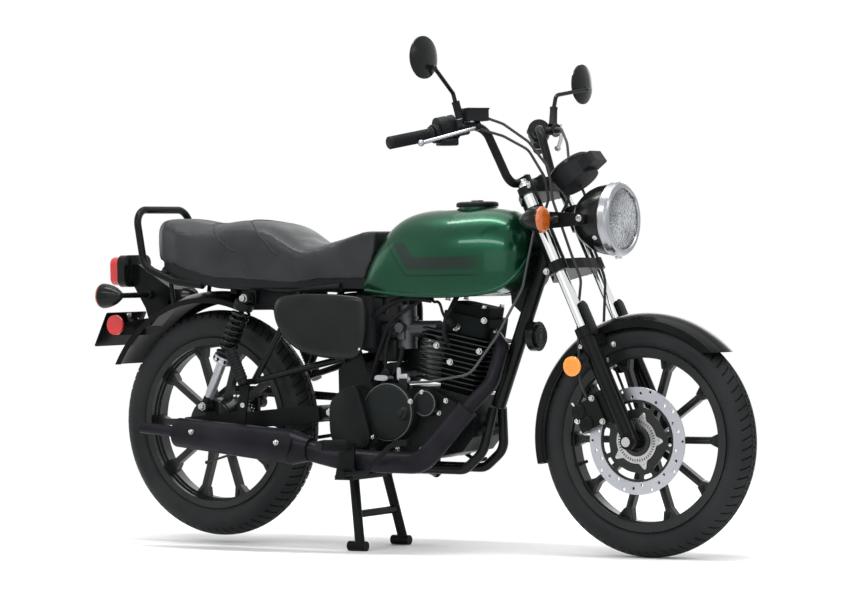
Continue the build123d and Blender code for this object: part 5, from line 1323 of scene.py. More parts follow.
@dataclass
class Headlight:
    """The bowl's fittings, the reflector behind the glass and the glass itself."""

    lens: float = 0.0755
    bulb: float = 0.016
    screw_places: tuple[Spot, ...] = ((0.5585, -0.0965, 0.8535), (0.5555, 0.0965, 0.851))
    rim_screws: tuple[Spot, ...] = ((0.590, -0.0778, 0.8037), (0.590, 0.0778, 0.8037))

    def build(self) -> None:
        """Build the lamp."""
        dress(GLOSS_PLASTIC, "headlight_shell")
        dress(POLISHED, "headlight_ring")
        low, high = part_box("headlight_lens")
        centre = middle("headlight_lens")
        depth = high.x - low.x
        where = place((low.x, 0, centre.z), (1, 0, 0))
        # The reflector's dark patches are painted reflections, the mottle seen through the fluted glass.
        mirror = Piece("headlight_reflector", REFLECTOR_PAINTED_MOTTLE, STEERING, "chrome")
        bowl = [(0.014, 0.0008)] + [(0.014 + (self.lens - 0.017) * k / 12, 0.0008 + 0.0145 * (k / 12) ** 2)
                                    for k in range(1, 13)]
        mirror.put(lathe(bowl + [(self.lens - 0.001, 0.0153), (self.lens - 0.001, 0.0), (0.014, 0.0)], 64, True),
                   where)
        mirror.put(lathe([(0, 0.0005), (self.bulb, 0.0005), (self.bulb, 0.014), (self.bulb - 0.003, 0.017),
                          (0, 0.018)], 32),
                   where)
        mirror.done()
        edge = depth - 0.009
        dome = [(self.lens * math.sin(a), edge + 0.0085 * math.cos(a) ** 2)
                for a in (k * math.pi / 20 for k in range(11))]
        inner = [(r * 0.975, h - 0.0028) for r, h in reversed(dome)]
        glass = Piece("headlight_glass", CLEAR, STEERING, "clear_lens")
        glass.put(lathe(dome + inner, 72), where)
        glass.done(50.0, ["headlight_lens"])
        trim = Piece("headlight_screws", ZINC, STEERING, "bare_steel")
        for x, y, z in self.screw_places:
            side = math.copysign(1, y)
            trim.screw(Head.SOCKET, 0.0085, (x, y - side * 0.001, z), (0, side, 0))
        for x, y, z in self.rim_screws:
            side = math.copysign(1, y)
            trim.screw(Head.CROSS, 0.0065, (x, y, z), (0.1, side, -0.45))
        lip = Vector((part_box("headlight_ring")[0].x + 0.008, 0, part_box("headlight_ring")[0].z))
        trim.put(brick((0.014, 0.012, 0.012), 0.002), Matrix.Translation(lip + Vector((0, 0, 0.001))))
        trim.done()


@dataclass
class Gauge:
    """The round instrument: bezel, dial with figures, needle, glass and tell-tales."""

    tilt: float = 37.0
    origin: Spot = (0.478, 0.0, 0.986)
    radius: float = 0.057
    dial: float = 0.05
    marks: int = 29
    sweep: float = 250.0
    figures: tuple[int, ...] = (0, 20, 40, 60, 80, 100, 120, 140)

    def frame(self) -> Matrix:
        """Return the placement of the dial, whose X points forward and Z out of its face."""
        lean = math.radians(self.tilt)
        return place(self.origin, (-math.sin(lean), 0, math.cos(lean)), (math.cos(lean), 0, math.sin(lean)))

    def mark_angle(self, share: float) -> float:
        """Return the angle of a mark, from the left of the dial round by the front."""
        return math.radians(self.sweep / 2 - share * self.sweep)

    def build(self) -> None:
        """Build the instrument."""
        dress(BLACK_PLASTIC, "gauge")
        where = self.frame()
        bezel = Piece("gauge_bezel", GLOSS_PLASTIC, STEERING, "gloss_plastic")
        bezel.put(lathe([(self.radius + 0.001, -0.004), (self.radius + 0.001, 0.003), (self.radius - 0.002, 0.006),
                         (self.dial + 0.001, 0.004), (self.dial, 0.0005), (self.dial, -0.004)], 72, True), where)
        bezel.done()
        face = Piece("gauge_dial", DIAL_BLACK, STEERING)
        face.put(bar(self.dial + 0.0005, 0.0006, steps=64), where)
        face.done()
        ink = Piece("gauge_marks", DIAL_WHITE, STEERING)
        for index in range(self.marks):
            angle = self.mark_angle(index / (self.marks - 1))
            long = 0.007 if index % 4 == 0 else 0.004
            spoke = Matrix.Rotation(angle, 4, "Z") @ Matrix.Translation((self.dial - 0.003 - long / 2, 0, 0.0008))
            ink.put(brick((long, 0.0009, 0.0003), 0.0001, 1), where @ spoke)
        for number, value in enumerate(self.figures):
            angle = self.mark_angle(number / (len(self.figures) - 1))
            spot = Vector((0.033 * math.cos(angle), 0.033 * math.sin(angle), 0.0007))
            ink.put(self.figure(str(value)),
                    where @ Matrix.Translation(spot) @ Matrix.Rotation(-math.pi / 2, 4, "Z"))
        ink.put(brick((0.011, 0.026, 0.0004), 0.0001, 1), where @ Matrix.Translation((-0.026, 0, 0.0007)))
        ink.done()
        hand = Piece("gauge_needle", NEEDLE_RED, STEERING)
        turn = Matrix.Rotation(self.mark_angle(0.0), 4, "Z")
        hand.put(brick((0.038, 0.0016, 0.0008), 0.0003, 1), where @ turn @ Matrix.Translation((0.015, 0, 0.0022)))
        hand.put(bar(0.0055, 0.0028, ease=0.0006), where @ Matrix.Translation((0, 0, 0.0006)))
        hand.done()
        glass = Piece("gauge_glass", GAUGE_GLASS, STEERING, "clear_lens")
        glass.put(lathe([(0, 0.0052), (self.dial * 0.5, 0.005), (self.dial + 0.0005, 0.0042),
                         (self.dial + 0.0005, 0.0032),
                         (self.dial * 0.5, 0.004), (0, 0.0042)], 64), where)
        glass.done()
        for number, finish in enumerate((SIGNAL_GREEN, AMBER, SIGNAL_BLUE, RED)):
            lamp = Piece(f"gauge_telltale_{number + 1}", finish, STEERING)
            lamp.put(lathe([(0, 0), (0.0042, 0), (0.0042, 0.0008), (0, 0.0016)], 20),
                     where @ Matrix.Translation((0.068, 0.024 - 0.016 * number, -0.0142)))
            lamp.done()

    def figure(self, text: str) -> Mesh:
        """Return a number as a thin solid centred on the origin.

        Args:
            text: The number's digits.

        Returns:
            The new mesh.
        """
        curve = bpy.data.curves.new("figure", "FONT")
        curve.body = text
        curve.size = 0.0075
        curve.extrude = 0.00012
        curve.align_x = "CENTER"
        curve.align_y = "CENTER"
        return solid_of(curve)


@dataclass
class Handlebar:
    """Grips, switches, reservoir lid, levers and mirror glasses."""

    bar_radius: float = 0.0111
    end: Spot = (0.171, 0.366, 1.05)
    bend: Spot = (0.307, 0.140, 1.098)
    lever: tuple[Spot, ...] = ((0.214, 0.056, -0.002), (0.158, 0.062, -0.008),
                                                     (0.064, 0.05, -0.014))
    grip_length: float = 0.122
    grip_radius: float = 0.0162
    ridges: int = 30
    mirror_radius: float = 0.0495
    mirror_yaws: Pair = (6.0, 0.0)
    mirror_centres: tuple[Spot, ...] = ((0.290, -0.382, 1.257), (0.300, 0.388, 1.217))
    boot: tuple[Spot, Spot] = ((0.2965, 0.229, 1.103), (0.291, 0.2445, 1.152))

    def on_bar(self, side: int, inward: float, ahead: float = 0.0, above: float = 0.0) -> Vector:
        """Return a point beside the bar's tube.

        Args:
            side: -1 for the right side, 1 for the left.
            inward: Distance in from the bar's end.
            ahead: Distance ahead of the tube.
            above: Distance above it.

        Returns:
            The point.
        """
        run = self.run(side)
        level = Vector((-run.y * side, run.x * side, 0)).normalized()
        end = Vector((self.end[0], side * self.end[1], self.end[2]))
        return end + run * inward + level * ahead + Vector((0, 0, above))

    def run(self, side: int) -> Vector:
        """Return the direction of the bar from its end inwards."""
        way = Vector(self.bend) - Vector(self.end)
        return Vector((way.x, side * way.y, way.z)).normalized()

    def build(self) -> None:
        """Build the controls."""
        dress(BLACK_PLASTIC, "controls")
        dress(GLOSS_PLASTIC, "mirrors")
        sleeves = Piece("ribbed_grips", RUBBER, STEERING, "rubber")
        step = (self.grip_length - 0.018) / self.ridges
        profile = [(0, -0.004), (self.grip_radius - 0.003, -0.004), (self.grip_radius, -0.001)]
        for index in range(self.ridges):
            start = 0.006 + index * step
            profile += [(self.grip_radius, start), (self.grip_radius, start + step * 0.5),
                        (self.grip_radius - 0.0011, start + step * 0.6),
                        (self.grip_radius - 0.0011, start + step * 0.9)]
        profile += [(self.grip_radius, self.grip_length - 0.01),
                    (self.grip_radius + 0.004, self.grip_length - 0.006),
                    (self.grip_radius + 0.004, self.grip_length - 0.002), (self.grip_radius, self.grip_length),
                    (self.bar_radius, self.grip_length)]
        for side in SIDES:
            sleeves.put(lathe(profile, 32), place(self.on_bar(side, 0), self.run(side)))
        sleeves.done(25.0, ["grips"])
        blades = Piece("lever_blades", POLISHED, STEERING, "aluminium")
        for side in SIDES:
            way = [self.on_bar(side, *spot) for spot in self.lever]
            blades.put(hose(way, 0.0052))
            ball = bmesh.new()
            bmesh.ops.create_uvsphere(ball, u_segments=20, v_segments=12, radius=0.0085)
            blades.put(ball, Matrix.Translation(way[-1]))
        blades.done(60.0, ["levers"])
        self.switches()
        self.glasses()

    def switches(self) -> None:
        """Add the switch buttons, the reservoir's lid and the small screws."""
        trim = Piece("switch_buttons", GLOSS_PLASTIC, STEERING, "gloss_plastic")
        bright = Piece("control_screws", ZINC, STEERING, "bare_steel")
        for side in SIDES:
            run = self.run(side)
            for inward, size in ((0.136, 0.009), (0.150, 0.007), (0.160, 0.006)):
                foot = self.on_bar(side, inward + 0.012, -0.0275, 0.012)
                trim.put(brick((size, 0.010, 0.006), 0.0015), place(foot, (-1, 0, 0.3), run))
            trim.put(brick((0.052, 0.034, 0.022), 0.005),
                     place(self.on_bar(side, 0.164, 0.0, -0.026), (0, 0, 1), run))
            bright.screw(Head.HEX, 0.0062, self.on_bar(side, 0.207, 0.054, 0.0125), (0, 0, 1))
            bright.screw(Head.CROSS, 0.003, self.on_bar(side, 0.158, 0.008, 0.0378), (0, 0, 1))
            trim.put(lathe([(0.0115, 0), (0.0135, 0.001), (0.0135, 0.009), (0.0115, 0.01)], 24, True),
                     place(self.on_bar(side, 0.222, 0.044, 0.002), run))
        run = self.run(-1)
        where = place(self.on_bar(-1, 0.221, 0.046, 0.027), (0, 0, 1), (run.x, run.y, 0))
        trim.put(brick((0.062, 0.046, 0.005), 0.002), where @ Matrix.Translation((0, 0, 0.0165)))
        for x, y in ((-0.023, -0.014), (0.023, 0.014)):
            bright.put(screw(Head.CROSS, 0.0034), where @ Matrix.Translation((x, y, 0.0188)))
        trim.done()
        bright.done()

    def glasses(self) -> None:
        """Add the mirrors' glasses and the nuts at the feet of their stems."""
        glass = Piece("mirror_glasses", MIRROR_GLASS, STEERING, "chrome")
        nuts = Piece("mirror_nuts", ZINC, STEERING, "bare_steel")
        sleeves = Piece("mirror_boots", RUBBER, STEERING, "rubber")
        for side, centre, degrees in zip(SIDES, self.mirror_centres, self.mirror_yaws):
            yaw = math.radians(degrees)
            foot, tip = (Vector((p[0], side * p[1], p[2])) for p in self.boot)
            sleeves.put(lathe([(0.006, 0), (0.0125, 0), (0.0125, 0.004), (0.0108, 0.008), (0.0098, 0.044),
                               (0.0104, 0.047), (0.0104, 0.051), (0.006, 0.051)], 28, True),
                        place(foot, tip - foot))
            facing = Vector((math.cos(yaw), side * math.sin(yaw), 0))
            glass.put(lathe([(0, 0), (self.mirror_radius, 0), (self.mirror_radius, 0.0006),
                             (self.mirror_radius - 0.001, 0.0011),
                             (0, 0.0014)], 56), place(Vector(centre) - facing * 0.0089, -facing))
            nuts.screw(Head.HEX, 0.0085, (0.2955, side * 0.2325, 1.1085), (-0.1, side * 0.28, 0.95))
        glass.done()
        nuts.done()
        sleeves.done()


@dataclass
class Signals:
    """A pair of bullet turn signals with amber lenses.

    Attributes:
        node: The CAD node that they stand for.
        body: The body that they move with.
        facing: 1 if the lenses face forward, -1 if they face back.
        root: Place across of the stalk's inner end.
        stalk_x: Place forward of the stalk's inner end.
    """

    node: str
    body: str
    facing: int
    root: float
    stalk_x: float
    across: float = 0.170
    back: float = 0.062

    def build(self) -> None:
        """Build both lamps."""
        low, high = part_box(self.node)
        lens_x = (high.x - 0.012) if self.facing > 0 else (low.x + 0.012)
        level = middle(self.node).z
        shell = Piece(f"{self.node}_bodies", GLOSS_PLASTIC, self.body, "gloss_plastic")
        glass = Piece(f"{self.node}_lenses", AMBER, self.body)
        bowl = [(0, -self.back), (0.008, -self.back), (0.0135, -0.0555), (0.0185, -0.048), (0.0235, -0.040),
                (0.028, -0.029), (0.0315, -0.017), (0.0335, -0.006), (0.034, -0.001), (0.0335, 0.0005),
                (0.031, 0.0005),
                (0.031, -0.002), (0, -0.002)]
        cap = [(0, -0.001), (0.0308, -0.001), (0.0332, 0.0008), (0.0332, 0.003)]
        cap += [(0.0332 * math.cos(k * math.pi / 16),
                 0.003 + 0.0088 * math.sin(k * math.pi / 16)) for k in range(1, 9)]
        for side in SIDES:
            centre = Vector((lens_x, side * self.across, level))
            where = place(centre, (self.facing, 0, 0), (0, 0, 1))
            shell.put(lathe(bowl, 48), where)
            glass.put(lathe(cap, 48), where)
            foot = Vector((self.stalk_x, side * self.root, level))
            tip = centre - Vector((self.facing * 0.045, 0, 0))
            shell.put(bar(0.008, (tip - foot).length, 0.007, ease=0.001), place(foot, tip - foot))
            shell.put(bar(0.0125, 0.012, 0.0105, ease=0.001), place(foot, tip - foot))
        shell.done(replaces=[self.node])
        glass.done(40.0)


# ---------------------------------------------------------------- tank, seat and panels
def along(table: Sequence[Point], x: float) -> float:
    """Return the value that a table has at a place.

    Args:
        table: Places, each with its value.
        x: The place.

    Returns:
        The value, on a straight line between the two nearest places.
    """
    rows = sorted(table)
    if x <= rows[0][0]:
        return rows[0][1]
    for (x0, v0), (x1, v1) in zip(rows, rows[1:]):
        if x <= x1:
            return v0 + (v1 - v0) * (x - x0) / (x1 - x0)
    return rows[-1][1]


def rounded(outline: Sequence[Point], passes: int = 3) -> list[Point]:
    """Return a closed outline with its corners cut again and again into curves.

    Args:
        outline: The outline's points in order.
        passes: How many times every corner is cut.

    Returns:
        The new outline.
    """
    loop = [tuple(point) for point in outline]
    for _ in range(passes):
        cut = []
        for (ax, ay), (bx, by) in zip(loop, loop[1:] + loop[:1]):
            cut += [(0.8 * ax + 0.2 * bx, 0.8 * ay + 0.2 * by), (0.2 * ax + 0.8 * bx, 0.2 * ay + 0.8 * by)]
        loop = cut
    return loop


def shield(outline: Sequence[Point], wall: float, depth: float, rings: int = 14) -> Mesh:
    """Return a panel that stands on an outline and swells gently towards its middle.

    Args:
        outline: Its closed outline.
        wall: Height of its upright wall.
        depth: Height of its middle.
        rings: Rows of faces from the wall to the middle.

    Returns:
        The new mesh.
    """
    part = bmesh.new()
    cx = sum(x for x, _ in outline) / len(outline)
    cy = sum(y for _, y in outline) / len(outline)
    rows = [(1.0, 0.0), (1.0, wall)]
    for ring in range(1, rings):
        share = 1 - (ring / rings) ** 2.2
        rows.append((share, wall + (depth - wall) * (1 - share ** 7) ** 0.6))
    loops = [[part.verts.new((cx + (x - cx) * s, cy + (y - cy) * s, h)) for x, y in outline] for s, h in rows]
    for low, high in zip(loops, loops[1:]):
        for index in range(len(outline)):
            after = (index + 1) % len(outline)
            part.faces.new((low[index], low[after], high[after], high[index]))
    part.faces.new(loops[-1])
    part.faces.new(list(reversed(loops[0])))
    return part


@dataclass
class Tank:
    """The tank's paint, its rolled bottom seam and its cap.

    Attributes:
        seam: Places along the seam, each with its height and its distance from the middle.
        seam_front: Where the seam turns across at the front, on the left.
        seam_radius: Radius of the rolled edge.
        cap: Centre of the filler cap's lid.
    """

    seam: tuple[Spot, ...] = (
        (-0.098, 0.681, 0.081), (-0.072, 0.678, 0.0885), (-0.016, 0.671, 0.0985), (0.09, 0.665, 0.1135),
        (0.196, 0.664, 0.123), (0.28, 0.669, 0.117), (0.335, 0.685, 0.102), (0.364, 0.719, 0.078),
        (0.377, 0.757, 0.05),
    )
    seam_front: Spot = (0.381, 0.028, 0.768)
    seam_radius: float = 0.0062
    cap: Spot = (0.2, 0.0, 0.904)

    def build(self) -> None:
        """Build the tank's looks."""
        dress(GREEN_PAINT, "fuel_tank")
        dress(BLACK_PLASTIC, "fuel_cap")
        edge = Piece("tank_seam", GREEN_PAINT, CHASSIS, "green_paint")
        right = [(x, -y, z) for x, z, y in self.seam]
        left = [(x, y, z) for x, z, y in reversed(self.seam)]
        x, y, z = self.seam_front
        edge.put(hose([*right, (x, -y, z), (x, y, z), *left], self.seam_radius, 6))
        edge.done(60.0)
        lid = Piece("fuel_cap_lid", BLACK_PLASTIC, CHASSIS, "black_plastic")
        where = place(self.cap, (0, 0, 1))
        lid.put(lathe([(0, 0.001), (0.016, 0.001), (0.016, 0.0032), (0.0135, 0.0042), (0, 0.0045)], 40), where)
        lid.put(lathe([(0.030, 0.0008), (0.044, 0.0006), (0.0525, -0.0015), (0.0548, -0.0045), (0.0548, -0.0105),
                       (0.0535, -0.0129), (0.051, -0.0129), (0.051, -0.004), (0.030, -0.001)], 72, True), where)
        lid.done()
        lock = Piece("fuel_cap_lock", ZINC, CHASSIS, "bare_steel")
        lock.put(brick((0.011, 0.002, 0.0012), 0.0003, 1), where @ Matrix.Translation((0, 0, 0.0048)))
        lock.put(lathe([(0.0135, 0.0038), (0.0158, 0.003), (0.0158, 0.0044), (0.014, 0.005)], 40, True), where)
        lock.done()


@dataclass
class Seat:
    """The seat: a blown-up cover held at its seams, and the piping along them.

    Attributes:
        top: Height of the seat along its middle, from front to back.
        plan: Half width along it.
        voxel: Size of the faces that the cover starts from.
        crown: How far its shoulders lie below its middle.
        pressure: Air pressure that swells the cover.
        frames: How long it swells.
        limit: Furthest that a point may move.
        seam_drop: Depth of the side seam below the shoulder.
        piping: Radius of the piping.
        nose: Place ahead of which the cover is fixed beside the tank.
        hold: How near to a seam the cover is fixed.
        step: Place of the hollow between rider and pillion, and how far it bows.
        ridge: The seam over the step, from the middle to one side.
        seams: The other seams of one side.
        skirt: Places along the base strip, each with its lowest and highest point.
        inner_panel: Outline of the panel behind a shock's top.
    """

    top: tuple[Pair, ...] = (
        (-0.066, 0.834), (-0.148, 0.826), (-0.214, 0.810), (-0.286, 0.801), (-0.344, 0.830), (-0.397, 0.857),
        (-0.457, 0.866), (-0.504, 0.866), (-0.579, 0.858), (-0.647, 0.862), (-0.709, 0.875), (-0.764, 0.880),
        (-0.806, 0.872), (-0.824, 0.846),
    )
    plan: tuple[Pair, ...] = (
        (-0.06, 0.074), (-0.15, 0.092), (-0.286, 0.112), (-0.4, 0.126), (-0.6, 0.128), (-0.688, 0.120),
        (-0.742, 0.104), (-0.772, 0.076), (-0.802, 0.038), (-0.822, 0.012),
    )
    voxel: float = 0.0075
    crown: float = 0.017
    pressure: float = 4.0
    frames: int = 20
    limit: float = 0.008
    seam_drop: float = 0.036
    piping: float = 0.0024
    nose: float = -0.17
    hold: float = 0.006
    step: Pair = (-0.306, 0.03)
    ridge: tuple[Spot, ...] = ((-0.496, 0.0, 0.87), (-0.48, 0.055, 0.866), (-0.435, 0.1, 0.845),
                                                     (-0.385, 0.124, 0.812), (-0.35, 0.13, 0.776))
    seams: tuple[tuple[Spot, ...], ...] = (
        ((-0.602, 0.0, 0.87), (-0.597, 0.06, 0.862), (-0.56, 0.108, 0.835), (-0.487, 0.13, 0.79)),
        ((-0.45, 0.132, 0.755), (-0.437, 0.132, 0.73), (-0.425, 0.13, 0.712)),
        ((-0.31, 0.128, 0.741), (-0.296, 0.126, 0.72), (-0.285, 0.122, 0.705)),
    )
    skirt: tuple[Spot, ...] = (
        (-0.09, 0.684, 0.712), (-0.16, 0.686, 0.712), (-0.23, 0.688, 0.712), (-0.3, 0.69, 0.708),
        (-0.4, 0.692, 0.714),
        (-0.5, 0.695, 0.722), (-0.594, 0.7, 0.734), (-0.65, 0.709, 0.746), (-0.7, 0.726, 0.764),
        (-0.738, 0.748, 0.776),
    )
    inner_panel: tuple[Pair, ...] = ((-0.5, 0.7), (-0.33, 0.7), (-0.33, 0.632), (-0.47, 0.632))

    def half(self, x: float) -> float:
        """Return the seat's half width at a place."""
        return along(self.plan, x)

    def seam_height(self, x: float) -> float:
        """Return the side seam's height at a place."""
        return along(self.top, x) - self.seam_drop

    def step_x(self, y: float) -> float:
        """Return where the seam between rider and pillion crosses a lengthways line."""
        share = y / self.half(self.step[0])
        return self.step[0] - self.step[1] * (1 - share * share)

    def held(self, point: Vector) -> bool:
        """Tell whether the cover is fixed at a point: at its seams, below and beside the tank.

        Args:
            point: The point.

        Returns:
            True if it is fixed there.
        """
        x, y, z = point
        seam = self.seam_height(x)
        if x > self.nose or z < seam - 0.055:
            return True
        if abs(z - seam) < self.hold and abs(y) > self.half(x) - 0.02:
            return True
        return z > seam and abs(x - self.step_x(y)) < self.hold

    def shape(self, data: bpy.types.Mesh) -> None:
        """Crown the flat top and draw the shoulders in.

        Args:
            data: The cover's mesh, which is moved.
        """
        for vert in data.vertices:
            x, y, z = vert.co
            rise = min(max((z - along(self.top, x) + 0.06) / 0.06, 0.0), 1.0)
            share = min(abs(y) / self.half(x), 1.0)
            fade = min(max((-0.1 - x) / 0.08, 0.0), 1.0)
            vert.co.z -= self.crown * fade * rise * share ** 4
            vert.co.y *= 1 - 0.05 * fade * rise ** 2

    def evaluated(self, carrier: bpy.types.Object) -> bpy.types.Mesh:
        """Return an object's mesh with its modifiers applied.

        Args:
            carrier: The object.

        Returns:
            The new mesh.
        """
        depsgraph = bpy.context.evaluated_depsgraph_get()
        depsgraph.update()
        return bpy.data.meshes.new_from_object(carrier.evaluated_get(depsgraph))

    def swell(self, carrier: bpy.types.Object) -> None:
        """Blow the cover up between its seams.

        Args:
            carrier: The object that holds the cover; its mesh is moved.
        """
        data = carrier.data
        pins = carrier.vertex_groups.new(name="held")
        pins.add([vert.index for vert in data.vertices if self.held(vert.co)], 1.0, "REPLACE")
        cloth = carrier.modifiers.new("swelling", "CLOTH")
        rules = cloth.settings
        rules.quality = 6
        rules.mass = 0.3
        rules.tension_stiffness = rules.compression_stiffness = 25.0
        rules.shear_stiffness = 12.0
        rules.bending_stiffness = 1.5
        rules.use_pressure = True
        rules.uniform_pressure_force = self.pressure
        rules.effector_weights.gravity = 0.0
        rules.vertex_group_mass = "held"
        cloth.collision_settings.use_collision = False
        cloth.point_cache.frame_start = 1
        cloth.point_cache.frame_end = self.frames
        scene = bpy.context.scene
        for number in range(1, self.frames + 1):
            scene.frame_set(number)
        blown = self.evaluated(carrier)
        for vert, after in zip(data.vertices, blown.vertices):
            move = after.co - vert.co
            if move.length > self.limit:
                move *= self.limit / move.length
            vert.co += move
        bpy.data.meshes.remove(blown)
        carrier.modifiers.remove(cloth)
        scene.frame_set(1)

    def build(self) -> None:
        """Build the seat."""
        carrier = bpy.data.objects.new("seat_cushion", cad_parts["seat"].data.copy())
        bpy.context.scene.collection.objects.link(carrier)
        remesh = carrier.modifiers.new("remesh", "REMESH")
        remesh.mode = "VOXEL"
        remesh.voxel_size = self.voxel
        weld = carrier.modifiers.new("ease", "SMOOTH")
        weld.iterations = 2
        data = self.evaluated(carrier)
        carrier.modifiers.clear()
        carrier.data = data
        self.shape(data)
        self.swell(carrier)
        cover = bmesh.new()
        cover.from_mesh(data)
        bmesh.ops.smooth_vert(cover, verts=[v for v in cover.verts if v.co.x < self.nose], factor=0.4,
                              use_axis_x=True, use_axis_y=True, use_axis_z=True)
        bmesh.ops.recalc_face_normals(cover, faces=cover.faces)
        cover.to_mesh(data)
        cover.free()
        finer = carrier.modifiers.new("finer", "SUBSURF")
        finer.levels = finer.render_levels = 1
        smooth = self.evaluated(carrier)
        carrier.modifiers.clear()
        smooth.materials.clear()
        smooth.materials.append(VINYL.material())
        for polygon in smooth.polygons:
            polygon.use_smooth = True
        carrier.data = smooth
        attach(carrier, CHASSIS)
        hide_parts("seat")
        self.sew(smooth)

    def sew(self, data: bpy.types.Mesh) -> None:
        """Add the piping along the seams, laid on the finished cover.

        Args:
            data: The finished cover.
        """
        tree = BVHTree.FromPolygons([v.co for v in data.vertices], [p.vertices for p in data.polygons])
        cord = Piece("seat_piping", PIPING, CHASSIS, "seat_cover")
        lines = [[*((x, -y, z) for x, y, z in reversed(self.ridge)), *self.ridge[1:]]]
        for side in SIDES:
            lines += [[(x, side * y, z) for x, y, z in seam] for seam in self.seams]
        for seam in lines:
            route = []
            for first, second in zip(seam, seam[1:]):
                for step in range(6):
                    route.append(tree.find_nearest(Vector(first).lerp(Vector(second), step / 6))[0])
            route.append(tree.find_nearest(Vector(seam[-1]))[0])
            cord.put(hose(route, self.piping, 3))
        cord.done(60.0)
        self.base()

    def base(self) -> None:
        """Add the black strip that closes the seat below, down to the frame's rails."""
        strip = Piece("seat_base_strip", BLACK_PLASTIC, CHASSIS, "black_plastic")
        for side in SIDES:
            part = bmesh.new()
            rows = []
            for x, low, high in self.skirt:
                out = self.half(x) - 0.004
                rows.append([part.verts.new((x, side * y, z)) for y, z in
                             ((out, low), (out, high), (out - 0.005, high), (out - 0.005, low))])
            for a, b in zip(rows, rows[1:]):
                for j in range(4):
                    part.faces.new((a[j], a[(j + 1) % 4], b[(j + 1) % 4], b[j]))
            part.faces.new(rows[0])
            part.faces.new(rows[-1])
            strip.put(part)
            strip.put(plate([self.inner_panel], 0.003), flat_on_side(0, side * 0.081, 0, side))
        strip.done()


@dataclass
class Panels:
    """Side covers, fenders, tail and their screws."""

    cover: tuple[Pair, ...] = (
        (-0.353, 0.640), (-0.336, 0.668), (-0.264, 0.675), (-0.148, 0.672), (-0.074, 0.664), (-0.062, 0.642),
        (-0.064, 0.566), (-0.078, 0.520), (-0.100, 0.502), (-0.184, 0.504), (-0.261, 0.518), (-0.316, 0.552),
        (-0.346, 0.600),
    )
    cover_in: float = 0.134
    cover_wall: float = 0.006
    cover_depth: float = 0.0165
    posts: tuple[Pair, ...] = ((-0.130, 0.640), (-0.290, 0.610))
    fender_bolts: tuple[Pair, ...] = ((0.6265, 0.5365), (0.607, 0.497))
    lens_ribs: int = 9
    lens_pitch: float = 0.0076

    def build(self) -> None:
        """Build the panels."""
        covers = Piece("side_panels", COVER_BLACK, CHASSIS, "satin_black")
        outline = rounded(self.cover)
        for side in SIDES:
            covers.put(shield(outline, self.cover_wall, self.cover_depth),
                       flat_on_side(0, side * self.cover_in, 0, side))
            for x, z in self.posts:
                covers.put(bar(0.007, self.cover_in - 0.082), place((x, side * 0.082, z), (0, side, 0)))
        covers.done(28.0, ["side_covers"])
        trim = Piece("panel_screws", ZINC, CHASSIS, "bare_steel")
        for side in SIDES:
            trim.screw(Head.CROSS, 0.0055, (-0.083, side * 0.1415, 0.530), (0, side, 0))
        trim.screw(Head.HEX, 0.006, (-0.9215, -0.02, 0.62), (-1, 0, 0.2))
        trim.done()
        front = Piece("front_fender_bolts", ZINC, STEERING, "bare_steel")
        for side in SIDES:
            for x, z in self.fender_bolts:
                front.screw(Head.HEX, 0.006, (x, side * 0.0585, z), (0, side, 0))
        front.done()
        ribs = Piece("tail_lens_ribs", RED, CHASSIS, "red_lens")
        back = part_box("tail_lens")[0].x
        half = self.lens_ribs // 2
        for row in range(-half, half + 1):
            z = 0.742 + row * self.lens_pitch
            ribs.put(brick((0.0016, 0.082 if abs(row) > 3 else 0.094, 0.0022), 0.0007, 1),
                     Matrix.Translation((back + 0.0002, 0, z)))
        ribs.done()


# ---------------------------------------------------------------- engine and exhaust
@dataclass(frozen=True)
class FinnedPaint(Finish):
    """Engine coating whose fin edges are lighter.

    Attributes:
        foot: The barrel's foot, in X and Z.
        lean: Degrees that the barrel leans forward.
        side: Place across of the fins' edges.
        fronts: Places forward of the fins' front edges, square to the barrel.
        edge_colour: Colour of the lighter edges.
    """

    foot: Pair = (0.147, 0.418)
    lean: float = 11.3
    side: float = 0.0697
    fronts: Pair = (0.0877, 0.1077)
    edge_colour: Colour = (0.04, 0.044, 0.044)

    def tint(self, graph: Graph, patches: Socket) -> Socket:
        """Return the coating's colour with its light edges.

        Args:
            graph: The graph to add its nodes to.
            patches: Slow noise over the surface.

        Returns:
            The colour.
        """
        base = super().tint(graph, patches)
        axes = graph.axes()
        lean = math.radians(self.lean)
        offset = -self.foot[0] * math.cos(lean) + self.foot[1] * math.sin(lean)
        ahead = graph.math("ADD", graph.math("MULTIPLY", axes["X"], math.cos(lean)),
                           graph.math("MULTIPLY_ADD", axes["Z"], -math.sin(lean), offset))
        edge = graph.math("GREATER_THAN", graph.math("ABSOLUTE", axes["Y"]), self.side)
        first = graph.math("COMPARE", ahead, self.fronts[0] + 0.0003, 0.0006)
        second = graph.math("GREATER_THAN", ahead, self.fronts[1])
        mask = graph.math("MAXIMUM", edge, graph.math("MAXIMUM", first, second))
        return graph.blend(graph.math("MULTIPLY", mask, graph.ramp(patches, 0.55, 1.0)), base, self.edge_colour)


FINNED_BLACK = FinnedPaint("finned_black_coating", (0.004, 0.0055, 0.0055), (0.008, 0.0095, 0.0095), 0.55, 0.08,
                           grain_scale=1600.0, depth=0.00005, specular=0.03)


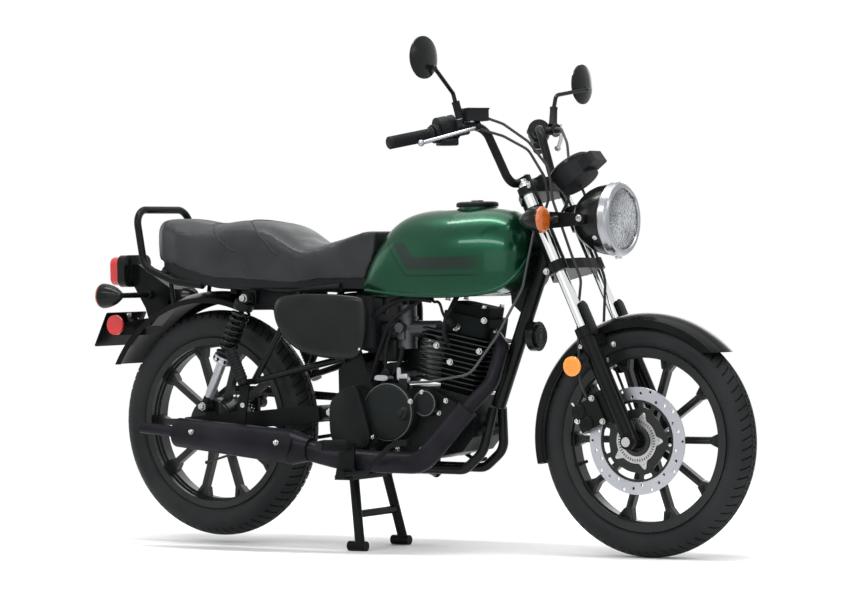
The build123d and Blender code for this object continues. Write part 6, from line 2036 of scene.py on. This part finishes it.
@dataclass
class Engine:
    """Bolts, caps, plug and small fittings of the engine."""

    cover_bolts: tuple[Pair, ...] = (
        (0.091, 0.416), (0.066, 0.393), (0.129, 0.363), (0.151, 0.394),
        (0.075, 0.268), (0.0, 0.268), (-0.052, 0.300),
    )
    head_bolts: tuple[Spot, ...] = ((0.112, -0.0705, 0.5355), (0.152, -0.0705, 0.493),
                                                          (0.241, -0.0705, 0.520), (0.251, -0.0605, 0.5985))
    hoses: tuple[tuple[float, tuple[Spot, ...]], ...] = (
        (0.0075, ((0.085, -0.05, 0.652), (0.03, -0.062, 0.662), (-0.03, -0.07, 0.648), (-0.08, -0.07, 0.612))),
        (0.006, ((-0.01, -0.044, 0.53), (-0.012, -0.05, 0.5), (-0.02, -0.062, 0.47), (-0.05, -0.07, 0.44),
                 (-0.075, -0.072, 0.418))),
        (0.005, ((0.06, -0.055, 0.655), (0.02, -0.066, 0.63), (-0.035, -0.07, 0.6), (-0.06, -0.068, 0.54),
                 (-0.082, -0.066, 0.49), (-0.1, -0.062, 0.44))),
        (0.0045, ((0.02, 0.02, 0.66), (0.0, -0.03, 0.628), (-0.04, -0.055, 0.575), (-0.05, -0.07, 0.52),
                  (-0.045, -0.072, 0.47))),
        (0.004, ((-0.02, 0.03, 0.61), (-0.05, 0.06, 0.58), (-0.07, 0.068, 0.52), (-0.08, 0.066, 0.45))),
    )
    pivot_cover: tuple[Pair, ...] = (
        (-0.174, 0.388), (-0.142, 0.419), (-0.104, 0.435), (-0.087, 0.43), (-0.065, 0.365), (-0.046, 0.296),
        (-0.074, 0.266), (-0.152, 0.27), (-0.173, 0.304),
    )
    fillers: tuple[tuple[Spot, float, Spot], ...] = (
        ((0.062, 0.085, 0.06), 0.008, (-0.062, 0.0, 0.522)),
        ((0.05, 0.03, 0.045), 0.006, (-0.078, -0.055, 0.640)),
        ((0.05, 0.04, 0.09), 0.006, (-0.01, 0.03, 0.513)),
    )
    generator: Pair = (0.052, 0.338)
    generator_bolts: float = 0.064

    def on_barrel(self, ahead: float, across: float, up: float) -> Vector:
        """Return a point given in the barrel's frame.

        Args:
            ahead: Distance ahead of the barrel's axis.
            across: Place across.
            up: Height above its foot.

        Returns:
            The point.
        """
        lean = math.radians(FINNED_BLACK.lean)
        x, z = FINNED_BLACK.foot
        return Vector((x + ahead * math.cos(lean) + up * math.sin(lean), across,
                       z - ahead * math.sin(lean) + up * math.cos(lean)))

    def barrel_way(self, ahead: float, up: float) -> Vector:
        """Return a direction given in the barrel's frame."""
        return self.on_barrel(ahead, 0, up) - self.on_barrel(0, 0, 0)

    def build(self) -> None:
        """Dress the engine and add its fittings."""
        dress(FINNED_BLACK, "engine_cylinder")
        dress(ENGINE_BLACK, "crankcase", "engine_covers")
        dress(DARK_ALLOY, "carburettor")
        bolts = Piece("engine_bolts", ZINC, CHASSIS, "bare_steel")
        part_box("engine_covers")  # stops the script if the frame has no covers to bolt down
        for x, z in self.cover_bolts:
            bolts.screw(Head.HEX, 0.0056, (x, self.surface(x, z, -1), z), (0, -1, 0))
        bolts.screws(Head.HEX, 0.0068, self.head_bolts, (0, -1, 0))
        cx, cz = self.generator
        for index in range(8):
            angle = TURN * (index + 0.5) / 8
            x, z = cx + self.generator_bolts * math.cos(angle), cz + self.generator_bolts * math.sin(angle)
            bolts.screw(Head.HEX, 0.0052, (x, self.surface(x, z, 1), z), (0, 1, 0))
        for index in range(4):
            ahead, across = (0.05 if index % 2 else -0.06), (0.045 if index // 2 else -0.045)
            bolts.screw(Head.HEX, 0.0065, self.on_barrel(ahead, across, 0.2265), self.barrel_way(0, 1))
        bolts.done()
        self.covers()
        self.plug()
        self.carburettor()

    def surface(self, x: float, z: float, side: int) -> float:
        """Return the place across of the engine's outer face over a point in side view.

        Args:
            x: The point's place forward.
            z: Its height.
            side: -1 for the right side, 1 for the left.

        Returns:
            The place across.
        """
        if not hasattr(self, "tree"):
            points, faces = [], []
            for name in ("engine_covers", "crankcase"):
                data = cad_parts[name].data
                start = len(points)
                points += [v.co for v in data.vertices]
                faces += [[start + i for i in p.vertices] for p in data.polygons]
            self.tree = BVHTree.FromPolygons(points, faces)
        hit = self.tree.ray_cast(Vector((x, side * 0.3, z)), Vector((0, -side, 0)))[0]
        return hit.y if hit else side * 0.095

    def covers(self) -> None:
        """Add the oil filler, the clutch arm, the raised rims and the sight of the covers; the rims and a bar along
        the pivot cover's edge are a lighter grey that paints their highlights.
        """
        black = Piece("engine_fittings", ENGINE_BLACK, CHASSIS, "engine_black")
        bright = Piece("engine_bright_fittings", ALUMINIUM, CHASSIS, "aluminium")
        y = self.surface(0.048, 0.3615, -1) - 0.004
        black.put(lathe([(0, 0), (0.017, 0), (0.017, 0.004), (0.0145, 0.007), (0.0145, 0.012), (0.012, 0.0135),
                         (0, 0.0135)],
                        32), place((0.048, y, 0.3615), (0, -1, 0)))
        black.put(brick((0.024, 0.005, 0.006), 0.0015),
                  place((0.048, y - 0.0145, 0.3615), (0, -1, 0), (0.6, 0, 0.8)))
        # The lighter grey rims round the domed covers and the bar along the pivot cover's edge are painted
        # highlights.
        painted_highlights = Piece("engine_edges_painted_highlight", PAINTED_HIGHLIGHT_GREY, CHASSIS, "engine_black")
        for centre, radius, rise in (((-0.006, 0.365), 0.073, 0.0075), ((0.096, 0.388), 0.031, 0.003)):
            y = self.surface(centre[0] + radius * 0.6, centre[1] - radius * 0.6, -1)
            where = place((centre[0], y, centre[1]), (0, -1, 0))
            black.put(lathe([(0, rise), *((radius * math.sin(a), rise * math.cos(a) ** 0.6)
                                          for a in (0.5, 0.8, 1.1, 1.3, 1.45)), (radius, -0.001)], 72), where)
            painted_highlights.put(lathe([(radius - 0.0012, -0.001), (radius + 0.0016, -0.001), (radius + 0.0016, 0.0008),
                              (radius, 0.0014)], 72, True), where)
        y = self.surface(-0.11, 0.35, -1)
        black.put(plate([rounded(self.pivot_cover, 2)], 0.011, 0.006), flat_on_side(0, y - 0.0045, 0, -1))
        cx, cz = self.generator
        y = self.surface(cx + 0.03, cz, 1)
        black.put(lathe([(0.046, -0.001), (0.053, -0.001), (0.0515, 0.0018), (0.0475, 0.0018)], 72, True),
                  place((cx, y, cz), (0, 1, 0)))
        black.put(lathe([(0, -0.001), (0.0165, -0.001), (0.0165, 0.002), (0.014, 0.004), (0, 0.004)], 36),
                  place((cx, self.surface(cx, cz, 1), cz), (0, 1, 0)))
        bright.put(plate([rounded([(-0.02, -0.006), (0.02, -0.006), (0.02, 0.006), (-0.008, 0.006), (-0.008, 0.03),
                                   (-0.02, 0.03)], 2)], 0.003), flat_on_side(0.036, -0.1115, 0.45, -1))
        bright.put(plate([rounded([(-0.022, -0.006), (0.02, -0.008), (0.022, 0.006), (-0.016, 0.008)], 2)], 0.004),
                   flat_on_side(-0.035, -0.1095, 0.453, -1))
        bright.put(bar(0.006, 0.03, ease=0.001), place((-0.018, -0.0865, 0.452), (0, -1, 0)))
        bright.put(brick((0.028, 0.014, 0.024), 0.003), Matrix.Translation((0.037, -0.112, 0.452)))
        # A lighter bar laid along the pivot cover's edge is its painted highlight.
        head, toe = Vector((-0.0845, y - 0.0105, 0.428)), Vector((-0.0455, y - 0.0105, 0.298))
        painted_highlights.put(brick(((head - toe).length, 0.004, 0.003), 0.0012),
                   place((head + toe) / 2, (0, -1, 0), head - toe))
        painted_highlights.done()
        black.done()
        bright.done()
        self.tangle()

    def tangle(self) -> None:
        """Add the starter, the hoses and the wiring between the air box and the cylinder."""
        black = Piece("starter_motor", ENGINE_BLACK, CHASSIS, "engine_black")
        black.put(bar(0.029, 0.12, ease=0.004), place((-0.04, -0.058, 0.4625), (0, 1, 0)))
        black.put(bar(0.013, 0.03, ease=0.002), place((-0.04, -0.085, 0.4625), (0, 1, 0)))
        for size, ease, centre in self.fillers:
            black.put(brick(size, ease), Matrix.Translation(centre))
        black.put(brick((0.05, 0.09, 0.19), 0.004),
                  place(self.on_barrel(-0.03, 0.01, 0.105), self.barrel_way(0, 1), self.barrel_way(1, 0)))
        black.done()
        loom = Piece("hoses_and_wiring", RUBBER, CHASSIS, "rubber")
        for radius, route in self.hoses:
            loom.put(hose(route, radius))
        loom.done(60.0)

    def plug(self) -> None:
        """Add the spark plug with its lead, and the hose beside the head."""
        seat = self.on_barrel(-0.01, -0.062, 0.165)
        out = Vector((-0.1, -0.75, 0.4)).normalized()
        cap = Piece("plug_cap", RUBBER, CHASSIS, "rubber")
        cap.put(lathe([(0, 0.012), (0.0085, 0.012), (0.0105, 0.016), (0.0105, 0.04), (0.0075, 0.046), (0, 0.047)],
                      24),
                place(seat, out))
        tip = seat + out * 0.042
        cap.put(hose([tip, tip + out * 0.02, tip + Vector((-0.02, -0.005, 0.05)), (0.09, -0.055, 0.645),
                      (0.075, -0.03, 0.668)], 0.0038))
        cap.put(hose([(0.145, -0.06, 0.533), (0.140, -0.082, 0.560), (0.150, -0.088, 0.60), (0.166, -0.075, 0.640),
                      (0.168, -0.05, 0.668)], 0.0068))
        cap.done()
        metal = Piece("spark_plug", ZINC, CHASSIS, "bare_steel")
        metal.screw(Head.HEX, 0.0095, seat, out)
        metal.put(bar(0.006, 0.014), place(seat, out))
        metal.done()

    def carburettor(self) -> None:
        """Add the carburettor's lid, bowl seam and screws."""
        trim = Piece("carburettor_trim", DARK_ALLOY, CHASSIS, "aluminium")
        where = place((-0.010, -0.018, 0.606), (0, 0, 1))
        trim.put(collar(0.025, 0.0285, -0.003, 0.003, 40), where)
        for x, y in ring_points(0.0265, 4, start=0.78):
            trim.put(screw(Head.CROSS, 0.0034), where @ Matrix.Translation((x, y, 0.003)))
        trim.put(collar(0.025, 0.0275, -0.0015, 0.0015, 40), place((-0.010, -0.018, 0.55), (0, 0, 1)))
        trim.put(brick((0.022, 0.008, 0.03), 0.002), Matrix.Translation((-0.012, -0.045, 0.566)))
        trim.done()


@dataclass
class Exhaust:
    """Coatings of the exhaust, and the guard on its silencer."""

    front: Spot = (-0.235, -0.190, 0.272)
    rear: Spot = (-0.632, -0.190, 0.309)
    front_radius: float = 0.046
    rear_radius: float = 0.039
    guard_start: float = 0.004
    guard_end: float = 0.372
    guard_half: float = 0.035
    guard_tilt: float = 14.0
    stand_off: float = 0.0045
    skin: float = 0.0018

    def spot(self, distance: float, angle: float, lift: float) -> Vector:
        """Return a point over the silencer.

        Args:
            distance: Distance back along its axis.
            angle: Angle above the level, looking along the machine.
            lift: Height over its skin.

        Returns:
            The point.
        """
        start, end = Vector(self.front), Vector(self.rear)
        run = (end - start).normalized()
        radius = self.front_radius + (self.rear_radius - self.front_radius) * distance / (end - start).length
        up = Vector((0, 1, 0)).cross(run).normalized()
        up = up if up.z > 0 else -up
        return start + run * distance + (radius + lift) * (Vector((0, -math.cos(angle), 0)) + up * math.sin(angle))

    def build(self) -> None:
        """Build the exhaust's looks."""
        dress(EXHAUST_BLACK, "exhaust_pipe", "muffler")
        guard = Piece("silencer_guard", EXHAUST_BLACK, CHASSIS, "satin_black")
        part = bmesh.new()
        length = self.guard_end - self.guard_start
        grids = []
        for lift in (self.stand_off, self.stand_off - self.skin):
            rows = []
            for i in range(61):
                share = 0.5 - 0.5 * math.cos(math.pi * i / 60)
                s = self.guard_start + length * share
                near = min(s - self.guard_start, self.guard_end - s)
                high = self.guard_half
                if near < self.guard_half:
                    high = math.sqrt(max(self.guard_half ** 2 - (self.guard_half - near) ** 2, 1e-8))
                radius = self.front_radius
                rows.append([part.verts.new(self.spot(s, math.radians(self.guard_tilt) + t / 8 * high / radius,
                                                      lift))
                             for t in range(-8, 9)])
            grids.append(rows)
        outer, inner = grids
        for rows in grids:
            for a, b in zip(rows, rows[1:]):
                for j in range(16):
                    part.faces.new((a[j], a[j + 1], b[j + 1], b[j]))
        for j in (0, 16):
            for i in range(60):
                part.faces.new((outer[i][j], outer[i + 1][j], inner[i + 1][j], inner[i][j]))
        for i in (0, 60):
            for j in range(16):
                part.faces.new((outer[i][j], outer[i][j + 1], inner[i][j + 1], inner[i][j]))
        guard.put(part)
        guard.done(40.0)
        bolts = Piece("exhaust_screws", ZINC, CHASSIS, "bare_steel")
        tilt = math.radians(self.guard_tilt)
        for distance in (self.guard_start + 0.045, self.guard_end - 0.045):
            foot = self.spot(distance, tilt, self.stand_off)
            bolts.screw(Head.HEX, 0.0058, foot, foot - self.spot(distance, tilt, 0))
            rest = self.spot(distance, tilt, -0.001)
            bolts.put(bar(0.006, self.stand_off), place(rest, foot - rest))
        bolts.screw(Head.HEX, 0.0078, (-0.4445, -0.1515, 0.381), (0, -1, 0))
        for x, z in ((0.262, 0.569), (0.262, 0.539)):
            bolts.screw(Head.HEX, 0.005, (x + 0.004, -0.034, z), (0.9, -0.2, -0.3))
        bolts.done()


# ---------------------------------------------------------------- rear end
@dataclass
class Shocks:
    """The two spring and damper units.

    Attributes:
        top: Upper eye, in X and Z.
        foot: Lower eye.
        across: Distance from the middle to a unit.
    """

    top: Pair = (-0.448, 0.664)
    foot: Pair = (-0.590, 0.376)
    across: float = 0.126
    coil_radius: float = 0.0222
    wire: float = 0.0041
    coil_start: float = 0.030
    coil_end: float = 0.170
    turns: float = 8.6

    def build(self) -> None:
        """Build both units."""
        black = Piece("shock_bodies", SATIN_BLACK, CHASSIS, "satin_black")
        springs = Piece("shock_springs", GLOSS_PLASTIC, CHASSIS, "satin_black")
        bright = Piece("shock_bright_parts", ALUMINIUM, CHASSIS, "aluminium")
        nuts = Piece("shock_nuts", ZINC, CHASSIS, "bare_steel")
        for side in SIDES:
            top = Vector((self.top[0], side * self.across, self.top[1]))
            foot = Vector((self.foot[0], side * self.across, self.foot[1]))
            reach = (foot - top).length
            down = place(top, foot - top, (0, side, 0))
            springs.put(coil(self.coil_radius, self.wire, self.coil_end - self.coil_start, self.turns),
                        down @ Matrix.Translation((0, 0, self.coil_start)))
            black.put(lathe([(0, 0.012), (0.0265, 0.012), (0.0268, 0.026), (0.0255, 0.030), (0.0075, 0.030),
                             (0.0075, 0.09), (0, 0.09)], 40), down)
            black.put(lathe([(0, 0.085), (0.0165, 0.085), (0.0165, 0.185), (0, 0.185)], 36), down)
            bright.put(lathe([(0.0165, 0.171), (0.0272, 0.171), (0.0272, 0.1765), (0.0255, 0.178), (0.0255, 0.181),
                              (0.0272, 0.1825), (0.0272, 0.188), (0.0255, 0.190), (0.0165, 0.190)], 48, True), down)
            for index in range(8):
                spoke = Matrix.Rotation(TURN * index / 8, 4, "Z") @ Matrix.Translation((0.0272, 0, 0.18))
                black.put(brick((0.002, 0.006, 0.010), 0.0006, 1), down @ spoke)
            bright.put(lathe([(0, 0.186), (0.0128, 0.186), (0.0128, 0.282), (0.0118, 0.288), (0.0118, 0.2935),
                              (0.0105, 0.2965), (0, 0.2965)], 40), down)
            for eye in (top, foot):
                black.put(collar(0.0062, 0.0155, -0.013, 0.013, 36), place(eye, (0, 1, 0)))
            black.put(brick((0.024, 0.020, 0.016), 0.003), down @ Matrix.Translation((0, 0, reach - 0.021)))
            nuts.screw(Head.HEX, 0.0092, top + Vector((0, side * 0.013, 0)), (0, side, 0))
            nuts.screw(Head.HEX, 0.0088, foot + Vector((0, side * 0.014, 0)), (0, side, 0))
        black.done(replaces=["shock_absorbers"])
        bright.done()
        nuts.done()
        springs.done(80.0)


@dataclass
class Chassis:
    """Frame paint and the small fittings low on the machine."""

    pegs: tuple[tuple[Spot, Spot, float], ...] = (
        ((-0.076, 0.206, 0.282), (-0.108, 0.296, 0.286), 0.013),
        ((-0.430, 0.172, 0.437), (-0.474, 0.172, 0.531), 0.014),
    )
    peg_ribs: int = 9
    pivot_nut: Spot = (-0.186, 0.1215, 0.362)
    horn_rings: tuple[float, ...] = (0.012, 0.02, 0.028)

    def build(self) -> None:
        """Dress the chassis and add its fittings."""
        dress(FRAME_BLACK, "frame_main", "frame_cradle", "frame_rear")
        dress(SATIN_BLACK, "swingarm", "centre_stand", "side_stand", "footpegs", "foot_controls", "grab_rail")
        dress(CAST_BLACK, "rear_brake")
        dress(ZINC, "rear_axle")
        dress(BLACK_PAINT, "front_fender", "rear_fender")
        dress(BLACK_PLASTIC, "chain_guard", "air_box")
        dress(GLOSS_PLASTIC, "horn", "tail_light")
        dress(RED, "tail_lens")
        dress(CABLE_GREY, "chassis_cables")
        rubber = Piece("peg_rubbers", RUBBER, CHASSIS, "rubber")
        for start, end, radius in self.pegs:
            for side in SIDES:
                foot, tip = (Vector((p[0], side * p[1], p[2])) for p in (start, end))
                run = (tip - foot).normalized()
                length = (tip - foot).length - 0.006
                profile = [(radius * 0.5, 0.014), (radius + 0.001, 0.014)]
                step = (length - 0.02) / self.peg_ribs
                for index in range(self.peg_ribs):
                    base = 0.016 + index * step
                    profile += [(radius + 0.0024, base), (radius + 0.0024, base + step * 0.55),
                                (radius + 0.0008, base + step * 0.65), (radius + 0.0008, base + step * 0.95)]
                profile += [(radius + 0.0012, length + 0.001), (radius * 0.5, length + 0.001)]
                rubber.put(lathe(profile, 28, True), place(foot, run))
        rubber.done(25.0)
        nuts = Piece("chassis_nuts", ZINC, CHASSIS, "bare_steel")
        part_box("rear_axle")  # stops the script if the frame has no rear axle
        x, y, z = self.pivot_nut
        for side in SIDES:
            nuts.screw(Head.HEX, 0.0105, (x, side * y, z), (0, side, 0))
        nuts.done()
        horn = Piece("horn_grille", BLACK_PLASTIC, CHASSIS, "black_plastic")
        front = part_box("horn")[1]
        centre = middle("horn")
        for radius in self.horn_rings:
            horn.put(collar(radius - 0.0012, radius + 0.0012, 0, 0.0014, 48),
                     place((front.x - 0.0004, centre.y, centre.z), (1, 0, 0)))
        horn.done()


# ---------------------------------------------------------------- studio
@dataclass
class Studio:
    """Camera, lights and floor."""

    position: Spot = (4.65374, -7.24957, 0.74956)
    azimuth: float = 32.43
    elevation: float = 0.65
    roll: float = -1.09
    lens: float = 137.95
    sensor: float = 36.0
    floor_half: float = 12.0
    floor_fade: Pair = (1.3, 3.2)
    sky: tuple[Pair, ...] = ((0.0, 0.3), (0.46, 0.3), (0.52, 0.35), (0.62, 0.4), (0.78, 0.7), (1.0, 1.0))
    sky_strength: float = 0.8
    lamps: tuple[tuple[str, Spot, Spot, Pair, float], ...] = (
        ("overhead_softbox", (0.2, 0.6, 3.2), (0, 0, 0.5), (3.6, 1.6), 34.0),
        ("shoulder_strip", (0.1, -0.4, 3.1), (0.1, 0, 0.75), (3.2, 0.3), 80.0),
        ("right_strip", (0.2, -2.7, 2.5), (0.1, 0, 0.75), (3.4, 0.3), 46.0),
        ("right_fill", (1.6, -4.6, 1.2), (0, 0, 0.5), (4.6, 2.2), 30.0),
        ("front_fill", (4.0, -0.6, 2.2), (0.3, 0, 0.6), (0.6, 2.2), 16.0),
        ("left_rim", (-0.8, 3.6, 2.0), (0, 0, 0.6), (2.8, 1.6), 30.0),
        ("rear_rim", (-3.6, -1.4, 1.6), (-0.4, 0, 0.6), (1.6, 1.6), 14.0),
    )

    def camera(self) -> None:
        """Stand the camera where the machine is seen from its front right."""
        a, e, r = (math.radians(v) for v in (self.azimuth, self.elevation, self.roll))
        back = Vector((math.sin(a) * math.cos(e), -math.cos(a) * math.cos(e), math.sin(e)))
        right = Vector((math.cos(a), math.sin(a), 0))
        up = back.cross(right)
        turned = (math.cos(r) * right + math.sin(r) * up, -math.sin(r) * right + math.cos(r) * up, back)
        data = bpy.data.cameras.new("camera")
        data.lens = self.lens
        data.sensor_width = self.sensor
        data.clip_end = 60.0
        camera = bpy.data.objects.new("camera", data)
        camera.matrix_world = Matrix.Translation(self.position) @ Matrix(turned).transposed().to_4x4()
        bpy.context.scene.collection.objects.link(camera)
        bpy.context.scene.camera = camera

    def light(self, name: str, position: Point, target: Point, size: Point, watts: float) -> None:
        """Add a rectangular soft light.

        Args:
            name: Name of the light.
            position: Where it stands.
            target: The point that it faces.
            size: Its two sides.
            watts: Its power.
        """
        data = bpy.data.lights.new(name, "AREA")
        data.shape = "RECTANGLE"
        data.size, data.size_y = size
        data.energy = watts
        lamp = bpy.data.objects.new(name, data)
        lamp.matrix_world = place(position, Vector(position) - Vector(target))
        bpy.context.scene.collection.objects.link(lamp)

    def world(self) -> None:
        """Surround the scene with white to look at, and light it softly from above."""
        world = bpy.data.worlds.new("studio")
        world.use_nodes = True
        nodes, links = world.node_tree.nodes, world.node_tree.links
        white = nodes["Background"]
        node_input(white, "Color", (1, 1, 1, 1))
        room = nodes.new("ShaderNodeBackground")
        spot = nodes.new("ShaderNodeTexCoord")
        split = nodes.new("ShaderNodeSeparateXYZ")
        links.new(spot.outputs["Generated"], split.inputs["Vector"])
        ramp = nodes.new("ShaderNodeValToRGB")
        while len(ramp.color_ramp.elements) < len(self.sky):
            ramp.color_ramp.elements.new(0.5)
        for element, (place_at, level) in zip(ramp.color_ramp.elements, self.sky):
            element.position = place_at
            element.color = (level, level, level, 1)
        height = nodes.new("ShaderNodeMath")
        height.operation = "MULTIPLY_ADD"
        links.new(split.outputs["Z"], height.inputs[0])
        height.inputs[1].default_value = 0.5
        height.inputs[2].default_value = 0.5
        links.new(height.outputs[0], ramp.inputs["Fac"])
        links.new(ramp.outputs["Color"], room.inputs["Color"])
        node_input(room, "Strength", self.sky_strength)
        rays = nodes.new("ShaderNodeLightPath")
        seen = rays.outputs["Is Camera Ray"]
        for name in ("Is Transmission Ray", "Is Glossy Ray"):
            either = nodes.new("ShaderNodeMath")
            either.operation = "MAXIMUM"
            links.new(seen, either.inputs[0])
            links.new(rays.outputs[name], either.inputs[1])
            seen = either.outputs[0]
        mix = nodes.new("ShaderNodeMixShader")
        links.new(seen, mix.inputs["Fac"])
        links.new(room.outputs["Background"], mix.inputs[1])
        links.new(white.outputs["Background"], mix.inputs[2])
        links.new(mix.outputs["Shader"], nodes["World Output"].inputs["Surface"])
        bpy.context.scene.world = world

    def floor(self) -> None:
        """Lay a white floor that keeps only the shadow under the machine."""
        part = bmesh.new()
        bmesh.ops.create_grid(part, x_segments=2, y_segments=2, size=self.floor_half)
        data = bpy.data.meshes.new("floor")
        part.to_mesh(data)
        part.free()
        graph = Graph("studio_floor")
        reach = graph.add("ShaderNodeVectorMath", operation="LENGTH")
        graph.link(graph.place, reach, 0)
        node_input(graph.shader, "Base Color", (0.93, 0.93, 0.935, 1.0))
        node_input(graph.shader, "Roughness", 0.9)
        node_input(graph.shader, "Specular IOR Level", 0.1)
        glow = graph.add("ShaderNodeEmission")
        node_input(glow, "Color", (1, 1, 1, 1))
        node_input(glow, "Strength", 1.0)
        far = graph.ramp(reach.outputs["Value"], 0.0, 1.0, *self.floor_fade)
        mix = graph.add("ShaderNodeMixShader")
        graph.link(far, mix, "Fac")
        graph.links.new(graph.shader.outputs["BSDF"], mix.inputs[1])
        graph.links.new(glow.outputs["Emission"], mix.inputs[2])
        graph.links.new(mix.outputs["Shader"], graph.nodes["Material Output"].inputs["Surface"])
        data.materials.append(graph.material)
        ground = bpy.data.objects.new("studio_floor", data)
        bpy.context.scene.collection.objects.link(ground)

    def build(self) -> None:
        """Build the studio."""
        bpy.context.scene.view_settings.view_transform = "Standard"
        self.camera()
        self.world()
        self.floor()
        for lamp in self.lamps:
            self.light(*lamp)


def main() -> None:
    """Build every sub-assembly round the CAD model."""
    logging.basicConfig(level=logging.INFO, format="%(name)s: %(message)s")
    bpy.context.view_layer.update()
    fork = Fork()
    parts = (
        Tyre("front_tyre", FRONT_WHEEL, 0.031),
        Tyre("rear_tyre", REAR_WHEEL, 0.037),
        Rim("front_rim", FRONT_WHEEL),
        Rim("rear_rim", REAR_WHEEL, valve_angle=342.0),
        FrontBrake(),
        FinalDrive(),
        fork,
        Headlight(),
        Gauge(),
        Handlebar(),
        Signals("front_signals", STEERING, 1, 0.098, 0.492),
        Signals("rear_signals", CHASSIS, -1, 0.028, -0.842),
        Tank(),
        Seat(),
        Panels(),
        Engine(),
        Exhaust(),
        Shocks(),
        Chassis(),
        Studio(),
    )
    for part in parts:
        part.build()
    Caliper().build(fork)


if __name__ == "__main__":
    main()
